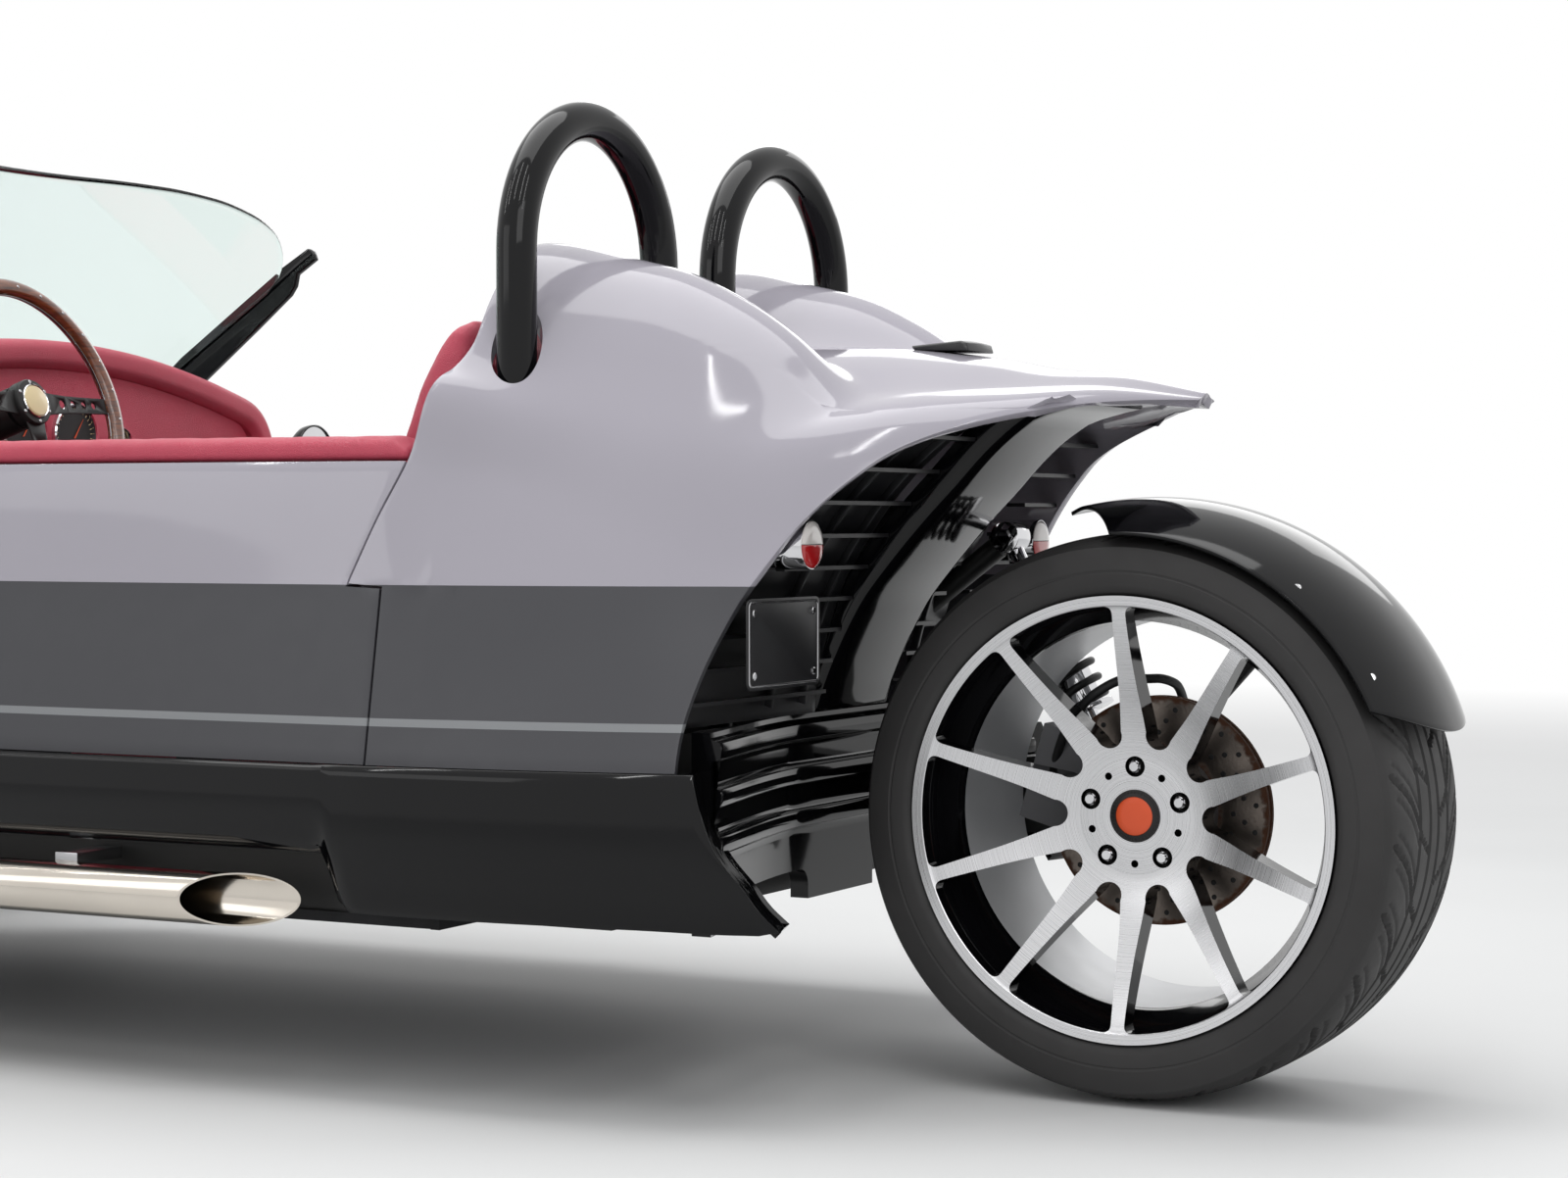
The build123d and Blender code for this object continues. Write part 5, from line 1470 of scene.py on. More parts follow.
@dataclass
class Wheel:
    """One ten-spoke wheel with its tyre and brake disc.

    The face looks to +y for side 1 and to -y for side -1. y is where the middle of the tyre lies.
    """

    name: str
    body: str
    nodes: tuple[str, str, str]
    x: float
    y: float
    z: float
    side: int
    tyre_r: float
    width: float
    disc_y: float
    machined: Finish
    iron: Finish
    flange: float = 256.0
    lip: float = 13.0
    hub_r: float = 84.0
    hub_sink: float = 60.0
    spokes: int = 10
    bolt_circle: float = 57.15
    bulge: float = 4.0
    web: float = 40.0

    @property
    def half(self) -> float:
        """Half the rim's width, a little less than half the tyre's."""
        return self.width / 2 - self.bulge

    @property
    def hub(self) -> float:
        """How far out the hub's face lies."""
        return self.half - self.hub_sink

    def turned(self, solid: Solid, profile: Sequence[Point2], steps: int) -> None:
        """Turn a profile of radii and widths about the axle, into a solid."""
        solid.lathe(profile, (self.x, self.z), self.y, self.side, steps)

    def at(self, x: float, y: float, z: float) -> Vector:
        """Turn a point of the wheel, its face towards +y, into the frame."""
        return place(self.x + x, self.y + self.side * y, self.z + z)

    def face_y(self, r: float) -> float:
        """Give how far out the spokes' face lies at a radius."""
        return self.half - read_curve(((self.hub_r - 14, self.hub_sink - 0.4), (90.0, 56.0), (120.0, 47.0),
                                  (160.0, 31.0), (205.0, 14.0), (238.0, 4.5), (self.flange, 2.0)), r)

    def window(self, turn: float) -> list[Point2]:
        """Give the outline of one window between two spokes, with round corners.

        Args:
            turn: The angle of the window's middle in radians.

        Returns:
            The outline as x and z around the wheel's middle.
        """
        sector = math.pi / self.spokes
        outer = self.flange - self.lip

        def gap(r: float) -> float:
            """Give half the window's width at a distance along its middle."""
            spoke = read_curve(((94.0, 15.6), (110.0, 14.2), (130.0, 12.2), (160.0, 10.2), (200.0, 8.7),
                                (240.0, 7.6)), r)
            return r * math.tan(sector) - spoke / math.cos(sector)

        start, end = self.hub_r + 13.5, outer
        while math.hypot(end, gap(end)) > outer:
            end -= 0.25
        sides = [(lerp(start, end - 10.0, k / 16), gap(lerp(start, end - 10.0, k / 16))) for k in range(17)]
        limit = math.atan2(gap(end), end) - 10.0 / outer
        landing = (outer * math.cos(limit), outer * math.sin(limit))
        for k in range(1, 8):
            t = k / 8
            first = (lerp(sides[16][0], end, t), lerp(sides[16][1], gap(end), t))
            second = (lerp(end, landing[0], t), lerp(gap(end), landing[1], t))
            sides.append((lerp(first[0], second[0], t), lerp(first[1], second[1], t)))
        arc = [(outer * math.cos(a), outer * math.sin(a))
               for a in (lerp(limit, -limit, k / 24) for k in range(25))]
        r = gap(start)
        bend = [(start - r * math.sin(a), -r * math.cos(a)) for a in (math.pi * k / 14 for k in range(1, 14))]
        loop = sides + arc + [(u, -v) for u, v in reversed(sides)] + bend
        ca, sa = math.cos(turn), math.sin(turn)
        return [(u * ca - v * sa, u * sa + v * ca) for u, v in loop]

    def face(self) -> list[Obj]:
        """Make the spokes, the hub and the lip, bright in front and black behind.

        Returns:
            The rim's pieces.
        """
        half, hub = self.half, self.hub
        f, lip = self.flange, self.flange - self.lip
        radii = [lerp(self.hub_r - 16.0, lip - 3.0, k / 40) for k in range(41)]
        front = [(30.5, hub), (44.0, hub + 0.6), (self.hub_r - 18.0, hub + 0.4)]
        front += [(r, self.face_y(r)) for r in radii]
        front += [(lip, half - 2.4), (lip + 1.0, half - 1.6), (f - 3.0, half - 0.8), (f - 1.0, half - 0.6),
                  (f, half - 1.8), (f, half - 9), (lip, half - 22)]
        back = [(r, self.face_y(r) - read_curve(((self.hub_r, 40.0), (150.0, 36.0), (240.0, 28.0)), r))
                for r in reversed(radii[4:])]
        solid = Solid()
        self.turned(solid, [*front, *back, (self.hub_r - 14, hub - 38), (30.5, hub - 38)], 240)
        rim = solid.build(self.name + "_spokes", sharp=30.0)
        cutter = Solid()
        for k in range(self.spokes):
            outline = self.window(math.pi / 2 + math.tau * (k + 0.5) / self.spokes)
            cutter.prism([self.at(u, half + 10, w) for u, w in outline], Vector((0, -0.12 * self.side, 0)))
        for k in range(5):
            for radius, angle, circle in ((12.0, 0.0, self.bolt_circle),
                                          (4.4, math.pi / 5, self.bolt_circle - 2)):
                a = math.pi / 2 + math.tau * k / 5 + angle
                x, z = circle * math.cos(a), circle * math.sin(a)
                cutter.tube([self.at(x, hub - 20, z), self.at(x, hub + 12, z)], radius / 1000, 32)
        carve(rim, cutter.build("windows"))
        soften(rim, 0.0011, 46.0)
        rim.data.materials.clear()
        rim.data.materials.append(self.machined.material())
        rim.data.materials.append(Finishes.GLOSS_BLACK.material())
        for face in rim.data.polygons:
            out = face.normal.y * self.side
            deep = (face.center.y * 1000 - self.y) * self.side
            r = math.hypot(face.center.x * 1000 - REAR_AXLE_X - self.x, face.center.z * 1000 - self.z)
            bright = out > 0.75 and deep > self.face_y(r) - 3.0 and r < self.flange
            face.material_index = 0 if bright else 1
        dress(rim, self.machined, self.body, "machined_rim", self.nodes[0])
        return [rim, self.barrel(), *self.fasteners()]

    def barrel(self) -> Obj:
        """Make the silver barrel behind the spokes, gloss black near the face as painted shade."""
        half, f = self.half, self.flange
        well = f - 24.0
        solid = Solid()
        self.turned(solid, ((f, half - 8), (well + 12, half - 22), (well, half - 50), (well, -half + 20),
                            (f, -half + 8), (f, -half), (f - 7, -half), (f - 9, -half + 8),
                            (well - 8, -half + 24), (well - 8, half - 84), (well - 8, half - 83),
                            (well - 7, half - 60), (f - 15, half - 30), (f - 13, half - 22)), 128)
        stem = self.at(0.0, half - 40, -(well - 12))
        solid.tube([stem, self.at(0.0, half - 22, -(well - 26))], 0.0032, 12)
        barrel = solid.build(self.name + "_barrel", sharp=50)
        barrel.data.materials.append(Finishes.SILVER_PAINT.material())
        barrel.data.materials.append(Finishes.GLOSS_BLACK.material())
        # The outer 83.5 mm of the barrel, next to the face, is gloss black: painted shade of the deep space
        # behind the spokes.
        for face in barrel.data.polygons:
            deep = (face.center.y * 1000 - self.y) * self.side
            face.material_index = 1 if deep > half - 83.5 else 0
        return dress(barrel, Finishes.SILVER_PAINT, self.body, "machined_rim")

    def fasteners(self) -> list[Obj]:
        """Make the lug nuts with their studs, the knurled ring and the cap.

        Returns:
            The pieces.
        """
        hub, way = self.hub, Vector((0, self.side, 0))
        spots = []
        for k in range(5):
            a = math.pi / 2 + math.tau * k / 5
            spot = self.at(self.bolt_circle * math.cos(a), hub - 10, self.bolt_circle * math.sin(a))
            spots.append(facing(spot, way, a))
        # The nuts' dark finish is painted shade of the deep lug pockets; only the chrome stud tips show the
        # bright heads.
        nuts = repeat(self.name + "_lug_nuts", Unit.HEAD, spots, Finishes.DARK_RING, Radius=0.0095,
                      Height=0.016, Sides=6)
        tips = [m @ Matrix.Translation((0, 0, 0.009)) for m in spots]
        studs = repeat(self.name + "_studs", Unit.HEAD, tips, Finishes.CHROME, Radius=0.0072, Height=0.007,
                       Sides=20)
        knurls = []
        for k in range(40):
            a = math.tau * k / 40
            knurls.append(facing(self.at(27.6 * math.cos(a), hub + 2.2, 27.6 * math.sin(a)), way, a))
        grip = repeat(self.name + "_cap_knurl", Unit.BAR, knurls, Finishes.DARK_RING,
                      Size=(0.0022, 0.0022, 0.0018))
        ring, disc = Solid(), Solid()
        self.turned(ring, ((22.5, hub + 3.4), (30.2, hub + 1.6), (30.2, hub - 8), (22.5, hub - 8)), 64)
        self.turned(disc, ((0.0, hub + 3.9), (14.0, hub + 3.8), (21.6, hub + 3.0), (22.6, hub + 2.2),
                           (22.6, hub - 6), (0.0, hub - 6)), 64)
        pieces = [dress(nuts, Finishes.DARK_RING, self.body, "black_metal"),
                  dress(studs, Finishes.CHROME, self.body, "steel"),
                  dress(grip, Finishes.DARK_RING, self.body, "black_metal"),
                  dress(ring.build(self.name + "_cap_ring"), Finishes.DARK_RING, self.body, "black_metal"),
                  dress(disc.build(self.name + "_cap"), Finishes.ORANGE, self.body, "black_plastic")]
        return pieces

    def groove(self, angle: float, v: float) -> float:
        """Tell how deep the tread is cut at a place.

        Args:
            angle: Radians around the tyre.
            v: Place across the tread from -1 to 1.

        Returns:
            Depth in millimetres.
        """
        pitch = 26
        across = abs(v)
        lean = read_curve(((0.0, 0.0), (0.3, 0.25), (0.65, 0.9), (1.0, 1.35)), across)
        wave = (angle * pitch / math.tau + lean + (0.5 if v < 0 else 0.0)) % 1.0
        depth = 0.0
        if 0.1 < across < 0.97 and abs(wave - 0.5) < 0.055:
            depth = 5.0 * min(1.0, (0.055 - abs(wave - 0.5)) / 0.02)
        fine = (angle * pitch * 2 / math.tau + lean * 2.0) % 1.0
        if 0.45 < across < 0.9 and abs(fine - 0.5) < 0.05:
            depth = max(depth, 2.2)
        for line in (0.12, 0.42):
            if abs(across - line) < 0.022:
                depth = max(depth, 5.0)
        return depth

    def tyre(self) -> Obj:
        """Make the tyre with its tread and the fine rings of its walls.

        Returns:
            The finished piece.
        """
        half, r = self.width / 2, self.tyre_r
        bead = self.flange + 0.2
        wall = [(bead, half - 9), (bead + 4, half - 3.5), (bead + 11, half - 0.6), (bead + 24, half),
                (bead + 25, half - 0.7), (bead + 27, half - 0.7), (bead + 28, half - 0.1),
                (r - 30, half - 0.8), (r - 17, half - 4.5)]
        shoulder = half - 13.0
        outline: list[tuple[float, float, float]] = [(a, b, 2.0) for a, b in wall]
        rows = 74
        for k in range(rows + 1):
            v = 1.0 - 2.0 * k / rows
            y = v * shoulder
            rounding = 9.5 * abs(v) ** 5 + 2.0 * v * v
            outline.append((r - rounding, y, v))
        outline += [(a, -b, 2.0) for a, b in reversed(wall)]
        outline += [(bead, -half + 12, 2.0), (bead, half - 12, 2.0)]
        steps = 468
        rings = []
        for n in range(steps):
            a = math.tau * n / steps
            ring = []
            for rr, y, v in outline:
                radius = rr - (self.groove(a, v) if abs(v) <= 1.0 else 0.0)
                ring.append(self.at(radius * math.cos(a), y, radius * math.sin(a)))
            rings.append(ring)
        solid = Solid()
        solid.loft(rings, looped=True)
        tyre = solid.build(self.name + "_tread", sharp=34.0)
        return dress(tyre, Finishes.RUBBER, self.body, "tyre", self.nodes[1])

    def disc(self) -> list[Obj]:
        """Make the brake disc and its hat, with dull black dots painted as the shade of drill holes that are
        not cut.

        Returns:
            The pieces.
        """
        hub = self.hub - self.web
        y, s = self.disc_y, Solid()
        self.turned(s, ((72, y - 10), (134, y - 10), (134.6, y - 9.4), (134.6, y - 3.5), (131, y - 3),
                        (131, y + 3), (134.6, y + 3.5), (134.6, y + 9.4), (134, y + 10), (72, y + 10)), 128)
        iron = dress(s.build(self.name + "_disc"), self.iron, self.body, "disc_iron", self.nodes[2])
        hat = Solid()
        self.turned(hat, ((24, hub), (62, hub), (70, hub - 6), (74, y + 9), (80, y + 9), (80, y + 3),
                          (68, y + 3), (64, hub - 8), (24, hub - 8)), 96)
        pieces = [iron, dress(hat.build(self.name + "_hat"), Finishes.CAST_ALUMINIUM, self.body, "disc_iron")]
        # Dull black dots on both faces paint the shade inside the drill holes; the iron itself is not cut.
        spots = []
        for face in (1, -1):
            way = Vector((0, self.side * face, 0))
            for k in range(24):
                for r, shift in ((92.0, 0.0), (106.0, 0.33), (120.0, 0.66)):
                    a = math.tau * (k + shift) / 24
                    spots.append(facing(self.at(r * math.cos(a), y + face * 9.9, r * math.sin(a)), way))
        holes = repeat(self.name + "_drillings", Unit.HEAD, spots, Finishes.DULL_BLACK, Radius=0.0032,
                       Height=0.0006, Sides=12)
        pieces.append(dress(holes, Finishes.DULL_BLACK, self.body, "disc_iron"))
        return pieces

    def make(self) -> list[Obj]:
        """Make the whole wheel.

        Returns:
            Its pieces.
        """
        return [*self.face(), self.tyre(), *self.disc()]


def all_wheels() -> list[Wheel]:
    """Give the three wheels of the car."""
    y, x, z = FRONT_WHEEL_Y, FRONT_AXLE_X, FRONT_AXLE_Z
    common = {"x": x, "z": z, "tyre_r": 320.0, "width": 228.0, "disc_y": -13.0,
              "machined": Finishes.MACHINED_FRONT, "iron": Finishes.IRON_FRONT}
    return [
        Wheel("rear_wheel", "rear_wheel", ("rear_rim", "rear_tyre", "rear_disc"), 0.0, 0.0, REAR_AXLE_Z, 1,
              327.0, 294.0, -4.0, Finishes.MACHINED_REAR, Finishes.IRON_REAR),
        Wheel("front_wheel_left", "front_wheel_left",
              ("front_rim_left", "front_tyre_left", "front_disc_left"), y=y, side=1, **common),
        Wheel("front_wheel_right", "front_wheel_right",
              ("front_rim_right", "front_tyre_right", "front_disc_right"), y=-y, side=-1, **common),
    ]


@dataclass
class Fenders:
    """The gloss black cycle fenders over the wheels."""

    wall: float = 0.005

    def shell(self, name: str, centre: tuple[float, float, float], half: float, crown: float, drop: float,
              start: Callable[[float], float], end: Callable[[float], float]) -> Solid:
        """Make a curved shell about an axle.

        Args:
            name: What the shell is for.
            centre: The axle's x, y and z.
            half: Half the shell's width.
            crown: Its radius in the middle.
            drop: How much nearer to the axle its edges lie.
            start: The angle in degrees at which it starts, for each place across.
            end: The angle at which it ends.

        Returns:
            The shell.
        """
        LOG.debug("shell of %s", name)
        rows = []
        for k in range(57):
            v = math.sin(math.radians(-90 + 180 * k / 56)) * 0.35 + (-1 + 2 * k / 56) * 0.65
            radius = crown - drop * abs(v) ** 2.3
            row = []
            for n in range(91):
                u = n / 90
                a = math.radians(lerp(start(v), end(v), u))
                row.append(place(centre[0] + radius * math.cos(a), centre[1] + v * half,
                                 centre[2] + radius * math.sin(a)))
            rows.append(row)
        solid = Solid()
        solid.sheet(rows, self.wall)
        return solid

    def make(self) -> list[Obj]:
        """Make the three fenders and the bolts of the rear one.

        Returns:
            The pieces.
        """
        rear = self.shell("rear", (0.0, 0.0, REAR_AXLE_Z), 153.0, 363.0, 40.0,
                          lambda v: 72.0 + 17.0 * abs(v) ** 0.9, lambda v: 163.5 - 7.5 * v * v)
        pieces = [dress(rear.build("rear_fender_skin", bevel=0.0012), Finishes.GLOSS_BLACK, "body",
                        "gloss_black", "rear_fender")]
        for side, name in ((1, "left"), (-1, "right")):
            shell = self.shell("front", (FRONT_AXLE_X, side * FRONT_WHEEL_Y, FRONT_AXLE_Z), 121.5, 353.5,
                               26.0, lambda v: 33.0 + 5.0 * abs(v) ** 3, lambda v: 157.0 - 5.0 * abs(v) ** 3)
            pieces.append(dress(shell.build("front_fender_skin_" + name, bevel=0.0012), Finishes.GLOSS_BLACK,
                                "upright_" + name, "gloss_black", "front_fender_" + name))
        spots = []
        for angle, v in ((128.0, 0.86), (128.0, -0.86), (150.0, 0.86), (150.0, -0.86)):
            a = math.radians(angle)
            r = 363.0 - 40.0 * abs(v) ** 2.3
            way = Vector((math.cos(a) * 0.6, math.copysign(0.8, v), math.sin(a) * 0.6)).normalized()
            spots.append(facing(place(r * math.cos(a), v * 153.0, REAR_AXLE_Z + r * math.sin(a)), way))
        bolts = repeat("rear_fender_bolts", Unit.HEAD, spots, Finishes.CHROME, Radius=0.0065, Height=0.005,
                       Sides=20)
        pieces.append(dress(bolts, Finishes.CHROME, "body", "steel"))
        return pieces


@dataclass
class RollHoops:
    """The twin hoops of gloss black tube."""

    x: float = 633.0
    centre_y: float = 241.0
    half_span: float = 165.0
    top: float = 1165.5
    tube: float = 23.5
    foot: float = 402.0

    def make(self) -> Obj:
        """Make both hoops.

        Returns:
            The finished piece.
        """
        solid = Solid()
        spring = self.top - self.tube - self.half_span
        for side in (-1, 1):
            y = side * self.centre_y
            path = [place(self.x, y - self.half_span, lerp(self.foot, spring, k / 8)) for k in range(8)]
            for k in range(49):
                a = math.pi * (1 - k / 48)
                path.append(place(self.x, y + self.half_span * math.cos(a),
                                  spring + self.half_span * math.sin(a)))
            path += [place(self.x, y + self.half_span, lerp(spring, self.foot, k / 8)) for k in range(1, 9)]
            solid.tube(path, self.tube / 1000, 48)
        return dress(solid.build("hoop_tubes"), Finishes.GLOSS_BLACK, "body", "gloss_black", "roll_hoops")


@dataclass
class Exhausts:
    """The polished side pipes with slash-cut tips."""

    y: float = 552.0
    z: float = 230.0
    radius: float = 31.0
    wall: float = 2.0
    tail: float = 836.0
    slash: float = 170.0

    def make(self) -> list[Obj]:
        """Make both hollow pipes, cut on the slant at their tips, and their straps.

        Returns:
            The pieces.
        """
        axle = FRONT_AXLE_X
        route = [(axle - 569, self.y, self.z), (axle - 414, 400, self.z), (axle - 284, 335, 300),
                 (axle - 194, 280, 390), (axle - 94, 225, 400)]
        bend = self.rounded([Vector((self.tail, self.y, self.z))] + [Vector(p) for p in route])
        solid = Solid()
        for side in (1, -1):
            outer = self.rings(bend, self.radius, side)
            inner = self.rings(bend, self.radius - self.wall, side)
            solid.loft([*outer, *reversed(inner)], looped=True)
        pipes = solid.build("side_pipes", sharp=50)
        straps = Solid()
        for side in (1, -1):
            straps.side_prism([(1158, 258), (1192, 258), (1192, 272), (1158, 272)], side * 470, side * 552)
        hang = straps.build("pipe_straps", bevel=0.001)
        return [dress(pipes, Finishes.POLISHED, "body", "steel", "exhausts"),
                dress(hang, Finishes.STEEL, "body", "steel")]

    def rounded(self, knots: Sequence[Vector]) -> list[Vector]:
        """Round a run of straight pieces with a smooth spline.

        Args:
            knots: Its corners, in millimetres.

        Returns:
            Many points on the smooth line.
        """
        points = [knots[0], knots[0].lerp(knots[1], 0.5), knots[0].lerp(knots[1], 0.93)]
        for a, b, c in zip(knots, knots[1:], knots[2:]):
            start, end = b.lerp(a, min(0.45, 110 / (a - b).length)), b.lerp(c, 0.45)
            for k in range(1, 13):
                t = k / 12
                points.append(start.lerp(b, t).lerp(b.lerp(end, t), t))
        points.append(knots[-1])
        return points

    def rings(self, line: Sequence[Vector], radius: float, side: int) -> list[list[Vector]]:
        """Set rings along the line, the first one cut on the slant.

        Args:
            line: The pipe's middle line.
            radius: The rings' radius.
            side: 1 for the left pipe, -1 for the right one.

        Returns:
            The rings, in the frame.
        """
        rings = []
        for i, point in enumerate(line):
            along = (line[min(i + 1, len(line) - 1)] - line[max(i - 1, 0)]).normalized()
            across = along.cross(Vector((0, 0, 1))).normalized()
            up = across.cross(along)
            ring = []
            for k in range(56):
                a = math.tau * k / 56
                p = point + radius * (math.cos(a) * across + math.sin(a) * up)
                if i == 0:
                    p.x = self.tail + self.slash * (p.y - self.y + 40.0) / 80.0
                ring.append(place(p.x, side * p.y, p.z))
            rings.append(ring)
        return rings


# The rear panels and lamps


@dataclass
class RearPanels:
    """The slatted grille, the spine, the ribbed bumper, the lamps and the plate."""

    spine_half: float = 104.0
    spine_depth: float = 40.0
    spine_fade: float = 45.0
    deck_under: float = 808.0
    sheet_inset: float = 26.0
    slat_count: int = 9
    slat_low: float = 462.0
    slat_pitch: float = 37.5
    slat_thick: float = 4.6
    arm_y: float = -205.0
    bumper_top: float = 434.0
    bumper_ribs: tuple[float, ...] = (310.0, 362.0, 414.0)
    lamp_y: float = 334.0
    lamp_z: float = 640.0
    lamp_r: float = 28.0

    def side_half(self, angle: float) -> float:
        """Give how far out the grille reaches at an angle about the rear axle."""
        x, z = TAIL_EDGE.offset(angle, self.sheet_inset)
        return SKIN.half_width(max(x, 40.0), z) - 14.0

    def grille(self) -> Obj:
        """Make the moulded sheet behind the slats, with its upright ribs.

        Returns:
            The finished piece.
        """
        low = math.degrees(math.atan2(self.bumper_top + 0.6 - REAR_AXLE_Z, 396.0))
        solid = Solid()
        for side in (1, -1):
            rows = []
            for k in range(61):
                angle = lerp(low, 74.0, k / 60)
                x, z = TAIL_EDGE.offset(angle, self.sheet_inset)
                reach = self.side_half(angle)
                row = [place(x, side * lerp(self.spine_half + 0.5, reach, n / 40), z) for n in range(41)]
                rows.append(row)
            solid.sheet(rows, 0.005 * -side)
            for y in (150.0, 235.0):
                outline = [TAIL_EDGE.offset(lerp(low + 2, 66.0, k / 24), self.sheet_inset - 9)
                           for k in range(25)]
                outline += [TAIL_EDGE.offset(lerp(66.0, low + 2, k / 24), self.sheet_inset + 2)
                            for k in range(25)]
                solid.side_prism(outline, side * y - 2.6, side * y + 2.6)
        sheet = solid.build("grille_sheet", bevel=0.0008)
        cutter = Solid()
        for side in (1, -1):
            cutter.rod((180, side * self.lamp_y, self.lamp_z), (460, side * self.lamp_y, self.lamp_z),
                       self.lamp_r + 1, 48)
        cutter.side_prism([(190, 530), (480, 530), (480, 692), (190, 692)], self.arm_y - 36, self.arm_y + 36)
        carve(sheet, cutter.build("lamp_holes"))
        return dress(sheet, Finishes.SATIN_BLACK, "body", "black_plastic", "rear_grille")

    def slats(self) -> Obj:
        """Make the level slats of both sides.

        Returns:
            The finished piece.
        """
        spots, sizes = [], []
        for index in range(self.slat_count):
            z = self.slat_low + index * self.slat_pitch
            x = self.edge_x(z)
            depth = 13.5 * (1 + 0.15 * index)
            angle = math.degrees(math.atan2(z - REAR_AXLE_Z, x))
            reach = self.side_half(angle) - 3.0
            for side in (1, -1):
                spans = [(self.spine_half + 1, reach)]
                if side < 0 and 530 < z < 692:
                    spans = [(self.spine_half + 1, 168.0), (242.0, reach)]
                if abs(z - self.lamp_z) < self.lamp_r + 1:
                    gap = math.sqrt((self.lamp_r + 2) ** 2 - (z - self.lamp_z) ** 2)
                    spans = [*spans[:-1], (spans[-1][0], self.lamp_y - gap), (self.lamp_y + gap, reach)]
                for start, end in spans:
                    if end - start > 4.0:
                        middle = side * (start + end) / 2
                        spots.append(Matrix.Translation(place(x - depth / 2 + 1, middle, z)))
                        sizes.append((depth, end - start, self.slat_thick))
        return dress(repeat("grille_slats", Unit.BAR, spots, Finishes.SATIN_BLACK, stretch=sizes,
                            Size=(0.001, 0.001, 0.001)), Finishes.SATIN_BLACK, "body", "black_plastic")

    def edge_x(self, z: float) -> float:
        """Give the x of the grille sheet's face at a height."""
        angle = narrow(0.0, 80.0, lambda a: TAIL_EDGE.offset(a, self.sheet_inset)[1] < z, 24)[0]
        return TAIL_EDGE.offset(angle, self.sheet_inset)[0]

    def spine(self) -> Obj:
        """Make the gloss spine that runs down the middle.

        Returns:
            The finished piece.
        """
        knots = ((438.0, 398.0), (470.0, 387.0), (560.0, 342.0), (610.0, 303.0), (690.0, 229.0),
                 (782.0, 126.0), (801.0, 61.0))
        line = [(read_curve(knots, z), z) for z in [lerp(438.0, 801.0, k / 60) for k in range(61)]]
        inner = []
        for i, (x, z) in enumerate(line):
            before, after = line[max(i - 1, 0)], line[min(i + 1, len(line) - 1)]
            dx, dz = after[0] - before[0], after[1] - before[1]
            length = math.hypot(dx, dz)
            depth = self.spine_depth * min(1.0, (self.deck_under - z) / self.spine_fade)
            inner.append((x + depth * dz / length, z - depth * dx / length))
        solid = Solid()
        rings = []
        for (x, z), (ix, iz) in zip(line, inner):
            h = self.spine_half - 0.5
            ring = []
            for share, y in ((1.0, -h), (0.62, -h), (0.4, -h + 1.2), (0.24, -h + 4.0), (0.1, -h + 9.0),
                             (0.03, -h + 14.0), (0.0, -h + 22.0), (0.0, 0.0), (0.0, h - 22.0),
                             (0.03, h - 14.0), (0.1, h - 9.0), (0.24, h - 4.0), (0.4, h - 1.2), (0.62, h),
                             (1.0, h)):
                ring.append(place(lerp(x, ix, share), y, lerp(z, iz, share)))
            rings.append(ring)
        solid.loft(rings)
        return dress(solid.build("spine_cover", bevel=0.0006), Finishes.GLOSS_BLACK, "body", "gloss_black",
                     "rear_spine")

    def bumper(self) -> Obj:
        """Make the lower panel with its three long ribs.

        Returns:
            The finished piece.
        """
        heights = sorted([lerp(209.0, self.bumper_top - 0.2, k / 40) for k in range(41)]
                         + [rib + d for rib in self.bumper_ribs
                            for d in (-11.4, -10.6, -9.0, 9.0, 10.6, 11.4)])
        rings = []
        for n in range(91):
            y = 448.5 * (1 - 2 * n / 90)
            plan = read_curve(((0.0, 418.0), (135.0, 418.0), (165.0, 415.5), (449.0, 356.5)), abs(y))
            ring = []
            for z in heights:
                proud = max(max(0.0, 1.0 - (abs(z - rib) / 11.5) ** 6) ** 0.5 for rib in self.bumper_ribs)
                ring.append(place(plan - 13.0 * proud, y, z))
            rings.append(ring + [place(plan + 24, y, heights[-1]), place(plan + 24, y, heights[0])])
        solid = Solid()
        solid.loft(rings)
        panel = solid.build("bumper_panel")
        notches, slot = Solid(), Solid()
        for side in (1, -1):
            notches.prism([place(330, side * y, z) for y, z in rounded_box(90, 180, 330, 246, 20)],
                          Vector((0.15, 0, 0)))
        slot.prism([place(330, y, z) for y, z in
                    rounded_box(self.arm_y - 67, 226, self.arm_y + 67, 397, 22)], Vector((0.15, 0, 0)))
        carve(panel, notches.build("notches"))
        carve(panel, slot.build("arm_slot"))
        soften(panel, 0.0009, 46.0)
        return dress(panel, Finishes.GLOSS_BLACK, "body", "gloss_black", "rear_bumper")

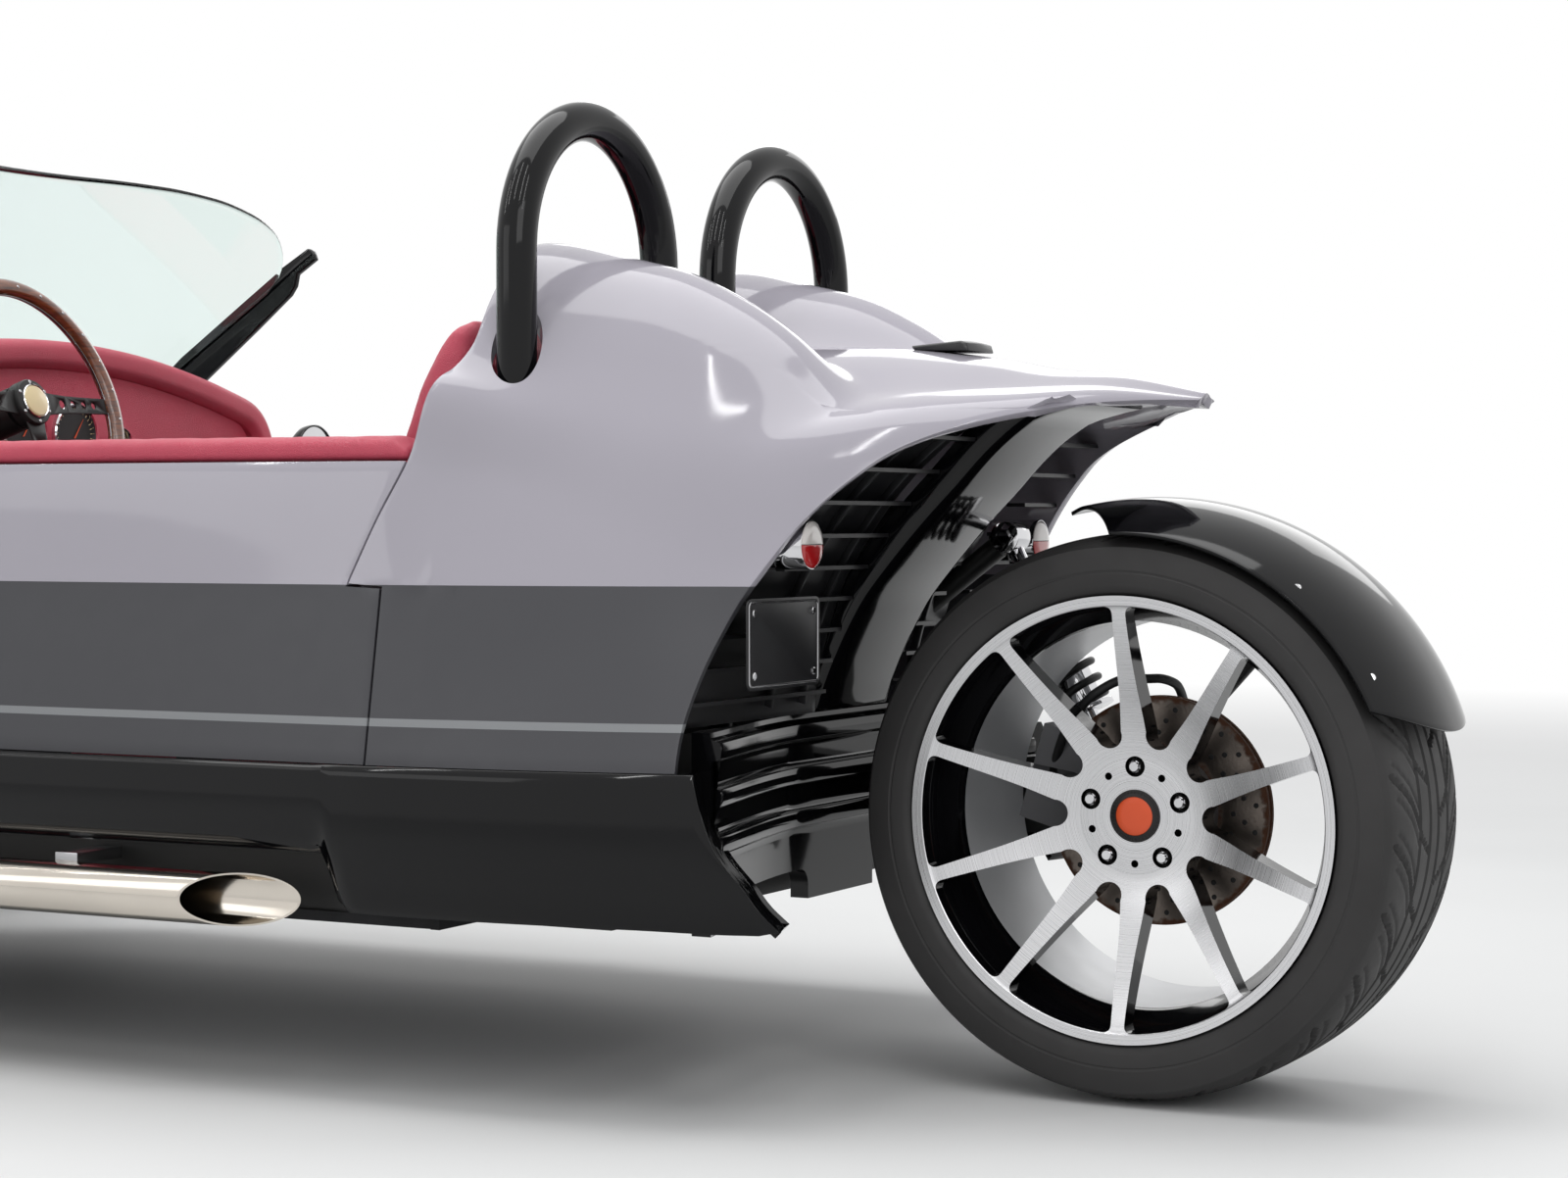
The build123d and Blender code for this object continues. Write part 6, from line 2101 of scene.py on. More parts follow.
    def lamps(self) -> list[Obj]:
        """Make the two-part tail lamps and the stop lamp on the deck.

        Returns:
            The pieces.
        """
        bezel, red, clear = Solid(), Solid(), Solid()
        for side in (1, -1):
            for half, start, lift in ((red, math.pi, -0.4), (clear, 0.0, 0.4)):
                rings = []
                for x, r in ((352.0, 26.5), (292.0, 26.5), (289.0, 25.6), (286.8, 22.0), (286.1, 14.0),
                             (286.0, 4.0)):
                    ring = []
                    for n in range(25):
                        a = start + math.pi * n / 24
                        ring.append(place(x, side * self.lamp_y + r * math.cos(a),
                                          self.lamp_z + lift + r * math.sin(a)))
                    rings.append(ring)
                half.loft(rings)
            ring = []
            for n in range(64):
                a = math.tau * n / 64
                ring.append([place(x, side * self.lamp_y + r * math.cos(a), self.lamp_z + r * math.sin(a))
                             for x, r in ((352.0, 26.6), (352.0, 28.0), (290.5, 28.0), (289.4, 27.6),
                                          (289.6, 26.6))])
            bezel.loft(ring, looped=True)
        bar = Solid()
        ends = ((-40.0, 6.0, -2.5), (-37.5, 1.5, -0.5), (0.0, 0.0, 0.5), (37.5, 1.5, -0.5), (40.0, 6.0, -2.5))
        bar.loft([[place(x, y, z) for x, z in ((228 + dx, 870 - dx * 0.02), (300, 872), (304, 878 + lift),
                                               (240, 882.5 + lift), (231 + dx, 880 + lift))]
                  for y, dx, lift in ends])
        return [dress(bezel.build("lamp_bezels"), Finishes.CHROME, "body", "steel", "tail_lamps"),
                dress(red.build("lamp_reds", bevel=0.0004), Finishes.LENS_RED, "body", "lamp_red"),
                dress(clear.build("lamp_clears", bevel=0.0004), Finishes.LENS_CLEAR, "body", "lamp_red"),
                dress(bar.build("stop_lamp", bevel=0.0012), Finishes.SATIN_BLACK, "body", "black_plastic")]

    def plate(self) -> list[Obj]:
        """Make the blank plate, its raised border and its screws.

        Returns:
            The pieces.
        """
        y, z, hy, hz, x = 320.0, 529.0, 89.0, 51.0, 334.0
        plate, border, stem = Solid(), Solid(), Solid()
        plate.prism([place(x, y + a, z + b) for a, b in rounded_box(-hy, -hz, hy, hz, 9)],
                    Vector((-0.0021, 0, 0)))
        loops = []
        outer = rounded_box(-hy + 3, -hz + 3, hy - 3, hz - 3, 7)
        inner = rounded_box(-hy + 6, -hz + 6, hy - 6, hz - 6, 5)
        for (a, b), (c, d) in zip(outer, inner):
            loops.append([place(x - 2.0, y + a, z + b),
                          place(x - 2.9, y + lerp(a, c, 0.3), z + lerp(b, d, 0.3)),
                          place(x - 2.9, y + lerp(a, c, 0.7), z + lerp(b, d, 0.7)),
                          place(x - 2.0, y + c, z + d)])
        border.loft(loops, looped=True)
        stem.prism([place(x + 0.1, y + a, z + b) for a, b in rounded_box(-24, -16, 24, 16, 4)],
                   Vector((0.03, 0, 0)))
        spots = [facing(place(x - 2.1, y + a, z + b), Vector((-1, 0, 0))) for a in (-73, 73)
                 for b in (-35, 35)]
        screws = repeat("plate_screws", Unit.HEAD, spots, Finishes.CHROME, Radius=0.0045, Height=0.0016,
                        Sides=20)
        return [dress(plate.build("blank_plate", bevel=0.0005), Finishes.SATIN_BLACK, "body", "black_plastic",
                      "plate_holder"),
                dress(border.build("plate_border"), Finishes.STEEL, "body", "steel"),
                dress(stem.build("plate_stem", bevel=0.001), Finishes.BLACK_METAL, "body", "black_metal"),
                dress(screws, Finishes.CHROME, "body", "steel")]

    def make(self) -> list[Obj]:
        """Make every piece of the rear.

        Returns:
            The pieces.
        """
        return [self.grille(), self.slats(), self.spine(), self.bumper(), *self.lamps(), *self.plate()]


def rounded_box(left: float, low: float, right: float, high: float, radius: float,
                steps: int = 6) -> list[Point2]:
    """Give the outline of a box with round corners.

    Args:
        left: Its lowest first coordinate.
        low: Its lowest second coordinate.
        right: Its highest first coordinate.
        high: Its highest second coordinate.
        radius: The corners' radius.
        steps: Steps in each corner.

    Returns:
        The outline, in order.
    """
    points = []
    for cx, cy, start in ((right - radius, high - radius, 0.0), (left + radius, high - radius, 90.0),
                          (left + radius, low + radius, 180.0), (right - radius, low + radius, 270.0)):
        for k in range(steps + 1):
            a = math.radians(start + 90.0 * k / steps)
            points.append((cx + radius * math.cos(a), cy + radius * math.sin(a)))
    return points


# Cockpit


@dataclass
class Pad:
    """One stuffed cushion, swollen by a short cloth run and then sewn."""

    node: str
    voxel: float = 0.007
    pressure: float = 4.0
    cap: float = 0.011
    frames: int = 20

    def swell(self, start: Obj) -> Obj:
        """Remesh the start shape, blow it up as cloth and hold it inside its cap.

        Args:
            start: A closed shape, slightly smaller than the cushion.

        Returns:
            The same object, swollen.
        """
        remesh = start.modifiers.new("remesh", "REMESH")
        remesh.mode = "VOXEL"
        remesh.voxel_size = self.voxel
        freeze(start)
        rest = [v.co.copy() for v in start.data.vertices]
        cloth = start.modifiers.new("cloth", "CLOTH")
        cloth.settings.quality = 5
        cloth.settings.use_pressure = True
        cloth.settings.uniform_pressure_force = self.pressure
        cloth.settings.effector_weights.gravity = 0.0
        cloth.settings.mass = 0.3
        cloth.settings.tension_stiffness = 15.0
        cloth.settings.compression_stiffness = 15.0
        scene = bpy.context.scene
        for step in range(1, self.frames + 1):
            scene.frame_set(step)
        freeze(start)
        scene.frame_set(1)
        for vertex, old in zip(start.data.vertices, rest):
            move = vertex.co - old
            if move.length > self.cap:
                vertex.co = old + move.normalized() * self.cap
        return start

    def sew(self, pad: Obj, grooves: Sequence[Callable[[Vector], float]]) -> Obj:
        """Press the seams in, smooth the pad once and keep it inside its node's box.

        Args:
            pad: The swollen pad.
            grooves: Each gives how far a point is pressed in, in metres.

        Returns:
            The finished piece.
        """
        bm = bmesh.new()
        bm.from_mesh(pad.data)
        for _ in range(4):
            bmesh.ops.smooth_vert(bm, verts=bm.verts, factor=0.5, use_axis_x=True, use_axis_y=True,
                                  use_axis_z=True)
        bm.normal_update()
        moves = [(v, v.normal * max(groove(v.co) for groove in grooves)) for v in bm.verts] if grooves else []
        for vertex, move in moves:
            vertex.co -= move
        low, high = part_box(self.node)
        for vertex in bm.verts:
            for axis in range(3):
                vertex.co[axis] = min(max(vertex.co[axis], low[axis] + 0.0002), high[axis] - 0.0002)
        for face in bm.faces:
            face.smooth = True
        bm.to_mesh(pad.data)
        bm.free()
        subdivide(pad)
        return pad


class Sewing:
    """Lays stitches along a line on a finished pad."""

    def __init__(self, pads: Sequence[Obj]) -> None:
        """Prepare the pads' surfaces.

        Args:
            pads: The pads that the stitches lie on.
        """
        graph = bpy.context.evaluated_depsgraph_get()
        self.trees = [BVHTree.FromObject(pad, graph) for pad in pads]
        self.spots: list[Matrix] = []

    def run(self, line: Sequence[Vector], look: Vector, pitch: float = 0.0055) -> None:
        """Drop a line onto the pads and set a stitch at every pitch.

        Args:
            line: Points above the pads, in metres.
            look: The way in which the line is dropped.
            pitch: The distance between stitches in metres.
        """
        hits: list[tuple[Vector, Vector]] = []
        walk = 0.0
        for a, b in zip(line, line[1:]):
            length = (b - a).length
            while walk < length:
                start = a.lerp(b, walk / length)
                found = [t.ray_cast(start, look) for t in self.trees]
                found = [hit[:2] for hit in found if hit[0] is not None]
                if found:
                    hits.append(min(found, key=lambda hit: (hit[0] - start).length))
                walk += pitch
            walk -= length
        for (p, n), (q, _) in zip(hits, hits[1:]):
            along = q - p
            if along.length > 3 * pitch or along.length < 1e-6:
                continue
            across = along.cross(n).normalized()
            up = across.cross(along).normalized()
            turn = Matrix((along.normalized(), across, up)).transposed().to_4x4()
            self.spots.append(Matrix.Translation(p + n * 0.0003) @ turn)

    def make(self, name: str) -> Obj:
        """Make all stitches laid so far.

        Args:
            name: The piece's name.

        Returns:
            The finished piece.
        """
        stitches = repeat(name, Unit.BAR, self.spots, Finishes.THREAD, Size=(0.0036, 0.0009, 0.0009))
        return dress(stitches, Finishes.THREAD, "body", "red_leather")


@dataclass
class Seats:
    """The two seats: cushions on the sills and backs against the bulkhead."""

    back_y: float = 225.0
    cushion_y: float = 250.0
    flutes: int = 4

    def channel(self, across: float, span: float) -> float:
        """Give how far the channels between the flutes are pressed in.

        Args:
            across: Place across the seat from its middle, in metres.
            span: The width of all flutes together.

        Returns:
            Depth in metres.
        """
        share = (across + span / 2) / span * self.flutes
        near = abs(share - round(share)) * span / self.flutes
        inside = 1.0 if -0.1 < share < self.flutes + 0.1 else 0.0
        return 0.009 * inside * math.exp(-(near / 0.008) ** 2)

    def cushion(self, side: int) -> Obj:
        """Make one seat cushion.

        Args:
            side: 1 for the left seat, -1 for the right one.

        Returns:
            The swollen and sewn cushion.
        """
        pad = Pad("seat_cushions")
        solid = Solid()
        inset = 7.0
        plan = rounded_box(836 + inset, side * self.cushion_y - 215 + inset, 1290 - inset,
                           side * self.cushion_y + 215 - inset, 38)
        solid.prism([place(x, y, 290 + 5) for x, y in plan], Vector((0, 0, (140 - 2 * inset) / 1000)))
        start = solid.build(f"seat_cushion_{side_name(side)}", bevel=0.022, segments=4)
        pad.swell(start)
        middle = self.cushion_y * side / 1000

        def flute(p: Vector) -> float:
            """Press a channel along the car between two flutes."""
            if p.z < 0.38:
                return 0.0
            return self.channel(p.y - middle, 0.28)

        def welt(p: Vector) -> float:
            """Press the seam that runs around the side."""
            return 0.004 * math.exp(-((p.z - 0.412) / 0.004) ** 2)

        piece = pad.sew(start, (flute, welt))
        dress(piece, Finishes.LEATHER, "body", "red_leather", "seat_cushions")
        return piece

    def back(self, side: int) -> Obj:
        """Make one seat back, its outer top corner drawn in.

        Args:
            side: 1 for the left seat, -1 for the right one.

        Returns:
            The swollen and sewn back.
        """
        pad = Pad("seat_backs", cap=0.010)
        outline = ((306, 712, 790), (360, 712, 805), (430, 712, 822), (520, 713, 820), (620, 714, 815),
                   (700, 715, 810), (772, 716, 804), (830, 716, 786), (875, 717, 764), (900, 719, 746),
                   (914, 723, 732))
        rings = []
        for z, back, front in outline:
            taper = read_curve(((600.0, 0.0), (760.0, 22.0), (900.0, 42.0), (914.0, 54.0)), z)
            trim = 9.0 + (20.0 if z > 912 else 6.0 if z > 900 else 0.0)
            inner, outer = -205 + trim, 205 - trim - taper
            ring = [place(x, side * (self.back_y + y), z) for x, y in
                    rounded_box(back, inner, front, outer, min(18.0, (front - back) / 2.1))]
            rings.append(ring)
        solid = Solid()
        solid.loft(rings)
        start = solid.build(f"seat_back_{side_name(side)}")
        pad.swell(start)
        middle = (self.back_y - 18) * side / 1000

        def flute(p: Vector) -> float:
            """Press an upright channel between two flutes of the front."""
            if p.z > 0.86 or p.x < place(755, 0, 0).x:
                return 0.0
            return self.channel(p.y - middle, 0.26) * min(1.0, (0.86 - p.z) / 0.02)

        def yoke(p: Vector) -> float:
            """Press the seam across the top of the flutes."""
            inside = min(1.0, max(0.0, (0.15 - abs(p.y - middle)) / 0.02))
            return 0.005 * inside * math.exp(-((p.z - 0.862) / 0.004) ** 2)

        piece = pad.sew(start, (flute, yoke))
        dress(piece, Finishes.LEATHER, "body", "red_leather", "seat_backs")
        return piece

    def make(self) -> list[Obj]:
        """Make both seats and their stitches.

        Returns:
            The pieces.
        """
        pads = [self.cushion(1), self.cushion(-1), self.back(1), self.back(-1)]
        sewing = Sewing(pads)
        for side in (1, -1):
            for k in range(self.flutes + 1):
                y = side * self.cushion_y - 140 + 280 * k / self.flutes
                for shift in (-5.0, 5.0):
                    sewing.run([place(870, y + shift, 500), place(1262, y + shift, 500)], Vector((0, 0, -1)))
            for z in (867.5, 857.5):
                y = side * self.back_y
                ends = sorted((y - side * 185, y + side * 140))
                sewing.run([place(900, ends[0], z), place(900, ends[1], z)], Vector((-1, 0, 0)))
        return [*pads, sewing.make("seat_stitches")]


@dataclass
class Trim:
    """The padded rails along the doors and the padded lip of the dash."""

    rail_low: float = 735.3
    rail_high: float = 764.6
    rail_width: float = 60.0
    rear: float = 729.0
    front: float = SKIN.cowl_x - 3.6
    dash_x: float = SKIN.cowl_x - 80.0

    def rail(self, side: int) -> Obj:
        """Make one padded rail.

        Args:
            side: 1 for the left rail, -1 for the right one.

        Returns:
            The finished piece.
        """
        low, high, wide = self.rail_low, self.rail_high, self.rail_width
        section = ((0.0, 0.0), (0.03, 0.3), (0.03, 0.62), (0.1, 0.83), (0.25, 0.95), (0.42, 1.0), (0.6, 1.0),
                   (0.76, 0.94), (0.84, 0.86), (0.86, 0.8), (0.88, 0.84), (0.95, 0.78), (1.0, 0.55),
                   (1.0, 0.2), (0.97, 0.0))
        rings = []
        count = 150
        for k in range(count + 1):
            x = lerp(self.rear, self.front, k / count)
            outer = SKIN.half_width(x, self.rail_low) - 3.0
            end = min(1.0, 0.55 + 0.45 * min(k, count - k) / 3)
            pucker = 0.5 * math.sin(x / 9.1) * math.sin(x / 23.0 + side)
            ring = []
            for across, up in section:
                z = low + (high - low) * up * (end if up > 0.5 else 1.0) + (pucker if up > 0.6 else 0.0)
                ring.append(place(x, side * (outer - wide * across), min(z, self.rail_high + 0.3)))
            rings.append(ring)
        solid = Solid()
        solid.loft(rings)
        rail = solid.build(f"rail_{side_name(side)}", sharp=75)
        subdivide(rail)
        dress(rail, Finishes.LEATHER, "body", "red_leather", "cockpit_rails")
        return rail

    def lip(self) -> Obj:
        """Make the padded lip that follows the cowl across the car.

        Returns:
            The finished piece.
        """
        section = ((0.0, 40.0), (2.0, 26.0), (1.0, 14.0), (4.0, 6.0), (12.0, 1.6), (26.0, 0.4), (52.0, 0.0),
                   (60.0, 1.4), (64.0, 0.2), (74.0, 1.6), (79.0, 7.0), (79.4, 20.0), (79.4, 62.0))
        rings = []
        for k in range(181):
            s = 1.0 - abs(1.0 - k / 90)
            s = lerp(0.36, 1.0, s)
            way = 1 if k <= 90 else -1
            ring = []
            for dx, down in section:
                x = self.dash_x + dx
                y, z = SKIN.at(x, s)
                y2, z2 = SKIN.at(x, min(s + 0.01, 1.0))
                ny, nz = (z2 - z), (y - y2)
                length = math.hypot(ny, nz)
                ny, nz = (0.0, 1.0) if length < 1e-6 else (ny / length, nz / length)
                deep = min(down, 62.0) + 1.0
                ring.append(place(x, way * (y - ny * deep), z - nz * deep))
            rings.append(ring)
        solid = Solid()
        solid.loft(rings)
        lip = solid.build("dash_lip", sharp=75)
        subdivide(lip)
        dress(lip, Finishes.LEATHER, "body", "red_leather", "dash")
        return lip

    def board(self) -> Obj:
        """Make the instrument board under the lip, with its hole for the column.

        Returns:
            The finished piece.
        """
        x = self.dash_x + 17.0
        edge = []
        for k in range(41):
            s = lerp(0.30, 1.0, k / 40)
            y, z = SKIN.at(x, s)
            edge.append((max(y - 40.0, 0.0) if s < 1.0 else 0.0,
                         z - read_curve(((0.3, 6.0), (0.45, 26.0), (1.0, 30.0)), s)))
        edge = [(y, z) for y, z in edge if z > 700]
        outline = [(y, z) for y, z in edge] + [(-y, z) for y, z in reversed(edge[:-1])]
        outline += [(-edge[0][0] + 6, 622), (edge[0][0] - 6, 622)]
        solid = Solid()
        solid.prism([place(x, y, z) for y, z in outline], Vector((0.016, 0, 0)))
        board = solid.build("dash_board", bevel=0.002)
        cutter = Solid()
        cutter.rod((x - 40, 258, 767), (x + 60, 258, 767), 42, 48)
        carve(board, cutter.build("column_hole"))
        return dress(board, Finishes.LEATHER, "body", "red_leather", "dash")

    def fittings(self) -> list[Obj]:
        """Make the gauges and switches of the board.

        Returns:
            The pieces.
        """
        x = self.dash_x + 17.0
        rims, faces, marks, needles = Solid(), Solid(), [], Solid()
        for y, z, r in ((60, 790, 46), (-48, 790, 46), (6, 715, 25), (-148, 780, 24), (150, 700, 24)):
            ring = []
            for n in range(56):
                a = math.tau * n / 56
                ring.append([place(x + dx, y + (r + dr) * math.cos(a), z + (r + dr) * math.sin(a))
                             for dx, dr in ((0.5, 0.0), (-6.0, 0.0), (-8.0, -2.0), (-7.0, -4.5),
                                            (0.5, -6.0))])
            rims.loft(ring, looped=True)
            faces.rod((x + 0.5, y, z), (x - 2.0, y, z), r - 4.0, 48)
            needles.prism([place(x - 2.6, y - 1.4, z - 5), place(x - 2.6, y + 1.4, z - 5),
                           place(x - 2.6, y + 0.4 - r * 0.42, z + r * 0.5)], Vector((-0.0008, 0, 0)))
            for n in range(25):
                a = math.radians(-40 + 260 * n / 24)
                spot = place(x - 2.3, y + (r - 9) * math.cos(a), z + (r - 9) * math.sin(a))
                marks.append(Matrix.Translation(spot) @ Matrix.Rotation(a, 4, "X"))
        ticks = repeat("gauge_ticks", Unit.BAR, marks, Finishes.CREAM, Size=(0.0006, 0.004, 0.0009))
        knobs = [facing(place(x + 1, y, 668), Vector((-1, 0, 0))) for y in (-96, -64, -32, 0, 32, 64, 96)]
        switches = repeat("dash_switches", Unit.HEAD, knobs, Finishes.BLACK_METAL, Radius=0.0075,
                          Height=0.018, Sides=24)
        return [dress(rims.build("gauge_rims"), Finishes.CHROME, "body", "steel"),
                dress(faces.build("gauge_faces"), Finishes.DULL_BLACK, "body", "black_plastic"),
                dress(needles.build("gauge_needles"), Finishes.ORANGE, "body", "black_plastic"),
                dress(ticks, Finishes.CREAM, "body", "black_plastic"),
                dress(switches, Finishes.BLACK_METAL, "body", "black_metal")]

    def make(self) -> list[Obj]:
        """Make the rails, the lip, the board and their stitches.

        Returns:
            The pieces.
        """
        pads = [self.rail(1), self.rail(-1), self.lip()]
        sewing = Sewing(pads)
        for side in (1, -1):
            for across in (0.80, 0.92):
                line = []
                for k in range(60):
                    x = lerp(self.rear + 5, self.front - 5, k / 59)
                    line.append(place(x, side * (SKIN.half_width(x, self.rail_low) - 3.0 - 60 * across), 800))
                sewing.run(line, Vector((0, 0, -1)))
        sewing.run([place(self.dash_x + 57, y, 1000) for y in range(-500, 501, 10)], Vector((0, 0, -1)))
        sewing.run([place(self.dash_x + 68, y, 1000) for y in range(-500, 501, 10)], Vector((0, 0, -1)))
        return [*pads, self.board(), *self.fittings(), sewing.make("trim_stitches")]


@dataclass
class SteeringWheel:
    """The wood-rimmed steering wheel with drilled black spokes."""

    y: float = 258.0
    hub_x: float = SKIN.cowl_x - 253.0
    hub_z: float = 822.0
    tilt: float = 18.0
    radius: float = 174.0
    rim: float = 12.0
    body: str = "wheel_of_steering"

    def at(self, u: float, v: float, w: float) -> Vector:
        """Turn a point of the wheel's own plane into the frame.

        Args:
            u: To the driver's left, in millimetres.
            v: Up along the wheel's plane.
            w: Out of the plane, towards the driver.

        Returns:
            The point in the frame.
        """
        t = math.radians(self.tilt)
        x = self.hub_x - w * math.cos(t) + v * math.sin(t)
        z = self.hub_z + v * math.cos(t) + w * math.sin(t)
        return place(x, self.y + u, z)

    def make(self) -> list[Obj]:
        """Make the rim, its rivets, the spokes, the hub and the blank button.

        Returns:
            The pieces.
        """
        middle = self.radius - self.rim
        out = (self.at(0, 0, 1) - self.at(0, 0, 0)).normalized()
        rim, core, spokes, hub = Solid(), Solid(), Solid(), Solid()
        loops, band = [], []
        for k in range(144):
            a = math.tau * k / 144
            grip = 1.1 * max(0.0, math.cos(18 * a)) if math.sin(a) < 0.25 else 0.0
            loop = []
            for b in (math.tau * n / 28 for n in range(28)):
                r = middle + (self.rim - 0.4) * math.cos(b) - (grip if math.cos(b) < -0.2 else 0)
                loop.append(self.at(r * math.cos(a), r * math.sin(a), (self.rim - 1.5) * math.sin(b)))
            loops.append(loop)
            band.append([self.at((middle + r) * math.cos(a), (middle + r) * math.sin(a), w)
                         for r, w in ((-12.0, -1.6), (-12.0, 1.6), (12.0, 1.6), (12.0, -1.6))])
        rim.loft(loops, looped=True)
        core.loft(band, looped=True)
        for angle in (0.0, 180.0, 270.0):
            a = math.radians(angle)
            ca, sa = math.cos(a), math.sin(a)
            rings = []
            for r in (24.0, 40.0, 70.0, 110.0, 150.0, 164.0):
                half = read_curve(((24.0, 17.0), (60.0, 12.5), (150.0, 11.0), (164.0, 15.0)), r)
                rings.append([self.at(ca * r - sa * h, sa * r + ca * h, w - 1.0) for h, w in
                              ((-half, -1.4), (half, -1.4), (half, 1.4), (-half, 1.4))])
            spokes.loft(rings)
        plates = spokes.build("steering_spokes", bevel=0.0006)
        cutter = Solid()
        for angle in (0.0, 180.0, 270.0):
            a = math.radians(angle)
            for r, size in ((62.0, 6.5), (84.0, 6.0), (105.0, 5.5), (125.0, 5.0)):
                x, z = r * math.cos(a), r * math.sin(a)
                cutter.tube([self.at(x, z, -8), self.at(x, z, 8)], size / 1000, 24)
        carve(plates, cutter.build("spoke_holes"))
        self.turned(hub, ((0.0, -12.5), (31.5, -12.5), (31.5, -3.0), (31.5, 4.0), (30.0, 6.5), (24.0, 7.5),
                          (23.0, 6.8), (0.0, 6.8)))
        button, ring = Solid(), Solid()
        self.turned(button, ((0.0, 6.9), (20.5, 6.9), (21.5, 8.5), (20.0, 11.0), (14.0, 12.2), (0.0, 12.7)))
        self.turned(ring, ((21.4, 6.9), (23.4, 6.9), (23.4, 9.6), (22.4, 10.4), (21.4, 9.6)))
        bolts = [facing(self.at(27.0 * math.cos(a), 27.0 * math.sin(a), 6.2), out, a)
                 for a in (math.tau * k / 6 + 0.5 for k in range(6))]
        screws = repeat("steering_bolts", Unit.HEAD, bolts, Finishes.STEEL, Radius=0.0026, Height=0.0022,
                        Sides=12)
        spots = [facing(self.at(middle * math.cos(a), middle * math.sin(a), s * (self.rim - 1.8)), out * s)
                 for a in (math.tau * (k + 0.5) / 24 for k in range(24)) for s in (1, -1)]
        rivets = repeat("rim_rivets", Unit.HEAD, spots, Finishes.STEEL, Radius=0.0021, Height=0.001, Sides=14)
        return [dress(rim.build("steering_rim"), Finishes.WOOD, self.body, "wood", "steering_wheel"),
                dress(core.build("steering_core", bevel=0.0004), Finishes.STEEL, self.body, "steel"),
                dress(plates, Finishes.BLACK_METAL, self.body, "black_metal"),
                dress(hub.build("steering_hub"), Finishes.BLACK_METAL, self.body, "black_metal"),
                dress(button.build("blank_button"), Finishes.CREAM, self.body, "black_plastic"),
                dress(ring.build("button_ring"), Finishes.CHROME, self.body, "steel"),
                dress(screws, Finishes.STEEL, self.body, "steel"),
                dress(rivets, Finishes.STEEL, self.body, "steel")]

    def turned(self, solid: Solid, profile: Sequence[Point2]) -> None:
        """Turn a profile about the wheel's own axis.

        Args:
            solid: Where the shape goes.
            profile: Pairs of radius and height, as a closed loop.
        """
        rings = []
        for k in range(64):
            a = math.tau * k / 64
            rings.append([self.at(max(r, 0.05) * math.cos(a), max(r, 0.05) * math.sin(a), w)
                          for r, w in profile])
        solid.loft(rings, looped=True)


# Glass, lamps and the front


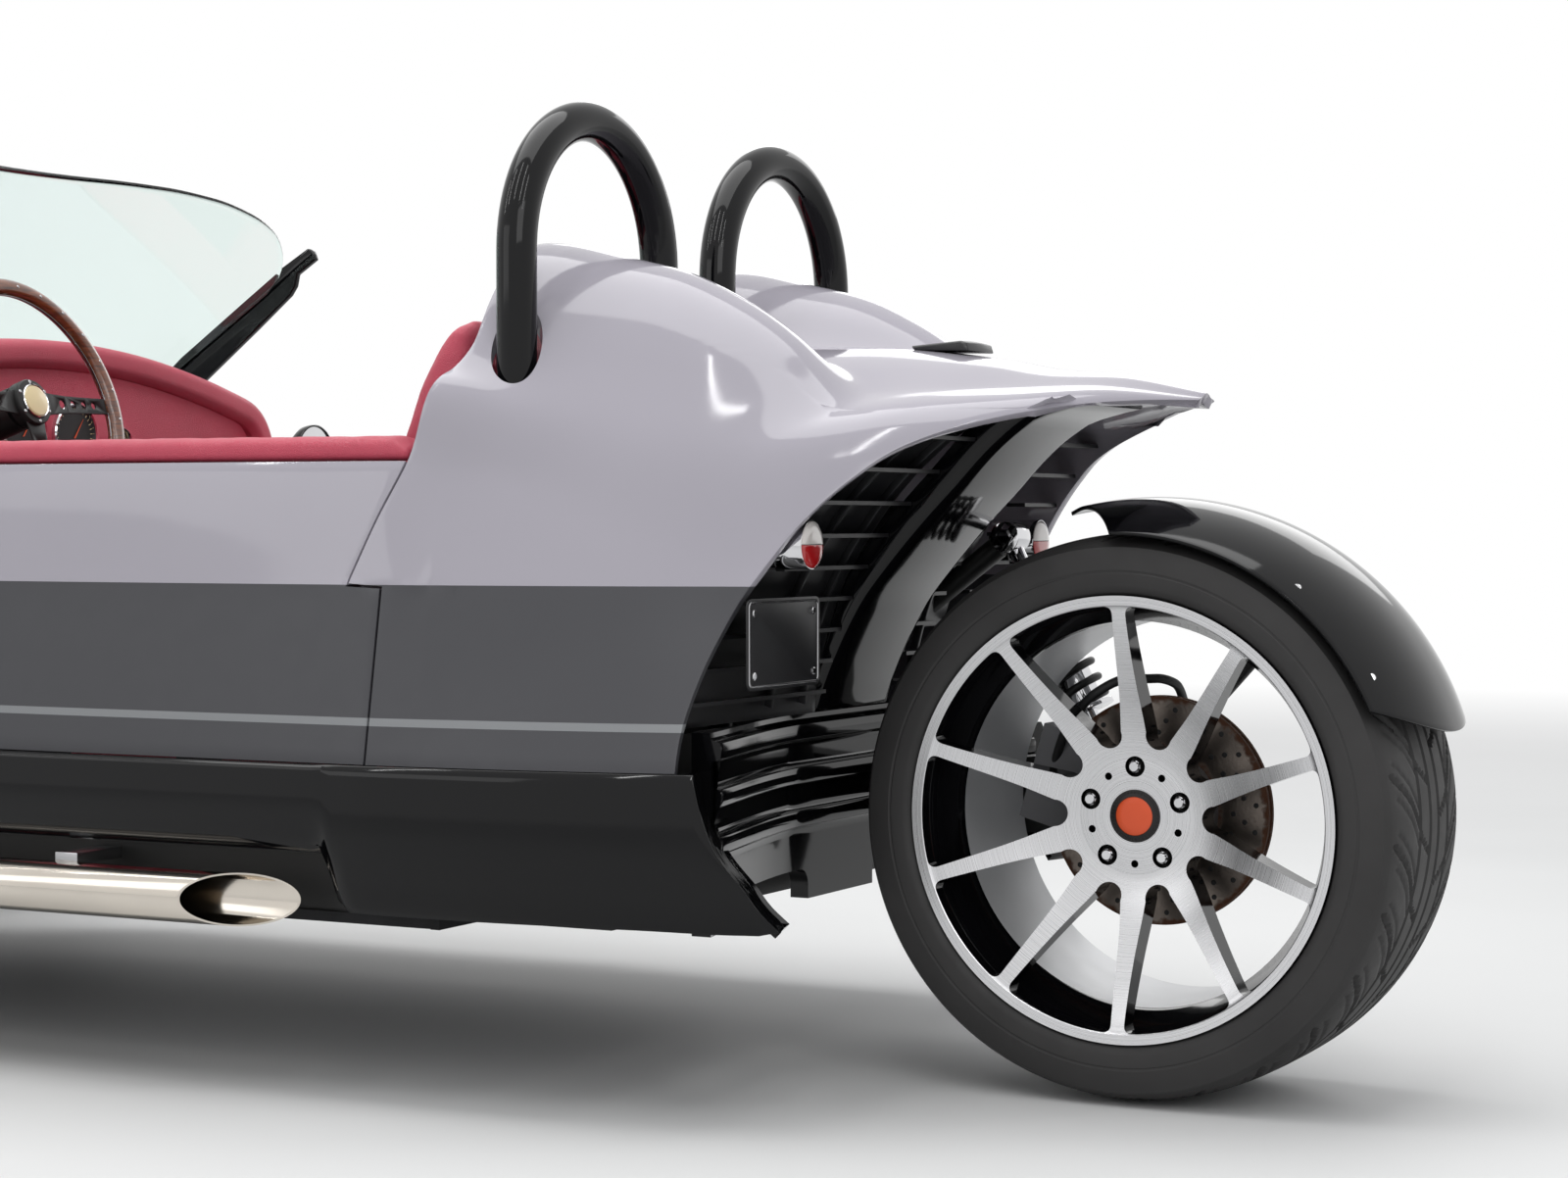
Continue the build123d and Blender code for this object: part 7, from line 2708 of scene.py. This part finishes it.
@dataclass
class Windscreen:
    """The low bowed windscreen with its black side bars and screws."""

    base_x: float = SKIN.cowl_x + 111.0
    base_z: float = 900.0
    rake: float = 33.2
    half: float = 500.0
    bow: float = 150.0
    thick: float = 5.6

    def reach(self, v: float) -> tuple[float, float]:
        """Give the lowest and highest distance up the slope at a place across the glass."""
        crest = read_curve(((0.0, 1164.6), (150.0, 1164.0), (240.0, 1160.0), (320.0, 1149.0), (385.0, 1130.0),
                            (430.0, 1108.0), (462.0, 1082.0), (482.0, 1058.0), (494.0, 1036.0),
                            (500.0, 1014.0)),
                           abs(v))
        t = math.radians(self.rake)
        n = self.bow * (1 - (v / self.half) ** 2)
        high = (crest - self.base_z - math.cos(t) * n) / math.sin(t)

        def under(s: float) -> bool:
            """Tell whether the glass is still under the skin."""
            x, z = self.point(v, s)
            return z < SKIN.top(x, v) + 0.5

        return narrow(-200.0, high - 20.0, under)[1], high

    def point(self, v: float, s: float) -> tuple[float, float]:
        """Give x and z of the glass at a place across it and a distance up its slope."""
        t = math.radians(self.rake)
        n = self.bow * (1 - (v / self.half) ** 2)
        return (self.base_x + math.sin(t) * n - math.cos(t) * s,
                self.base_z + math.cos(t) * n + math.sin(t) * s)

    def glass(self) -> Obj:
        """Make the pane, its edge a little rounded.

        Returns:
            The finished piece.
        """
        rows = []
        for k in range(37):
            row = []
            for i in range(121):
                v = (self.half - 0.5) * (1 - 2 * i / 120)
                low, high = self.reach(v)
                x, z = self.point(v, lerp(low, high - 0.5, k / 36))
                row.append(place(x, v, z))
            rows.append(row)
        solid = Solid()
        solid.sheet(rows, self.thick / 1000)
        return dress(solid.build("windscreen_pane", bevel=0.0012), Finishes.GLASS, "body", "glass",
                     "windscreen")

    def bars(self) -> list[Obj]:
        """Make the black side bars and their screws.

        Returns:
            The pieces.
        """
        x = self.base_x
        bar = ((-271, 1072), (-268, 1080), (-262, 1087), (-256, 1090), (-200, 1058), (-130, 1011),
               (-8, 928), (20, 905), (42, 884), (54, 870), (34, 859), (6, 852), (-26, 866), (-56, 890),
               (-156, 966), (-222, 1018), (-232, 1032), (-236, 1050))
        foot = ((-56, 815), (-10, 806), (54, 800), (58, 835), (54, 870), (34, 876), (12, 880), (-46, 880))
        solid = Solid()
        for side in (1, -1):
            solid.side_prism([(x + dx, z) for dx, z in bar], side * (self.half + 1),
                             side * (self.half + 11.5))
            solid.side_prism([(x + dx, z) for dx, z in foot], side * (self.half - 28),
                             side * (self.half + 11.5))
        bars = solid.build("screen_bars", bevel=0.0022, segments=3)
        spots = []
        for k in range(5):
            share = k / 4
            spots.append(facing(place(lerp(x - 6, x - 260, share), self.half + 11.2, lerp(888, 1081, share)),
                                Vector((0, 1, 0)), 0.4 * k))
        screws = repeat("screen_screws", Unit.HEAD, mirrored(spots), Finishes.CHROME, Radius=0.0058,
                        Height=0.0028, Sides=24)
        return [dress(bars, Finishes.GLOSS_BLACK, "body", "black_metal", "screen_brackets"),
                dress(screws, Finishes.CHROME, "body", "steel")]

    def make(self) -> list[Obj]:
        """Make the glass and its bars.

        Returns:
            The pieces.
        """
        return [self.glass(), *self.bars()]


@dataclass
class Lamps:
    """The round headlamps and the round mirrors."""

    x: float = FRONT_AXLE_X + 351.0
    y: float = 402.0
    z: float = 590.0
    mirror_x: float = SKIN.cowl_x - 80.0
    mirror_y: float = 612.0
    mirror_z: float = 770.0
    mirror_r: float = 50.0

    def turned(self, solid: Solid, profile: Sequence[Point2], centre: tuple[float, float, float],
               side: int) -> None:
        """Turn a profile about a level line along the car.

        Args:
            solid: Where the shape goes.
            profile: Pairs of radius and distance forwards, as a closed loop.
            centre: The line's start.
            side: 1 for the left side, -1 for the right one.
        """
        rings = []
        for k in range(96):
            a = math.tau * k / 96
            rings.append([place(centre[0] + dx, side * centre[1] + max(r, 0.05) * math.cos(a),
                                centre[2] + max(r, 0.05) * math.sin(a)) for r, dx in profile])
        solid.loft(rings, looped=True)

    def headlamps(self) -> list[Obj]:
        """Make both headlamps with their bezels, lenses and arms.

        Returns:
            The pieces.
        """
        shell, bezel, lens, bowl, arm = Solid(), Solid(), Solid(), Solid(), Solid()
        centre = (self.x, self.y, self.z)
        for side in (1, -1):
            self.turned(shell, ((84.0, 92.0), (85.4, 60.0), (85.0, 20.0), (82.0, -6.0), (74.0, -28.0),
                                (60.0, -44.0), (42.0, -55.0), (22.0, -59.4), (0.0, -60.0), (0.0, -56.0),
                                (22.0, -55.0), (56.0, -40.0), (76.0, -8.0), (79.0, 20.0), (80.0, 92.0)),
                        centre, side)
            self.turned(bezel, ((85.0, 90.0), (85.9, 95.0), (85.2, 101.0), (82.0, 104.6), (77.0, 104.9),
                                (74.6, 103.0), (75.4, 98.0), (76.0, 90.0)), centre, side)
            self.turned(lens, ((75.2, 97.0), (60.0, 100.6), (36.0, 103.0), (0.0, 104.0), (0.0, 101.0),
                               (36.0, 100.0), (60.0, 97.6), (75.2, 94.0)), centre, side)
            self.turned(bowl, ((75.0, 92.0), (66.0, 70.0), (48.0, 52.0), (24.0, 42.0), (12.0, 40.5),
                               (12.0, 62.0), (0.0, 64.0), (0.0, 38.0), (26.0, 39.0), (50.0, 49.0),
                               (69.0, 68.0), (78.0, 91.0)),
                        centre, side)
            inner = SKIN.half_width(self.x + 80, self.z) - 6
            rings = []
            for y, grow in ((inner, 1.25), (inner + 10, 1.0), (self.y - 70, 0.95), (self.y - 42, 1.0)):
                rings.append([place(self.x + 50 + 28 * grow * math.cos(a), side * y,
                                    self.z - 30 + 13 * grow * math.sin(a))
                              for a in (math.tau * n / 36 for n in range(36))])
            arm.loft(rings)
        return [dress(shell.build("headlamp_shells"), Finishes.GLOSS_BLACK, "body", "gloss_black",
                      "headlamps"),
                dress(bezel.build("headlamp_bezels"), Finishes.CHROME, "body", "steel"),
                dress(lens.build("headlamp_lenses"), Finishes.GLASS, "body", "glass"),
                dress(bowl.build("headlamp_bowls"), Finishes.CHROME, "body", "steel"),
                dress(arm.build("headlamp_arms", bevel=0.0008), Finishes.BLACK_METAL, "body", "black_metal")]

    def mirrors(self) -> list[Obj]:
        """Make both mirrors with their stalks.

        Returns:
            The pieces.
        """
        shell, face, stalk = Solid(), Solid(), Solid()
        centre = (self.mirror_x, self.mirror_y, self.mirror_z)
        r = self.mirror_r
        for side in (1, -1):
            self.turned(shell, ((r - 3.5, 2.0), (r - 2.0, 0.0), (r - 0.4, 1.0), (r - 0.1, 6.0),
                                (r - 2.0, 16.0), (r - 9.0, 26.0), (r - 22.0, 33.0), (16.0, 36.4),
                                (0.0, 37.0), (0.0, 6.0), (r - 3.5, 6.0)), centre, side)
            self.turned(face, ((r - 3.6, 3.0), (r - 12.0, 2.5), (0.0, 2.2), (0.0, 5.9), (r - 3.6, 5.9)),
                        centre, side)
            path = []
            for k in range(25):
                t = k / 24
                path.append(place(self.mirror_x + lerp(32, 56, t), side * (self.mirror_y - lerp(14, 96, t)),
                                  self.mirror_z - lerp(18, 58, t) + 5 * math.sin(math.pi * t)))
            stalk.tube(path, 0.0068, 24)
        return [dress(shell.build("mirror_shells"), Finishes.GLOSS_BLACK, "body", "gloss_black", "mirrors"),
                dress(face.build("mirror_glass"), Finishes.CHROME, "body", "glass"),
                dress(stalk.build("mirror_stalks"), Finishes.BLACK_METAL, "body", "black_metal")]

    def make(self) -> list[Obj]:
        """Make the headlamps and the mirrors.

        Returns:
            The pieces.
        """
        return [*self.headlamps(), *self.mirrors()]


@dataclass
class Springs:
    """The coil spring of the rear damper, wound around its body."""

    wire: float = 5.0

    def coil(self, solid: Solid, start: Vector, end: Vector, radius: float, turns: float) -> None:
        """Wind one spring.

        Args:
            solid: Where it goes.
            start: Its lower end in millimetres.
            end: Its upper end in millimetres.
            radius: The wire's distance from the middle line.
            turns: How often it goes round.
        """
        along = (end - start).normalized()
        across = along.orthogonal().normalized()
        other = along.cross(across)
        path = []
        steps = int(turns * 26)
        for k in range(steps + 1):
            a = math.tau * turns * k / steps
            p = start.lerp(end, k / steps) + radius * (math.cos(a) * across + math.sin(a) * other)
            path.append(place(p.x, p.y, p.z))
        solid.tube(path, self.wire / 1000, 12)

    def make(self) -> list[Obj]:
        """Make the rear spring around its damper.

        Returns:
            The pieces.
        """
        foot, head = Vector((150, -205, 388)), Vector((278, -205, 646))
        coil, body = Solid(), Solid()
        self.coil(coil, foot.lerp(head, 0.17), foot.lerp(head, 0.73), 28.0, 7.5)
        for a, b, r in ((0.0, 1.0, 9.5), (0.15, 0.5, 22.0), (0.15, 0.17, 33.5), (0.73, 0.75, 33.5)):
            p, q = foot.lerp(head, a), foot.lerp(head, b)
            body.rod(tuple(p), tuple(q), r, 40)
        eye = Solid()
        outer, inner = head - Vector((0, 20, 0)), head + Vector((0, 20, 0))
        eye.rod(tuple(outer), tuple(inner), 19.8, 48)
        bolt = repeat("shock_bolts", Unit.HEAD,
                      [facing(place(*outer), Vector((0, -1, 0))), facing(place(*inner), Vector((0, 1, 0)))],
                      Finishes.CHROME, Radius=0.011, Height=0.004, Sides=6)
        return [dress(body.build("shock_body", bevel=0.0008), Finishes.CHROME, "body", "steel", "rear_shock"),
                dress(coil.build("shock_spring"), Finishes.BLACK_METAL, "body", "steel"),
                dress(eye.build("shock_eye", bevel=0.0015), Finishes.CHROME, "body", "steel"),
                dress(bolt, Finishes.CHROME, "body", "steel")]


@dataclass
class BrakeHose:
    """The loop of black hose at the rear caliper."""

    knots: tuple[tuple[float, float, float], ...] = (
        (126.0, 18.0, 380.0), (102.0, 36.0, 424.0), (66.0, 42.0, 464.0), (28.0, 34.0, 482.0),
        (2.0, 8.0, 482.0), (-8.0, -30.0, 474.0), (-2.0, -76.0, 450.0), (14.0, -126.0, 416.0),
        (30.0, -182.0, 372.0),
    )
    radius: float = 5.5

    def make(self) -> Obj:
        """Make the hose as a smooth tube.

        Returns:
            The finished piece.
        """
        path = []
        for t in (k / 60 for k in range(61)):
            share = t * (len(self.knots) - 1)
            spot = [read_curve([(float(i), knot[axis]) for i, knot in enumerate(self.knots)], share)
                    for axis in range(3)]
            path.append(place(*spot))
        solid = Solid()
        solid.tube(path, self.radius / 1000, 20)
        return dress(solid.build("brake_hose"), Finishes.DULL_BLACK, "body", "black_plastic")


class RunningGear:
    """Finishes of the CAD nodes that stay as they are."""

    FINISHES: dict[str, Finish] = {
        "chassis": Finishes.BLACK_METAL, "engine": Finishes.CAST_ALUMINIUM, "tub": Finishes.CARPET,
        "front_arms": Finishes.BLACK_METAL, "front_dampers": Finishes.STEEL, "half_shafts": Finishes.STEEL,
        "rack": Finishes.STEEL, "rack_housing": Finishes.CAST_ALUMINIUM,
        "knuckle_left": Finishes.CAST_ALUMINIUM, "knuckle_right": Finishes.CAST_ALUMINIUM,
        "front_caliper_left": Finishes.CAST_IRON, "front_caliper_right": Finishes.CAST_IRON,
        "rear_caliper": Finishes.CAST_IRON,
        "rear_arm": Finishes.BLACK_METAL, "fender_stays": Finishes.BLACK_METAL, "pedals": Finishes.ALUMINIUM,
        "steering_column": Finishes.BLACK_METAL, "nose_grille": Finishes.SATIN_BLACK,
    }

    def dress(self) -> None:
        """Give every remaining node its finish."""
        for node, finish in self.FINISHES.items():
            coat(node, finish)


# Studio


@dataclass
class Studio:
    """The pale floor, the soft lamps, the white surround and the camera of the photo."""

    eye: tuple[float, float, float] = (-2.71788, 3.36834, 0.66790)
    heading: float = 27.27
    pitch: float = 1.306
    lens: float = 69.72

    def camera(self) -> None:
        """Set the camera where the photo was taken."""
        data = bpy.data.cameras.new("camera")
        data.lens, data.sensor_width = self.lens, 36.0
        camera = bpy.data.objects.new("camera", data)
        bpy.context.scene.collection.objects.link(camera)
        h, p = math.radians(self.heading), math.radians(self.pitch)
        ahead = Vector((math.sin(h) * math.cos(p), -math.cos(h) * math.cos(p), -math.sin(p)))
        camera.location = self.eye
        camera.rotation_mode = "QUATERNION"
        camera.rotation_quaternion = ahead.to_track_quat("-Z", "Y")
        bpy.context.scene.camera = camera

    def floor(self) -> None:
        """Lay the pale floor, which fades into the white surround far from the car."""
        solid = Solid()
        solid.add([Vector((x, y, 0.0)) for x, y in ((-30, -30), (30, -30), (30, 30), (-30, 30))],
                  [(0, 1, 2, 3)])
        floor = solid.build("floor")
        desk = NodeDesk("floor_paint")
        desk.set(Roughness=0.6, Specular_IOR_Level=0.2)
        cloud = desk.spread(desk.noise(0.6, 4.0), 0.0, 1.0)
        desk.join(desk.mix(cloud, srgb(222, 222, 221), srgb(230, 230, 229)), desk.shader.inputs["Base Color"])
        distance = desk.add("ShaderNodeVectorMath", operation="LENGTH")
        desk.join(desk.coords, distance.inputs[0])
        far = desk.spread(distance.outputs["Value"], 0.0, 1.0, 3.0, 8.5)
        path = desk.add("ShaderNodeLightPath")
        seen = desk.math("MAXIMUM", path.outputs["Is Camera Ray"],
                         desk.math("MAXIMUM", path.outputs["Is Glossy Ray"],
                                   path.outputs["Is Transmission Ray"]))
        white = desk.add("ShaderNodeEmission")
        blend = desk.add("ShaderNodeMixShader")
        desk.join(desk.math("MULTIPLY", far, seen), blend.inputs[0])
        desk.join(desk.shader.outputs[0], blend.inputs[1])
        desk.join(white.outputs[0], blend.inputs[2])
        desk.join(blend.outputs[0], desk.output.inputs["Surface"])
        floor.data.materials.append(desk.material)

    def surround(self) -> None:
        """Show white to the camera, to metal and to glass, and a plain soft light to the rest."""
        world = bpy.data.worlds.new("surround")
        world.use_nodes = True
        nodes, links = world.node_tree.nodes, world.node_tree.links
        nodes.clear()
        path = nodes.new("ShaderNodeLightPath")
        first, second = nodes.new("ShaderNodeMath"), nodes.new("ShaderNodeMath")
        first.operation = second.operation = "MAXIMUM"
        links.new(path.outputs["Is Camera Ray"], first.inputs[0])
        links.new(path.outputs["Is Glossy Ray"], first.inputs[1])
        links.new(first.outputs[0], second.inputs[0])
        links.new(path.outputs["Is Transmission Ray"], second.inputs[1])
        mix, soft, white = (nodes.new("ShaderNodeMixShader"), nodes.new("ShaderNodeBackground"),
                            nodes.new("ShaderNodeBackground"))
        soft.inputs["Color"].default_value = (0.95, 0.97, 1.0, 1.0)
        soft.inputs["Strength"].default_value = 0.5
        white.inputs["Color"].default_value = (1.0, 1.0, 1.0, 1.0)
        white.inputs["Strength"].default_value = 1.0
        out = nodes.new("ShaderNodeOutputWorld")
        links.new(second.outputs[0], mix.inputs[0])
        links.new(soft.outputs[0], mix.inputs[1])
        links.new(white.outputs[0], mix.inputs[2])
        links.new(mix.outputs[0], out.inputs["Surface"])
        bpy.context.scene.world = world

    def lamp(self, name: str, spot: tuple[float, float, float], aim: tuple[float, float, float],
             size: Point2, power: float) -> None:
        """Hang one soft lamp.

        Args:
            name: The lamp's name.
            spot: Where it hangs, in metres.
            aim: What it looks at.
            size: Its width and height in metres.
            power: Its power in watts.
        """
        data = bpy.data.lights.new(name, "AREA")
        data.shape = "RECTANGLE"
        data.size, data.size_y = size
        data.energy = power
        lamp = bpy.data.objects.new(name, data)
        lamp.location = spot
        lamp.rotation_mode = "QUATERNION"
        lamp.rotation_quaternion = (Vector(aim) - Vector(spot)).to_track_quat("-Z", "Y")
        bpy.context.scene.collection.objects.link(lamp)

    def make(self) -> None:
        """Set up the camera, the floor, the surround and the lamps."""
        self.camera()
        self.floor()
        self.surround()
        self.lamp("overhead", (0.0, 0.0, 4.2), (0.0, 0.0, 0.0), (5.0, 3.0), 128.0)
        self.lamp("key", (-4.0, 3.4, 2.6), (-0.4, 0.0, 0.5), (2.6, 1.8), 30.0)
        self.lamp("side", (1.8, 4.6, 2.0), (0.2, 0.0, 0.5), (3.2, 1.4), 16.0)
        self.lamp("far", (0.0, -4.6, 2.6), (0.0, 0.0, 0.6), (4.0, 1.6), 30.0)
        for k in range(5):
            x = -3.4 + 1.5 * k
            self.lamp(f"strip_{k}", (x, 2.2, 3.4), (x * 0.6, 0.0, 0.5), (0.07, 1.5), 7.0)
        bpy.context.scene.view_settings.view_transform = "Standard"


def report(name: str, pieces: Obj | Sequence[Obj]) -> int:
    """Write how many pieces and faces an assembly has to the log.

    Args:
        name: The assembly's name.
        pieces: Its pieces.

    Returns:
        How many faces it has.
    """
    group = [pieces] if isinstance(pieces, bpy.types.Object) else list(pieces)
    faces = sum(len(piece.data.polygons) for piece in group)
    for piece in group:
        LOG.info("%s: %s has %d faces", name, piece.name, len(piece.data.polygons))
    return faces


def main() -> None:
    """Build the roadster's looks in order."""
    logging.basicConfig(level=logging.INFO, format="%(message)s")
    Studio().make()
    makers = [("panels", BodyPanels()), ("skirts", Skirts()), *(("wheel", wheel) for wheel in all_wheels()),
              ("fenders", Fenders()), ("hoops", RollHoops()), ("exhausts", Exhausts()),
              ("rear", RearPanels()), ("seats", Seats()), ("trim", Trim()), ("steering", SteeringWheel()),
              ("screen", Windscreen()), ("lamps", Lamps()), ("springs", Springs()), ("hose", BrakeHose())]
    total = sum(report(name, maker.make()) for name, maker in makers)
    RunningGear().dress()
    LOG.info("faces in all: %d", total)


if __name__ == "__main__":
    main()
